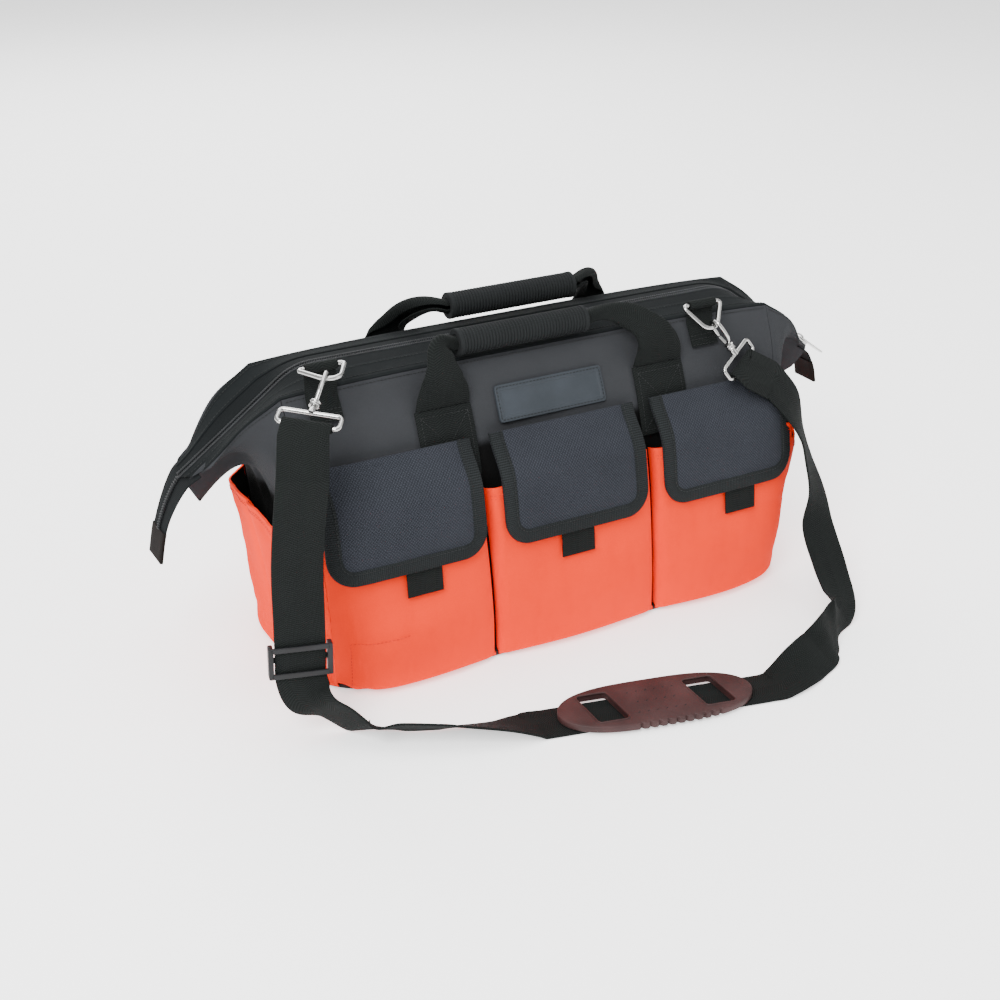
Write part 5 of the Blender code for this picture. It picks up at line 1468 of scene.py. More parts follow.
    def end_tab(self, side: Side, length: float, below: float, wide: float) -> None:
        """The zip's loose end past the ear's tip: its tape with the last of the coil, then a webbing tab."""
        u, name, finishes = side.out.x * self.half_length, "zip_end_tab_" + side.value, self.bench.finishes
        start = self.point(u) - self.up(u) * below
        points = [self.point(u - side.out.x * self.tuck) - self.up(u) * below, start]
        for away, down in ((0.16, 0.26), (0.28, 0.56), (0.36, 0.92)):
            points.append(start + side.out * length * away - UP * length * down)
        path = through(points, 8)
        cut = 8 + int(16 * smooth(length / 0.06))
        halves = [ALONG_Y * mix(wide, self.tab_width, smooth(k / cut)) / 2 for k in range(len(path))]
        stations = along_path(path, halves)
        tape = webbing("tape", stations[:cut + 3], 0.0014, finishes.tape)
        tab = webbing("tab", [(centre - off * 0.0004, half * 1.04, off)
                              for centre, half, off in stations[cut:]], 0.0026,
                      finishes.tail)
        upper = [centre + (off if off.z > 0 else -off) * 0.0018 for centre, _, off in stations[8:cut + 1]]
        values = {"Pitch": 0.0021, "Reach": 0.0072, "Rise": 0.0022, "Width": 0.0015,
                  "Material": finishes.coil}
        coil = self.bench.box.coil.grow("coil", [upper], values)
        settle(joined(name + "_web", tape, tab, coil), "bag", "black_webbing", name)

    def build(self) -> None:
        """Make the whole zip."""
        for edge in (Side.FRONT, Side.BACK):
            self.tape(edge)
            self.teeth(edge)
        below = self.half_thickness + GAP + 0.0008
        self.end_tab(Side.LEFT, 0.068, below, 0.044)
        self.end_tab(Side.RIGHT, 0.034, below + self.plate + 2 * GAP, 0.028)
        self.slider()
        self.pull()


# Pockets


@dataclass(frozen=True)
class Pocket:
    """One open-topped pocket.

    Its cloth hangs full, rolled in at its sewn edges and creased where it turns.
    """

    name: str
    side: Side
    start: float
    end: float
    top_z: float
    gape: float = 0.018
    depth: float = 0.012
    foot_depth: float = 0.0085
    foot_edge: float = 0.0042
    wall: float = 0.0015
    foot_z: float = 0.0024
    raised: float = 0.0050
    turn_start: float = 0.009
    turn_end: float = 0.024
    foot_round: float = 0.007
    hem: float = 0.010
    full: float = 0.0075
    full_below: float = 0.088
    corner_full: float = 0.010
    leans: tuple = ((0.37, 0.040), (-0.37, 0.016))

    @property
    def half(self) -> float:
        """Half the length of the pocket's side."""
        return WALL.half(self.side)

    @property
    def height(self) -> float:
        """The pocket's height."""
        return self.top_z - self.foot_z

    @property
    def span(self) -> tuple[float, float]:
        """The wall's shares t at the pocket's foot and top."""
        middle = (self.start + self.end) / 2
        return tuple(WALL.share_at_height(self.side, middle, z) for z in (self.foot_z, self.top_z))

    @staticmethod
    def rolled(share: float) -> float:
        """A quarter round from 0 to 1."""
        return math.sqrt(1 - (1 - min(max(share, 0.0), 1.0)) ** 2)

    def edge(self, s: float, climb: float) -> float:
        """How far the pocket has come out of a sewn edge at share s; a bag's corner isn't sewn."""
        wide = self.turn_end * mix(0.5, 1.0, climb)
        near = 1.0 if abs(self.start) > 0.95 else self.rolled((s - self.start) * self.half / self.turn_start)
        far = 1.0 if abs(self.end) > 0.95 else self.rolled((self.end - s) * self.half / wide)
        return min(near, far)

    def fullness(self, s: float, climb: float, z: float) -> float:
        """How much further the loose cloth hangs out low down and round the bag's right front corner."""
        middle = (s - self.start) / (self.end - self.start)
        full = 0.0 if self.side.is_end else self.full
        low = full * smooth((self.full_below - z) / 0.035) * math.sin(math.pi * min(max(middle, 0), 1))
        run = (1 - abs(s)) * (self.half - WALL.corner + WALL.corner * math.pi / 4)
        if (self.side, s > 0) in ((Side.FRONT, True), (Side.RIGHT, False)):
            reach = 0.042 if self.side is Side.FRONT else 0.060
            return low + self.corner_full * smooth(1 - run / reach)
        return low

    def creases(self, s: float, climb: float, here: Vector) -> float:
        """The gathered pleat and its wrinkles just round the bag's left front corner."""
        if self.side is Side.FRONT and s < 0:
            run = (1 + s) * self.half
            return 0.0022 * math.exp(-((run - 0.022 + 0.012 * climb) / 0.005) ** 2) * smooth(1.3 - 1.5 * climb)
        if self.side is Side.LEFT and s > 0:
            run = (1 - s) * self.half
            pleat = 0.0065 * math.exp(-((run - 0.009) / 0.0055) ** 2) * smooth((0.62 - climb) / 0.25)
            ripple = 0.0007 * math.sin(here.z * math.tau / 0.0105 + run * 90) * smooth((climb - 0.22) / 0.12)
            return pleat + (ripple + 0.0007) * smooth(1 - run / 0.035) * smooth((0.85 - climb) / 0.2)
        return 0.0

    def stand(self, s: float, t: float) -> float:
        """How far the pocket's inner face stands off the wall."""
        foot, top = self.span
        climb = (t - foot) / (top - foot)
        here = WALL.point(self.side, s, t)
        out = mix(self.foot_depth, self.depth, smooth(climb / 0.25))
        if self.side.is_end:
            out = mix(mix(self.foot_depth, self.gape, smooth(climb)), out, smooth(abs(s)))
        out += self.fullness(s, climb, here.z)
        out = mix(self.foot_edge, out, self.rolled(climb * self.height / self.foot_round))
        edge = self.edge(s, climb)
        calm = smooth(climb / 0.12) * smooth(edge * 2 - 1)
        out = out * max(edge, 0.03)
        out += slack(here, depth=0.0016, size=0.036,
                     seed=8.0) * calm * (0.5 if climb > 0.5 and not self.side.is_end else 1.0)
        out += slack(Vector((here.x * 2.2, here.y * 2.2, here.z * 0.6)), depth=0.0013, size=0.05,
                     seed=21.0) * calm * smooth(1 - climb)
        out -= self.creases(s, climb, here)
        clear = WALL.share_at_height(self.side, s, 0.0072)
        return max(out, 0.0039 * smooth((clear - t) / 0.006), GAP)

    def off(self, s: float, t: float, lift: float) -> Vector:
        """A point off the pocket's inner face; its side seams lean and its foot rises by a corner."""
        foot, top = self.span
        climb = (t - foot) / (top - foot)
        stand = self.stand(s, t)
        if self.side is Side.FRONT:
            raised = self.raised * smooth((-0.93 - s) / 0.05) * max(0.0, 1 - climb / 0.06)
            t += raised / (3 * WALL.rise)
            s += sum(most * math.exp(-((s - place) / 0.2) ** 2) for place, most in self.leans) * (1 - climb)
        return WALL.off(self.side, s, t, stand + lift)

    def columns(self) -> list[float]:
        """Shares along the side, closer together at the pocket's edges."""
        turn, wide = self.turn_start / self.half, self.turn_end / self.half
        near = [0, 0.02, 0.06, 0.12, 0.20, 0.32, 0.48, 0.70, 0.95]
        inside = [s for s in WALL.columns(self.side, 40 if self.side.is_end else 110, 26)
                  if self.start + turn < s < self.end - wide]
        return ([self.start + turn * share for share in near] + inside
                + [self.end - wide * share for share in reversed(near)])

    def cloth(self, finishes: Finishes) -> Piece:
        """The pocket's cloth, a little thicker along its hem."""
        foot, top = self.span
        rows = [mix(foot, top, k / 100) for k in (0, 0.3, 0.8, 1.6, 2.6, 4.0)]
        rows += [mix(foot, top, share) for share in spread(46) if share > 0.045]
        grids = ([], [], [])
        for s in self.columns():
            rims = [0.0004 * smooth(1 - (top - t) / (top - foot) * self.height / self.hem * 0.9)
                    for t in rows]
            grids[0].append([self.off(s, t, self.wall + rim) for t, rim in zip(rows, rims)])
            grids[1].append([self.off(s, t, 0.0) for t in rows])
            grids[2].append([(s * self.half, t * 0.27) for t in rows])
        return shell(self.name + "_cloth", grids[0], grids[1], finishes.orange, grids[2], finishes.lining)

    def seams(self) -> list[list[Vector]]:
        """The two lines of the hem, and the patch of stitches low on the front left pocket."""
        foot, top = self.span
        turn, lift, lines = self.turn_start / self.half, self.wall + 0.0003, []
        for back in (self.hem, self.hem - 0.003):
            t = top - (top - foot) * back / self.height
            lines.append([self.off(s, t, lift) for s in self.columns()
                          if self.start + turn * 0.3 < s < self.end - turn * 0.3])
        if self.side is Side.FRONT and self.start < -0.9:
            path = divided([(-0.945, 0.010), (-0.940, 0.049), (-0.76, 0.053)], 30)
            lines.append([self.off(s, WALL.share_at_height(self.side, s, z), lift) for s, z in path])
        return lines

    def build(self, bench: Bench) -> None:
        """Make the pocket and its seams."""
        settle(self.cloth(bench.finishes), "bag", "orange_fabric", self.name)
        piece = bench.box.sew(self.name + "_stitches", self.seams(), bench.finishes.orange_thread)
        settle(piece, "bag", "orange_fabric")


def pockets(bench: Bench, split_x: float = 0.0785, top_z: float = 0.154, back_top_z: float = 0.150,
            end_top_z: float = 0.145) -> None:
    """Three pockets at the front, three at the back and one at each end."""
    split = WALL.shares(Side.FRONT, split_x, top_z / 2)[0]
    aside = (Pocket.wall + GAP) / WALL.half(Side.FRONT)
    outer = 1 - GAP / WALL.half(Side.FRONT)
    for place, start, end in (("left", -outer, -split - aside), ("middle", aside - split, split - aside),
                              ("right", split + aside, outer)):
        Pocket("pocket_front_" + place, Side.FRONT, start, end, top_z).build(bench)
        Pocket("pocket_back_" + place, Side.BACK, -end, -start, back_top_z).build(bench)
    reach = 1 - GAP / WALL.half(Side.LEFT)
    for side in (Side.LEFT, Side.RIGHT):
        Pocket("end_pocket_" + side.value, side, -reach, reach, end_top_z).build(bench)


# Flaps


@dataclass
class Flap:
    """One padded flap over a front pocket, bound round its free edges, with a pull tab."""

    bench: Bench
    name: str
    centre: float
    width: float = 0.138
    pitch: float = 0.156
    thickness: float = 0.0024
    root_z: float = 0.195
    root_stand: float = 0.0038
    hem_z: float = 0.105
    stand: float = 0.0030
    wrap: float = 0.005
    corner: float = 0.022
    binding: float = 0.012
    pocket_face: float = 0.0135
    patch: tuple[float, float] = (0.060, 0.020)
    patch_z: float = 0.138
    tab: tuple[float, float, float] = (0.032, 0.012, 0.022)
    puff: float = 0.0016
    tab_aside: float = 0.0

    @property
    def drop(self) -> float:
        """The height of the flap."""
        return self.root_z - self.hem_z

    @lru_cache(maxsize=None)
    def profile(self, share: float) -> tuple[float, float]:
        """The flap's inner face in the middle, as y and z, at a share of its drop."""
        root = WALL.at(Side.FRONT, 0, self.root_z, self.root_stand)
        z = mix(self.root_z, self.hem_z, share)
        face = WALL.at(Side.FRONT, 0, z,
                       mix(self.root_stand, self.pocket_face + self.stand, smooth(share / 0.42)))
        return (min(face.y, root.y) if share > 0 else root.y), face.z

    def __hash__(self) -> int:
        """Flaps are told apart by name."""
        return hash(self.name)

    def inside(self, x: float, share: float) -> Vector:
        """The inner face at a place across and a share of the drop."""
        y, z = self.profile(round(min(max(share, 0.0), 1.0), 5))
        flat = self.pitch + self.patch[0] / 2
        past = max(abs(x) - flat, 0) / (self.pitch + self.width / 2 - flat)
        return Vector((x, y + self.wrap * past**2, z))

    def off(self, x: float, share: float, lift: float) -> Vector:
        """A point off the inner face."""
        below = self.inside(x, min(share + NUDGE, 1))
        above = self.inside(x, max(share - NUDGE, 0))
        return self.inside(x, share) + (below - above).cross(ALONG_X).normalized() * lift

    def cover(self) -> Piece:
        """The padded cloth, fuller in the middle than at its bound edges."""
        half = self.width / 2
        near = [0, 0.0006, 0.002, 0.005, 0.009, self.binding, self.binding + 0.003]
        across = [-half + step for step in near]
        across += [mix(-half + 0.019, half - 0.019, share) for share in spread(34)]
        across += [half - step for step in reversed(near)]
        down = [share * 0.84 for share in spread(28)] + [1 - step / self.drop for step in reversed(near)]
        outer, inner, places = [], [], []
        for offset in across:
            front, back, place = [], [], []
            beyond = max(abs(offset) - (half - self.corner), 0)
            cut = self.corner - math.sqrt(max(self.corner**2 - beyond**2, 0))
            for share in down:
                shortened = share * (1 - cut / self.drop)
                edge = min(half - abs(offset), (1 - share) * self.drop)
                full = smooth((edge - self.binding * 0.6) / 0.012) * self.puff
                full += slack(Vector((self.centre + offset, share * 0.1, 0)), depth=0.0007, size=0.03,
                              seed=5.0) * smooth(edge / 0.02)
                x = self.centre + offset
                front.append(self.off(x, shortened, self.thickness + full))
                back.append(self.off(x, shortened, 0.0))
                place.append((offset, shortened * self.drop))
            outer.append(front)
            inner.append(back)
            places.append(place)
        return shell("flap_" + self.name + "_cloth", outer, inner, self.bench.finishes.flap, places)

    def rim(self) -> list[tuple[Vector, Vector]]:
        """The free edge as plan points, across and down, with the direction inwards."""
        half, low = self.width / 2, self.drop - self.corner
        path = [(Vector((-half, low * share)), Vector((1, 0))) for share in spread(24)]
        for start, centre in ((math.pi, -half + self.corner), (math.pi / 2, half - self.corner)):
            middle = Vector((centre, low))
            for share in spread(14):
                angle = start - share * math.pi / 2
                out = Vector((math.cos(angle), math.sin(angle)))
                path.append((middle + out * self.corner, -out))
            if start == math.pi:
                path += [(Vector((mix(-half + self.corner, half - self.corner, share), self.drop)),
                          Vector((0, -1)))
                         for share in spread(30)[1:-1]]
        path += [(Vector((half, low * (1 - share))), Vector((-1, 0))) for share in spread(24)[1:]]
        return path

    def bind(self) -> tuple[Piece, list[Vector]]:
        """The binding folded over the free edge, and the line that it is sewn along."""
        thick, wide = self.thickness, self.binding
        section = [(wide, thick + 0.0006), (wide - 0.0006, thick + 0.0011), (wide * 0.5, thick + 0.0012),
                   (0.0012, thick + 0.0010), (0.0001, thick + 0.0004), (-0.0003, thick / 2),
                   (0.0002, -0.0001),
                   (0.0012, -0.0002), (wide - 0.001, -0.0002), (wide, 0.0001), (0.0016, 0.0003),
                   (0.0012, thick / 2), (0.0016, thick + 0.0001)]
        rings, places, run, seam = [], [], 0.0, []
        path = self.rim()
        for k, (point, inward) in enumerate(path):
            if k:
                run += (point - path[k - 1][0]).length
            ring = []
            for inset, lift in section:
                spot = point + inward * inset
                ring.append(self.off(self.centre + spot.x, spot.y / self.drop, lift))
            rings.append(ring)
            places.append([(inset, run) for inset, _ in section])
            spot = point + inward * (wide - 0.0022)
            seam.append(self.off(self.centre + spot.x, spot.y / self.drop, thick + 0.0013))
        piece = loft("flap_" + self.name + "_binding", rings, self.bench.finishes.binding, places, angle=60.0)
        return piece, seam

    def pull_tab(self) -> Piece:
        """The webbing tab behind the hem."""
        wide, tuck, fall = self.tab
        stations = []
        heading = (self.inside(self.centre, 1) - self.inside(self.centre, 1 - NUDGE)).normalized()
        off = heading.cross(ALONG_X).normalized()
        for share in spread(4):
            inside = self.inside(self.centre + self.tab_aside, 1 - tuck / self.drop * (1 - share))
            stations.append((inside - off * (GAP + 0.00075), ALONG_X * wide / 2, off))
        last = stations[-1][0]
        stations += [(last + heading * fall * share, ALONG_X * wide / 2, off) for share in spread(6)[1:]]
        return webbing("flap_tab_" + self.name + "_web", stations, 0.0015, self.bench.finishes.webbing)

    def patch_grid(self, face: Callable[[float, float, float], Vector], lift: float) -> Grid:
        """A small rectangle that follows the pocket or the flap."""
        wide, tall = self.patch
        return [[face(self.centre + (a - 0.5) * wide, self.patch_z + (b - 0.5) * tall, lift)
                 for b in spread(6)]
                for a in spread(16)]

    def flap_face(self, x: float, z: float, lift: float) -> Vector:
        """A point off the flap's inner face, towards the pocket, at a height."""
        low, high = 0.0, 1.0
        for _ in range(24):
            middle = (low + high) / 2
            if self.inside(x, middle).z > z:
                low = middle
            else:
                high = middle
        return self.off(x, low, -lift)

    def pocket_point(self, x: float, z: float, lift: float) -> Vector:
        """A point off the pocket's outer face at a height."""
        s, t = WALL.shares(Side.FRONT, x, z)
        return WALL.off(Side.FRONT, s, t, self.pocket_face + lift)

    def fasteners(self) -> None:
        """The hook half inside the flap and the loop half on the pocket."""
        places = [[(a * 0.06, b * 0.02) for b in spread(6)] for a in spread(16)]
        pile = self.bench.finishes.pile
        hook = shell("hook_patch_" + self.name + "_pile", self.patch_grid(self.flap_face, GAP),
                     self.patch_grid(self.flap_face, GAP + 0.0010), pile, places)
        loop = shell("loop_patch_" + self.name + "_pile", self.patch_grid(self.pocket_point, 0.0016),
                     self.patch_grid(self.pocket_point, 0.0001), pile, places)
        settle(hook, "flap_" + self.name, "black_webbing", "hook_patch_" + self.name)
        settle(loop, "bag", "black_webbing", "loop_patch_" + self.name)

    def build(self) -> None:
        """Make the flap and what belongs to it."""
        body = "flap_" + self.name
        cover = settle(self.cover(), body, "flap_fabric", "flap_" + self.name)
        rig.padded(cover, fill=0.25)
        binding, seam = self.bind()
        settle(binding, body, "black_webbing", "flap_" + self.name)
        settle(self.pull_tab(), body, "black_webbing", "flap_tab_" + self.name)
        stitches = self.bench.box.sew("flap_" + self.name + "_stitches", [seam], self.bench.finishes.thread)
        settle(stitches, body, "black_webbing")
        self.fasteners()


# Name patch


@dataclass
class NamePatch:
    """A moulded patch with a raised, stitched border, bare inside it."""

    bench: Bench
    size: tuple[float, float] = (0.102, 0.028)
    centre: tuple[float, float] = (-0.004, 0.214)
    thickness: float = 0.0020
    sink: float = 0.0007
    border: float = 0.004
    corner: float = 0.003

    def edge(self, x: float, z: float) -> float:
        """How far a place is inside the patch's rounded outline."""
        wide, tall = self.size[0] / 2 - self.corner, self.size[1] / 2 - self.corner
        over = Vector((max(abs(x) - wide, 0), max(abs(z) - tall, 0))).length
        if over:
            return self.corner - over
        return min(self.size[0] / 2 - abs(x), self.size[1] / 2 - abs(z))

    def face(self, x: float, z: float, lift: float) -> Vector:
        """A point off the wall by its place on the patch."""
        return WALL.at(Side.FRONT, self.centre[0] + x, self.centre[1] + z, lift)

    def build(self) -> None:
        """Make the patch and its border stitches."""
        steps = [0, 0.0003, 0.0008, 0.0016, 0.0026, self.border, self.border + 0.0005, self.border + 0.0012]
        half_x, half_z = self.size[0] / 2, self.size[1] / 2
        across = [-half_x + step for step in steps] + [mix(-half_x + 0.008, half_x - 0.008, a)
                                                       for a in spread(16)]
        across += [half_x - step for step in reversed(steps)]
        down = [-half_z + step for step in steps] + [mix(-0.006, 0.006, a) for a in spread(4)]
        down += [half_z - step for step in reversed(steps)]
        outer, inner, places = [], [], []
        for x in across:
            front, back, place = [], [], []
            for z in down:
                pulled = self.pulled(x, z)
                depth = self.edge(*pulled)
                rounding = 0.0006 * (1 - Pocket.rolled(depth / 0.0008))
                sunk = self.sink * smooth((depth - self.border) / 0.0008)
                front.append(self.face(*pulled, GAP + self.thickness - sunk - rounding))
                back.append(self.face(*pulled, GAP))
                place.append(pulled)
            outer.append(front)
            inner.append(back)
            places.append(place)
        piece = shell("name_patch_bare", outer, inner, self.bench.finishes.patch, places)
        settle(piece, "bag", "patch_rubber", "name_patch")
        inset = self.border / 2
        wide, tall = half_x - inset, half_z - inset
        outline = rounded([(-wide, -tall), (wide, -tall), (wide, tall), (-wide, tall)], [0.0018] * 4, 5)
        outline.append(outline[0])
        line = []
        for one, two in zip(outline, outline[1:]):
            line += [Vector(one).lerp(Vector(two), share) for share in spread(12)[:-1]]
        line = [self.face(point.x, point.y, GAP + self.thickness + 0.0001) for point in line]
        stitches = self.bench.box.sew("name_patch_stitches", [line], self.bench.finishes.thread)
        settle(stitches, "bag", "patch_rubber")

    def pulled(self, x: float, z: float) -> tuple[float, float]:
        """A place pulled in to the rounded corner."""
        wide, tall = self.size[0] / 2 - self.corner, self.size[1] / 2 - self.corner
        over = Vector((max(abs(x) - wide, 0), max(abs(z) - tall, 0)))
        if over.x and over.y:
            square = max(over.x, over.y)
            over = over.normalized() * square
            return math.copysign(wide + over.x, x), math.copysign(tall + over.y, z)
        return x, z


# Carrying handles


@dataclass
class Handle:
    """One carrying handle: two sewn legs, free webbing that curls up, and a ribbed sleeve."""

    bench: Bench
    edge: Side
    grip: tuple[float, float, float]
    bow: tuple[float, float]
    half_spacing: float = 0.103
    width: float = 0.050
    thickness: float = 0.0016
    foot_z: float = 0.165
    fold_z: float = 0.222
    grip_length: float = 0.126
    grip_radius: float = 0.0100
    bore: float = 0.0060
    rib_height: float = 0.0012
    rib_pitch: float = 0.0028
    run_in: float = 0.022
    rise: float = 0.011
    fold: tuple[float, float] = (0.024, 0.007)
    fold_share: float = 0.45
    curl: float = 2.9

    @property
    def name(self) -> str:
        """The handle's name."""
        return "handle_" + self.edge.value

    def fold_point(self, sign: int) -> Vector:
        """Where the free webbing turns, just over the top of a sewn leg."""
        place = self.half_spacing * sign * self.edge.along.x
        return WALL.at(self.edge, place, self.fold_z, GAP + self.thickness * 1.5)

    def leg(self, label: str, sign: int) -> None:
        """The stretch of webbing that is stitched down the panel, with its crossed box of stitches."""
        place = self.half_spacing * sign * self.edge.along.x
        half, top = self.width / 2, self.fold_z - self.thickness
        near = [0, 0.0005, 0.0015, 0.004]
        across = [-half + step for step in near] + [mix(-half, half, k / 12) for k in range(2, 11)]
        across += [half - step for step in reversed(near)]
        heights = [self.foot_z + step for step in (0, 0.0006, 0.002)]
        heights += [mix(self.foot_z, top, share) for share in spread(14)[1:]]
        outer, inner, places = [], [], []
        for x in across:
            side_drop = 0.0005 * (1 - smooth((half - abs(x)) / 0.0015))
            face = []
            for z in heights:
                drop = max(side_drop, 0.0005 * (1 - smooth((z - self.foot_z) / 0.002)))
                face.append(WALL.at(self.edge, place + x, z, GAP + self.thickness - drop))
            outer.append(face)
            inner.append([WALL.at(self.edge, place + x, z, GAP) for z in heights])
            places.append([(x, z) for z in heights])
        name = f"{self.name}_leg_{label}"
        settle(shell(name + "_web", outer, inner, self.bench.finishes.webbing, places), "bag",
               "black_webbing", name)
        a, low, high = half - 0.004, self.foot_z + 0.004, top - 0.005
        frame = [(-a, low), (a, low), (a, high), (-a, high), (-a, low)]
        paths = [frame, [(-a, low), (a, high)], [(a, low), (-a, high)]]
        lift = GAP + self.thickness + 0.0002
        lines = [[WALL.at(self.edge, place + x, z, lift) for x, z in divided(path, 14)] for path in paths]
        settle(self.bench.box.sew(name + "_stitches", lines, self.bench.finishes.thread), "bag",
               "black_webbing")

    def path(self) -> list[tuple[Vector, float]]:
        """The middle of the free webbing with the share that it is folded, end to end."""
        grip, steps = Vector(self.grip), 40
        halves = []
        for sign in (-1, 1):
            fold = self.fold_point(sign)
            end = grip + ALONG_X * sign * self.grip_length / 2
            first = fold + Vector((0, *self.bow))
            second = end + Vector((sign * self.run_in, 0, self.rise))
            curve = interpolate_bezier(fold, first, second, end, steps + 1)
            halves.append([(point, k / steps) for k, point in enumerate(curve)])
        left, right = halves
        inside = [(left[-1][0].lerp(right[-1][0], share), 1.0) for share in (0.1, 0.5, 0.9)]
        return left + inside + list(reversed(right))

    def section(self, share: float, thin: float) -> list[tuple[float, float]]:
        """A section across the free webbing.

        Args:
            share: How far along it is from the sewn leg to the sleeve.
            thin: How much of its thickness is left, at a foot.

        Returns:
            Points round it: flat at the leg, its two edges curled over further on.
        """
        folding = smooth(share / self.fold_share)
        rounding = smooth((share - self.fold_share) / (0.92 - self.fold_share))
        bore = 2 * (self.bore - GAP)
        wide = mix(mix(self.width, self.fold[0], folding), bore, rounding)
        thick = mix(mix(2 * self.thickness, self.fold[1], folding), bore, rounding) * thin
        layer = mix(2 * self.thickness, self.thickness, smooth(share / 0.12)) * thin
        spine, spot, steps = [Vector((0, 0))], Vector((0, 0)), 14
        for k in range(steps):
            angle = self.curl * folding * smooth((k / steps - 0.28) / 0.5)
            spot = spot + Vector((math.cos(angle), math.sin(angle)))
            spine.append(spot)
        reach = max(point.x for point in spine)
        climb = max(max(point.y for point in spine), 1e-6)
        spare = max(thick - layer, 0.0)
        scaled = [Vector((p.x / reach * (wide - layer) / 2, p.y / climb * spare)) for p in spine]
        line = [Vector((-p.x, p.y)) for p in reversed(scaled[1:])] + scaled
        upper, lower = [], []
        for k, point in enumerate(line):
            heading = (line[min(k + 1, len(line) - 1)] - line[max(k - 1, 0)]).normalized()
            square = Vector((-heading.y, heading.x)) * layer / 2
            if k in (0, len(line) - 1):
                square *= 0.6
            upper.append(point + square)
            lower.append(point - square)
        drop = (thick - layer) / 2
        return [(point.x, point.y - drop) for point in lower + list(reversed(upper))]

    def free_webbing(self) -> None:
        """The free webbing, its two feet rounded about the line that it turns on."""
        path = self.path()
        last = len(path) - 1
        lift = Vector((0, *self.bow)).normalized()
        inward = 1 if self.edge is Side.FRONT else -1
        foot = [math.radians(value) for value in (75, 55, 30)]
        rings, places, run = [], [], 0.0
        for k, (centre, share) in enumerate(path):
            heading = (path[min(k + 1, last)][0] - path[max(k - 1, 0)][0]).normalized()
            turns = (0.0,)
            if k == 0:
                heading, turns = lift, (*(-value for value in foot), 0.0)
            elif k == last:
                heading, turns = -lift, (0.0, *reversed(foot))
            if k:
                run += (centre - path[k - 1][0]).length
            across = heading.cross(ALONG_Y).normalized()
            off = across.cross(heading) * inward
            for turn in turns:
                place = centre + heading * self.thickness * math.sin(turn)
                section = self.section(share, math.cos(turn))
                rings.append([place + across * x + off * y for x, y in section])
                count = len(section) // 2
                spots = [mix(-0.5, 0.5, j / (count - 1)) * self.width for j in range(count)]
                places.append([(x, run) for x in spots + spots[::-1]])
        name = self.name + "_webbing"
        settle(loft(name + "_curl", rings, self.bench.finishes.webbing, places), self.name, "black_webbing",
               name)

    def sleeve(self) -> None:
        """The ribbed sleeve over the middle of the webbing, open at both ends."""
        half = self.grip_length / 2 - self.run_in / 8
        frame = Matrix.Translation(self.grip) @ Matrix.Rotation(math.pi / 2, 4, "Y")
        cuff, low, high = 0.0042, self.grip_radius, self.grip_radius + self.rib_height
        profile = [(self.bore + 0.0006, -half), (high - 0.0006, -half), (high, -half + 0.0006),
                   (high, -half + cuff - 0.0005), (low, -half + cuff), (low, half - cuff),
                   (high, half - cuff + 0.0005), (high, half - 0.0006), (high - 0.0006, half),
                   (self.bore + 0.0006, half)]
        grip = self.bench.finishes.grip
        tube = tubular("tube", profile, frame, grip, 32)
        ends = [frame @ Vector((0, 0, sign * (half - cuff - 0.0010))) for sign in (-1, 1)]
        values = {"Pitch": self.rib_pitch, "Sleeve radius": low - 0.0001, "Rib radius": self.rib_height,
                  "Material": grip}
        ribs = self.bench.box.rib.grow("ribs", [ends], values)
        name = self.name + "_grip"
        settle(joined(name + "_sleeve", tube, ribs), self.name, "grip_rubber", name)

    def build(self) -> None:
        """Make the handle."""
        self.leg("left", -1)
        self.leg("right", 1)
        self.free_webbing()
        self.sleeve()


# Strap rings, snap hooks and swivel eyes


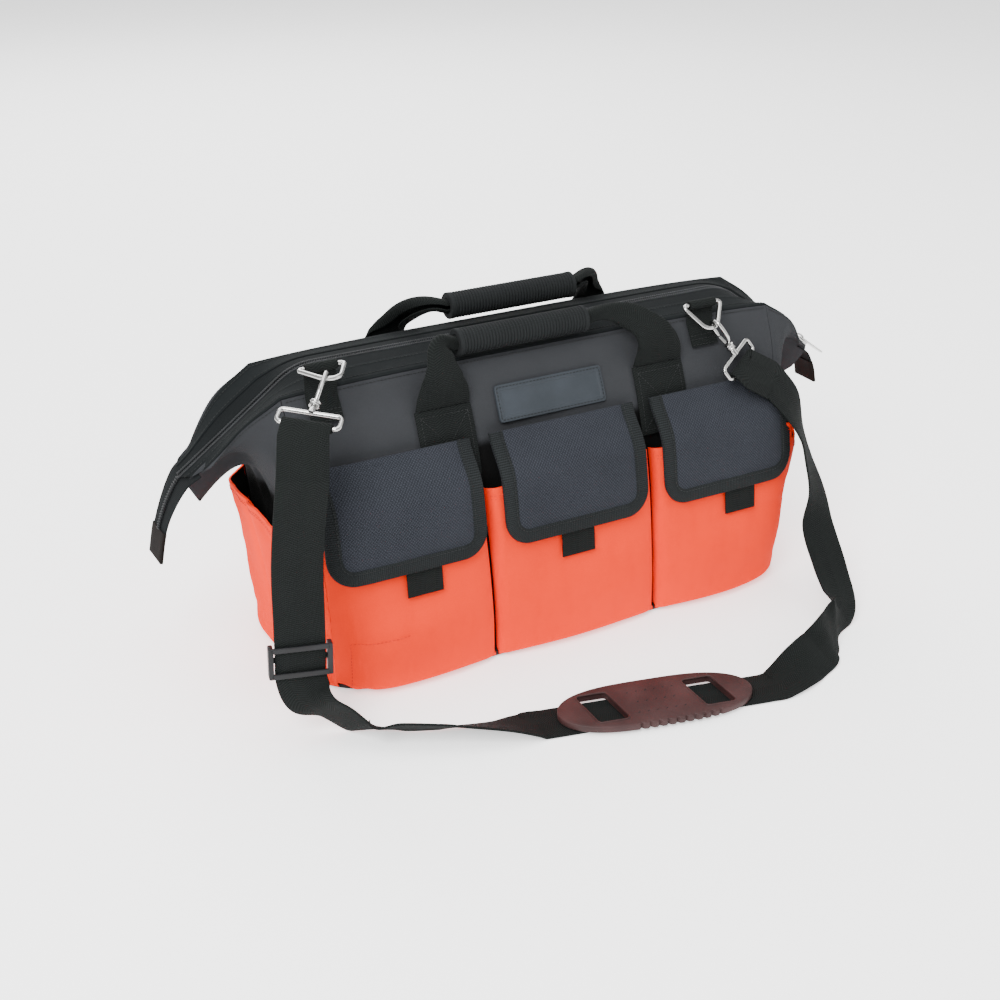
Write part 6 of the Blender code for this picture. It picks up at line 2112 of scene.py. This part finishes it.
@dataclass
class StrapFitting:
    """A ring in its webbing loop, and the snap hook, gate and swivel eye that the strap hangs on."""

    bench: Bench
    side: Side
    place: tuple[float, float, float]
    pitch: float
    reach: float
    length: float
    heading: tuple[float, float, float]
    eye_heading: tuple[float, float, float]
    ring_wire: float = 0.0020
    ring_bar: float = 0.040
    ring_corner: float = 0.0025
    ring_apex: float = 0.0100
    loop_width: float = 0.027
    loop_tail_z: float = 0.226
    web: float = 0.0016
    wire: float = 0.00175
    bow: float = 0.0058
    nose: float = 0.0095
    barrel: tuple[float, float] = (0.0042, 0.0055)
    gate: tuple[float, float] = (0.0030, 0.0014)
    eye_inside: float = 0.0445
    eye_height: float = 0.0120
    eye_corner: float = 0.0035

    @property
    def neck(self) -> float:
        """Where the barrel starts along the hook."""
        return self.length - self.bow - self.eye_height / 2 - self.barrel[1]

    def ring_heading(self) -> Vector:
        """The direction from the ring's bar to its apex."""
        return Vector((0, -math.cos(self.pitch), math.sin(self.pitch)))

    def seat(self) -> Vector:
        """Where the hook's bow is centred, bearing on the ring's apex."""
        heading, pull = self.ring_heading(), Vector(self.heading).normalized()
        lean = math.atan2(pull.x, pull.dot(heading))
        apex = Vector((math.sin(lean), math.cos(lean))) * self.ring_apex
        reach = self.reach - self.ring_apex + apex.y
        spot = Vector(self.place) + ALONG_X * apex.x + heading * reach
        return spot + pull * (self.bow - self.ring_wire - self.wire - 2 * GAP)

    def hook_frame(self) -> Matrix:
        """The hook's frame, turned about its shank to the ring's wire, Y towards the eye."""
        heading = Vector(self.heading).normalized()
        frame = frame_of(self.seat(), Vector(self.eye_heading).cross(heading).cross(heading) * -1, heading)
        local = frame.to_3x3().inverted() @ ALONG_X
        return frame @ Matrix.Rotation(math.atan2(local.x, local.z), 4, "Y")

    def eye_frame(self) -> Matrix:
        """The eye's frame: X along its long side, Y away from the hook, at its centre."""
        heading = Vector(self.heading).normalized()
        across = Vector(self.eye_heading)
        across -= heading * across.dot(heading)
        return frame_of(self.seat() + heading * self.length, across, heading)

    def ring(self) -> None:
        """The triangular wire ring with its brazed joint on the bar."""
        half, tip = self.ring_bar / 2, self.reach
        for _ in range(12):
            tip = self.reach + self.ring_apex * (math.hypot(half, tip) / half - 1)
        outline = rounded([(-half, 0), (half, 0), (0, tip)],
                          [self.ring_corner, self.ring_corner, self.ring_apex], 10)
        frame = frame_of(Vector(self.place), ALONG_X, self.ring_heading())
        nickel = self.bench.finishes.nickel
        wire = rod("wire", [frame @ Vector((x, y, 0)) for x, y in outline], self.ring_wire, nickel, True, 18)
        name = "strap_ring_" + self.side.value
        settle(joined(name + "_wire", wire), "ring_" + self.side.value, "nickel", name)

    def loop(self) -> None:
        """The webbing loop folded round the ring's bar and sewn to the panel."""
        place = Vector(self.place)
        flattest = abs(place.x) - self.loop_width / 2
        path = wrapped(place, UP, -ALONG_Y, self.ring_wire + GAP + self.web / 2)
        for share in (0.75, 0.5, 0.25, 0.0):
            face = WALL.at(Side.FRONT, flattest, mix(self.loop_tail_z, WALL.front_seam[1], share),
                           2 * GAP + self.web / 2)
            path.append(Vector((place.x, face.y, face.z)))
        stations = along_path(path, [ALONG_X * self.loop_width / 2] * len(path))
        name = "ring_loop_" + self.side.value
        settle(webbing(name + "_web", stations, self.web, self.bench.finishes.webbing), "bag",
               "black_webbing", name)
        lines = []
        for k, share in ((-3, 0.6), (-2, 0.1), (-2, 0.8)):
            centre = stations[k][0].lerp(stations[k + 1][0], share)
            _, half, off = stations[k]
            front = off if off.y < 0 else -off
            lines.append([centre + half * a + front * (self.web / 2 + 0.0002)
                          for a in (-0.86, -0.3, 0.3, 0.86)])
        settle(self.bench.box.sew(name + "_stitches", lines, self.bench.finishes.thread), "bag",
               "black_webbing")

    def hook(self) -> None:
        """The wire hook with its turned barrel."""
        neck, bow, frame, nickel = self.neck, self.bow, self.hook_frame(), self.bench.finishes.nickel
        points = [(-bow, self.nose), (-bow, self.nose * 0.5)] + arc((0, 0), bow, math.pi, math.tau, 12)
        points += [(bow * 1.05, neck * 0.40), (bow * 0.85, neck * 0.66), (bow * 0.35, neck * 0.88), (0, neck)]
        path = through([(x, y, 0) for x, y in points], 4)
        path.append(Vector((0, neck + self.barrel[1] / 2, 0)))
        sizes = [self.wire * min(1, 0.55 + 0.25 * k) for k in range(len(path))]
        wire = rod("wire", [frame @ point for point in path], sizes, nickel, sides=16)
        radius, tall = self.barrel
        stand = frame @ Matrix.Translation((0, neck, 0)) @ Matrix.Rotation(-math.pi / 2, 4, "X")
        profile = [(radius * 0.72, 0), (radius * 0.97, 0.0005), (radius, 0.0012), (radius * 0.90, 0.0016),
                   (radius * 0.86, tall / 2), (radius * 0.90, tall - 0.0016), (radius, tall - 0.0012),
                   (radius * 0.97, tall - 0.0004), (radius * 0.75, tall)]
        barrel = spun("barrel", profile, stand, nickel, 24)
        name = "snap_hook_" + self.side.value
        settle(joined(name + "_cast", wire, barrel), "hook_" + self.side.value, "nickel", name)

    def sprung_gate(self) -> None:
        """The flat gate from the barrel to the hook's nose."""
        wide, thick = self.gate
        low = Vector((-self.wire - thick / 2 - GAP, self.neck - thick * 0.6, 0))
        high = Vector((-self.bow, self.nose + 3 * GAP, 0))
        frame = self.hook_frame()
        turn = frame.to_3x3()
        heading = turn @ (high - low).normalized()
        width = turn @ Vector((0, 0, wide / 2))
        off = heading.cross(width).normalized()
        swell = ((0, 0.7), (0.06, 0.95), (0.2, 1), (0.5, 0.92), (0.8, 1), (0.94, 0.95), (1, 0.7))
        stations = [(frame @ low.lerp(high, share), width * size, off) for share, size in swell]
        name = "hook_gate_" + self.side.value
        plate = webbing(name + "_plate", stations, thick, self.bench.finishes.nickel)
        settle(plate, "gate_" + self.side.value, "nickel", name)

    def eye(self) -> None:
        """The rounded rectangle for the strap, with its stem in the hook's barrel."""
        half, rise, frame = self.eye_inside / 2 + self.wire, self.eye_height / 2, self.eye_frame()
        outline = rounded([(-half, -rise), (half, -rise), (half, rise), (-half, rise)],
                          [self.eye_corner] * 4, 8)
        nickel = self.bench.finishes.nickel
        wire = rod("wire", [frame @ Vector((x, y, 0)) for x, y in outline], self.wire, nickel, True, 16)
        base = frame @ Matrix.Translation((0, -rise, 0)) @ Matrix.Rotation(math.pi / 2, 4, "X")
        stem = self.bow - GAP
        radius = self.barrel[0] * 0.7
        profile = [(radius * 0.6, -0.0012), (radius * 1.08, -0.0004), (radius * 1.08, 0.0010),
                   (radius, 0.0018),
                   (radius, stem - 0.0008), (radius * 0.8, stem)]
        post = spun("post", profile, base, nickel, 20)
        name = "swivel_eye_" + self.side.value
        settle(joined(name + "_cast", wire, post), "ring_" + self.side.value, "nickel", name)

    def build(self) -> None:
        """Make everything that belongs to one end of the strap."""
        self.loop()
        self.ring()
        self.hook()
        self.sprung_gate()
        self.eye()


# Shoulder strap


@dataclass
class ShoulderStrap:
    """The strap from eye to eye, with its adjuster and its rubber pad."""

    bench: Bench
    left: StrapFitting
    right: StrapFitting
    width: float = 0.039
    thickness: float = 0.0020
    reach: float = 0.250
    height: float = 0.250
    steps: int = 10
    run_out: tuple[float, float] = (0.8, 0.5)
    pad_size: tuple[float, float, float] = (0.165, 0.061, 0.0060)
    pad_centre: tuple[float, float] = (0.000, -0.226)
    pad_turn: float = math.radians(-13)
    pad_travel: float = 0.010
    pad_run_out: float = 0.006
    pad_round: float = 3.2
    pad_notches: int = 22
    pad_lean: float = 0.004
    slot: tuple[float, float] = (0.027, 0.041)
    slot_offset: float = 0.0455
    hanging_left: tuple = (
        (-1.115, -0.512, 0.871, 0.93, -0.34, -0.10), (-1.141, -0.520, 0.728, 0.97, -0.24, -0.08),
        (-1.159, -0.528, 0.595, 0.97, -0.24, -0.03), (-1.166, -0.533, 0.429, 0.97, -0.24, -0.03),
        (-1.172, -0.537, 0.300, 0.97, -0.24, -0.03), (-1.174, -0.539, 0.235, 0.97, -0.25, -0.03),
        (-1.152, -0.556, 0.165, 0.86, -0.50, -0.02), (-1.075, -0.585, 0.110, 0.60, -0.78, 0.15))
    lying_left: tuple = (
        (-0.982, -0.620, 0.000, 0.30, -0.85, 0.43), (-0.885, -0.680, 0.000, 0.08, -0.80, 0.60),
        (-0.764, -0.735, 0.000, -0.18, -0.76, 0.61), (-0.714, -0.752, 0.000, -0.37, -0.72, 0.56),
        (-0.571, -0.800, 0.000, -0.44, -0.80, 0.41), (-0.470, -0.814, 0.000, -0.30, -0.94, 0.16))
    lying_right: tuple = (
        (0.470, -1.000, 0.000, -0.20, -0.97, -0.08), (0.602, -0.980, 0.000, -0.29, -0.80, -0.50),
        (0.695, -0.952, 0.000, -0.20, -0.76, -0.62), (0.770, -0.916, 0.000, 0.30, -0.35, -0.85),
        (0.861, -0.852, 0.000, 0.69, 0.45, -0.55))
    hanging_right: tuple = (
        (0.962, -0.767, 0.081, 0.93, 0.25, -0.27), (1.017, -0.644, 0.151, 0.98, 0.05, -0.18),
        (1.059, -0.520, 0.249, 0.98, 0.10, -0.14), (1.079, -0.472, 0.359, 0.85, 0.43, -0.31),
        (1.060, -0.432, 0.478, 0.71, 0.57, -0.41), (1.045, -0.400, 0.569, 0.67, 0.73, -0.16),
        (1.004, -0.368, 0.684, 0.78, 0.56, 0.29), (0.940, -0.332, 0.767, 0.91, 0.38, 0.18))

    def station(self, shares: Sequence[float]) -> tuple[Vector, Vector]:
        """A place on the strap with the vector half across, on the ground where it lies there."""
        x, y, z, *across = shares
        half = Vector(across).normalized() * self.width / 2
        centre = Vector((x * WALL.length / 2, y * self.reach, z * self.height))
        if z == 0:
            centre.z = abs(half.z) + self.thickness / 2
        return centre, half

    def end(self, fitting: StrapFitting, first: Vector, run_out: float) -> list[tuple[Vector, Vector]]:
        """The strap's end folded round an eye's bar, from its free end."""
        frame = fitting.eye_frame()
        bar = frame @ Vector((0, fitting.eye_height / 2, 0))
        half = frame.to_3x3() @ Vector((self.width / 2, 0, 0))
        width = half.normalized()
        down = first - bar
        down = (down - width * down.dot(width)).normalized()
        out = width.cross(down)
        if out.y > 0:
            out = -out
        points = wrapped(bar, -down, -out, fitting.wire + GAP + self.thickness / 2)
        points.append(points[-1] + down * fitting.eye_height * run_out)
        return [(point, half) for point in points]

    def pad_frame(self) -> Matrix:
        """The pad's frame on the ground, X along it."""
        return Matrix.Translation((*self.pad_centre, 0)) @ Matrix.Rotation(self.pad_turn, 4, "Z")

    def stations(self) -> tuple[list[Station], int, int]:
        """Every station from eye to eye, and where the stretch on the ground starts and ends."""
        frame = self.pad_frame()
        across = frame.to_3x3() @ Vector((0, -self.width / 2, 0))
        left = [self.station(row) for row in self.hanging_left]
        lying = [self.station(row) for row in self.lying_left]
        flat = self.pad_size[0] / 2 + self.pad_travel
        for along in (-flat - self.pad_run_out, -flat, 0, flat, flat + self.pad_run_out):
            lying.append((frame @ Vector((along, 0, self.thickness / 2)), across))
        lying += [self.station(row) for row in self.lying_right]
        right = [self.station(row) for row in self.hanging_right]
        given = left + lying + right
        start = self.end(self.left, left[0][0], self.run_out[0])
        back = list(reversed(self.end(self.right, right[-1][0], self.run_out[1])))
        middle = [(centre, half.normalized() * self.width / 2) for centre, half in eased(given, self.steps)]
        run = start + middle + back
        first = len(start) + self.steps * len(left)
        last = first + self.steps * (len(lying) - 1)
        placed = along_path([centre for centre, _ in run], [half for _, half in run])
        lifted = []
        for centre, half, off in placed:
            lowest = abs(half.z) + abs(off.z) * self.thickness / 2
            lifted.append((Vector((centre.x, centre.y, max(centre.z, lowest))), half, off))
        return lifted, first, last

    def web(self) -> None:
        """The three stretches: two that hang from the rings and one that lies on the ground."""
        stations, first, last = self.stations()
        webbing_look = self.bench.finishes.webbing
        lying = webbing("strap_front_web", stations[first:last + 1], self.thickness, webbing_look)
        settle(lying, "bag", "black_webbing", "strap_front")
        for name, span, ring, low in (("left", stations[:first + 1], "ring_left", 0.155),
                                      ("right", stations[last:], "ring_right", 0.060)):
            piece = webbing(f"strap_{name}_web", span, self.thickness, webbing_look)
            top = max(span, key=lambda station: station[0].z)[0]
            end = min(span, key=lambda station: abs(station[0].z - low))[0]
            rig.blend(piece, ring, "bag", start=tuple(top - UP * 0.018), end=tuple(end))
            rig.replaces(piece, "strap_" + name)
            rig.slot(piece, "black_webbing")
            LOG.info("%s hangs from %s", piece.name, ring)

    def adjuster(self) -> None:
        """The ladder-lock on the hanging strap: ribbed bars between two rails."""
        low, half = self.station(self.hanging_left[4])
        heading = (self.station(self.hanging_left[2])[0] - low).normalized()
        frame = frame_of(low, half - heading * half.dot(heading), heading)
        plastic, clear, bar, pitch, rail = self.bench.finishes.plastic, 0.0010, 0.0022, 0.011, 0.0040
        reach = self.width / 2 + clear + rail / 2
        stand = self.thickness / 2 + clear + bar
        parts = []
        for sign in (-1, 1):
            outline = rounded([(-rail / 2, -pitch - bar), (rail / 2, -pitch - bar), (rail / 2, pitch + bar),
                               (-rail / 2, pitch + bar)], [0.0012] * 4, 5)
            place = frame @ Matrix.Translation((sign * reach, 0, 0))
            parts.append(prism("rail", outline, -stand, stand, place, plastic, 0.0007))
        for k, face in ((-1, 1), (0, -1), (1, 1)):
            outline = rounded([(-reach, -bar), (reach, -bar), (reach, bar), (-reach, bar)], [0.0008] * 4, 4)
            place = frame @ Matrix.Translation((0, k * pitch, face * (stand - bar / 2)))
            parts.append(prism("bar", outline, -bar / 2, bar / 2, place, plastic, 0.0006))
        settle(joined("strap_adjuster_lock", *parts), "adjuster", "adjuster_plastic", "strap_adjuster")

    def pad_edge(self, x: float) -> float:
        """Half the pad's width at a place along it."""
        return self.pad_size[1] / 2 * math.sqrt(max(1 - abs(2 * x / self.pad_size[0]) ** self.pad_round, 0))

    def pad(self) -> None:
        """The moulded pad: two slots with raised rims, a scalloped near edge and small raised dashes."""
        long, _, thick = self.pad_size
        frame = self.pad_frame() @ Matrix.Translation((0, 0, self.thickness + GAP))
        outline = []
        for share in spread(240)[1:]:
            x = -long / 2 * math.cos(math.pi * share)
            inner = smooth((x + 0.030) / 0.004) * smooth((0.048 - x) / 0.004)
            notch = 0.0024 * inner * smooth(math.cos(math.tau * x / long * self.pad_notches) - 0.2)
            outline.append((x, notch - self.pad_edge(x)))
        for share in spread(90)[1:]:
            x = long / 2 * math.cos(math.pi * share)
            outline.append((x, self.pad_edge(x)))
        rubber = self.bench.finishes.pad
        body = prism("body", outline, 0.0, thick, frame, rubber, 0.0012)
        wide, tall = self.slot
        lips = []
        for sign in (-1, 1):
            corners = [(sign * self.slot_offset + a * wide / 2 - b * self.pad_lean, b * tall / 2)
                       for a, b in ((-1, -1), (1, -1), (1, 1), (-1, 1))]
            hole = rounded(corners, [0.004] * 4, 8)
            cutter = prism("slot", hole, -0.004, thick + 0.004, frame, rubber)
            cut = body.modifiers.new("slot", "BOOLEAN")
            cut.operation, cut.solver, cut.object = "DIFFERENCE", "EXACT", cutter
            graph = bpy.context.evaluated_depsgraph_get()
            mesh = bpy.data.meshes.new_from_object(body.evaluated_get(graph))
            body.modifiers.clear()
            body.data = mesh
            bpy.data.objects.remove(cutter, do_unlink=True)
            rim = [frame @ Vector((x, y, thick - 0.0002)) for x, y in hole]
            lips.append(rod("lip", rim, 0.0009, rubber, True, 10))
        body.data.shade_smooth()
        body.data.set_sharp_from_angle(angle=math.radians(40))
        lines = []
        for row, count in ((-0.24, 6), (0.0, 5), (0.24, 6)):
            for k in range(count):
                x = (k - (count - 1) / 2) * 0.0078
                y = row * self.pad_size[1]
                lines.append([frame @ Vector((x, y, thick)), frame @ Vector((x + 0.0030, y + 0.0022, thick))])
        values = {"Pitch": 0.01, "Length": 0.0030, "Radius": 0.00045,
                  "Material": self.bench.finishes.pad_mark}
        dashes = self.bench.box.stitch.grow("dashes", lines, values)
        settle(joined("shoulder_pad_moulding", body, *lips, dashes), "pad", "pad_rubber", "shoulder_pad")

    def build(self) -> None:
        """Make the strap and what it carries."""
        self.web()
        self.adjuster()
        self.pad()


# Studio


@dataclass(frozen=True)
class Lamp:
    """One square area lamp, by its place, its width and its power."""

    name: str
    place: tuple[float, float, float]
    size: float
    watts: float


@dataclass
class Studio:
    """A pale floor, soft lights and the camera at the photograph's viewing angle."""

    eye: tuple[float, float, float] = (-0.6148, -1.0766, 0.6941)
    target: tuple[float, float, float] = (-0.0115, 0.0115, 0.0872)
    lens: float = 55.44
    sensor: float = 36.0
    near: float = 0.01
    floor_z: float = -0.0006
    floor_half: float = 6.0
    floor_tone: float = 0.97
    floor_roughness: float = 0.9
    floor_glow: float = 0.9
    sky: float = 0.72
    white: tuple[float, float, float, float] = (1, 1, 1, 1)
    lit_point: tuple[float, float, float] = (0, 0, 0.1)
    lamps: tuple[Lamp, ...] = (
        Lamp("key", (-1.5, -1.3, 1.9), size=1.2, watts=108),
        Lamp("fill", (1.9, -1.5, 1.3), size=1.8, watts=20),
        Lamp("back", (0.3, 2.2, 2.0), size=2.2, watts=90),
        Lamp("above", (0.0, -0.2, 2.4), size=2.0, watts=46))

    def floor(self) -> None:
        """The floor that the bag stands on."""
        half, z = self.floor_half, self.floor_z
        mesh = bpy.data.meshes.new("floor")
        mesh.from_pydata([(-half, -half, z), (half, -half, z), (half, half, z), (-half, half, z)],
                         [], [(0, 1, 2, 3)])
        look = Look("pale_floor", Roughness=self.floor_roughness)
        look.shader.inputs["Base Color"].default_value = (*[self.floor_tone] * 3, 1)
        look.shader.inputs["Emission Color"].default_value = self.white
        look.shader.inputs["Emission Strength"].default_value = self.floor_glow
        mesh.materials.append(look.material)
        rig.stage(link("floor", mesh))

    def lights(self) -> None:
        """A key from the upper left, a fill from the right, broad lamps behind and above, and a pale sky."""
        for lamp in self.lamps:
            light = bpy.data.lights.new(lamp.name, "AREA")
            light.shape, light.size, light.energy = "SQUARE", lamp.size, lamp.watts
            made = bpy.data.objects.new(lamp.name, light)
            made.matrix_world = self.aimed(Vector(lamp.place), Vector(self.lit_point))
            bpy.context.scene.collection.objects.link(made)
        world = bpy.data.worlds.new("studio")
        world.use_nodes = True
        sky = world.node_tree.nodes["Background"]
        sky.inputs["Color"].default_value = self.white
        sky.inputs["Strength"].default_value = self.sky
        bpy.context.scene.world = world

    @staticmethod
    def aimed(place: Vector, target: Vector) -> Matrix:
        """A frame at a place that looks at a target."""
        return Matrix.Translation(place) @ (target - place).to_track_quat("-Z", "Y").to_matrix().to_4x4()

    def camera(self) -> None:
        """The camera."""
        lens = bpy.data.cameras.new("camera")
        lens.lens, lens.sensor_width, lens.clip_start = self.lens, self.sensor, self.near
        made = bpy.data.objects.new("camera", lens)
        made.matrix_world = self.aimed(Vector(self.eye), Vector(self.target))
        bpy.context.scene.collection.objects.link(made)
        bpy.context.scene.camera = made

    def build(self) -> None:
        """Set up the studio."""
        self.floor()
        self.lights()
        self.camera()


def corners(box: Sequence) -> list[list[float]]:
    """A box's two corners as plain lists."""
    return [[float(value) for value in corner] for corner in box]


# Each flap's name, its centre along the bag, and how far its pull tab lies to one side
FLAP_PLACES = (("left", -0.156, 0.012), ("middle", 0.0, 0.0), ("right", 0.156, 0.012))


def main() -> None:
    """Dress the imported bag."""
    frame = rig.load()
    solid_box = corners(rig.bounds())
    Studio().build()
    bench = Bench()
    Body(bench).build(frame["nodes"])
    Zip(bench).build()
    pockets(bench)
    for name, centre, aside in FLAP_PLACES:
        Flap(bench, name, centre, tab_aside=aside).build()
    NamePatch(bench).build()
    Handle(bench, Side.FRONT, grip=(-0.022, -0.042, 0.267), bow=(-0.012, 0.040)).build()
    Handle(bench, Side.BACK, grip=(0.0, 0.015, 0.277), bow=(0.004, 0.038)).build()
    left = StrapFitting(bench, Side.LEFT, place=(-0.200, -0.046, 0.270), pitch=math.radians(-3), reach=0.0245,
                        length=0.0390,
                        heading=(-0.60, -0.66, -0.45), eye_heading=(0.742, -0.620, -0.078))
    right = StrapFitting(bench, Side.RIGHT, place=(0.156, -0.0465, 0.262), pitch=math.radians(-46),
                         reach=0.0240, length=0.0360,
                         heading=(0.48, -0.32, -0.815), eye_heading=(0.755, 0.503, 0.419))
    left.build()
    right.build()
    ShoulderStrap(bench, left, right).build()
    with_looks = corners(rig.bounds())
    with open("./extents.json", "w") as kept:
        json.dump({"cad": solid_box, "visual": with_looks}, kept)
    LOG.info("solid box %s, dressed box %s", solid_box, with_looks)


if __name__ == "__main__":
    logging.basicConfig(level=logging.INFO, format="%(message)s")
    main()
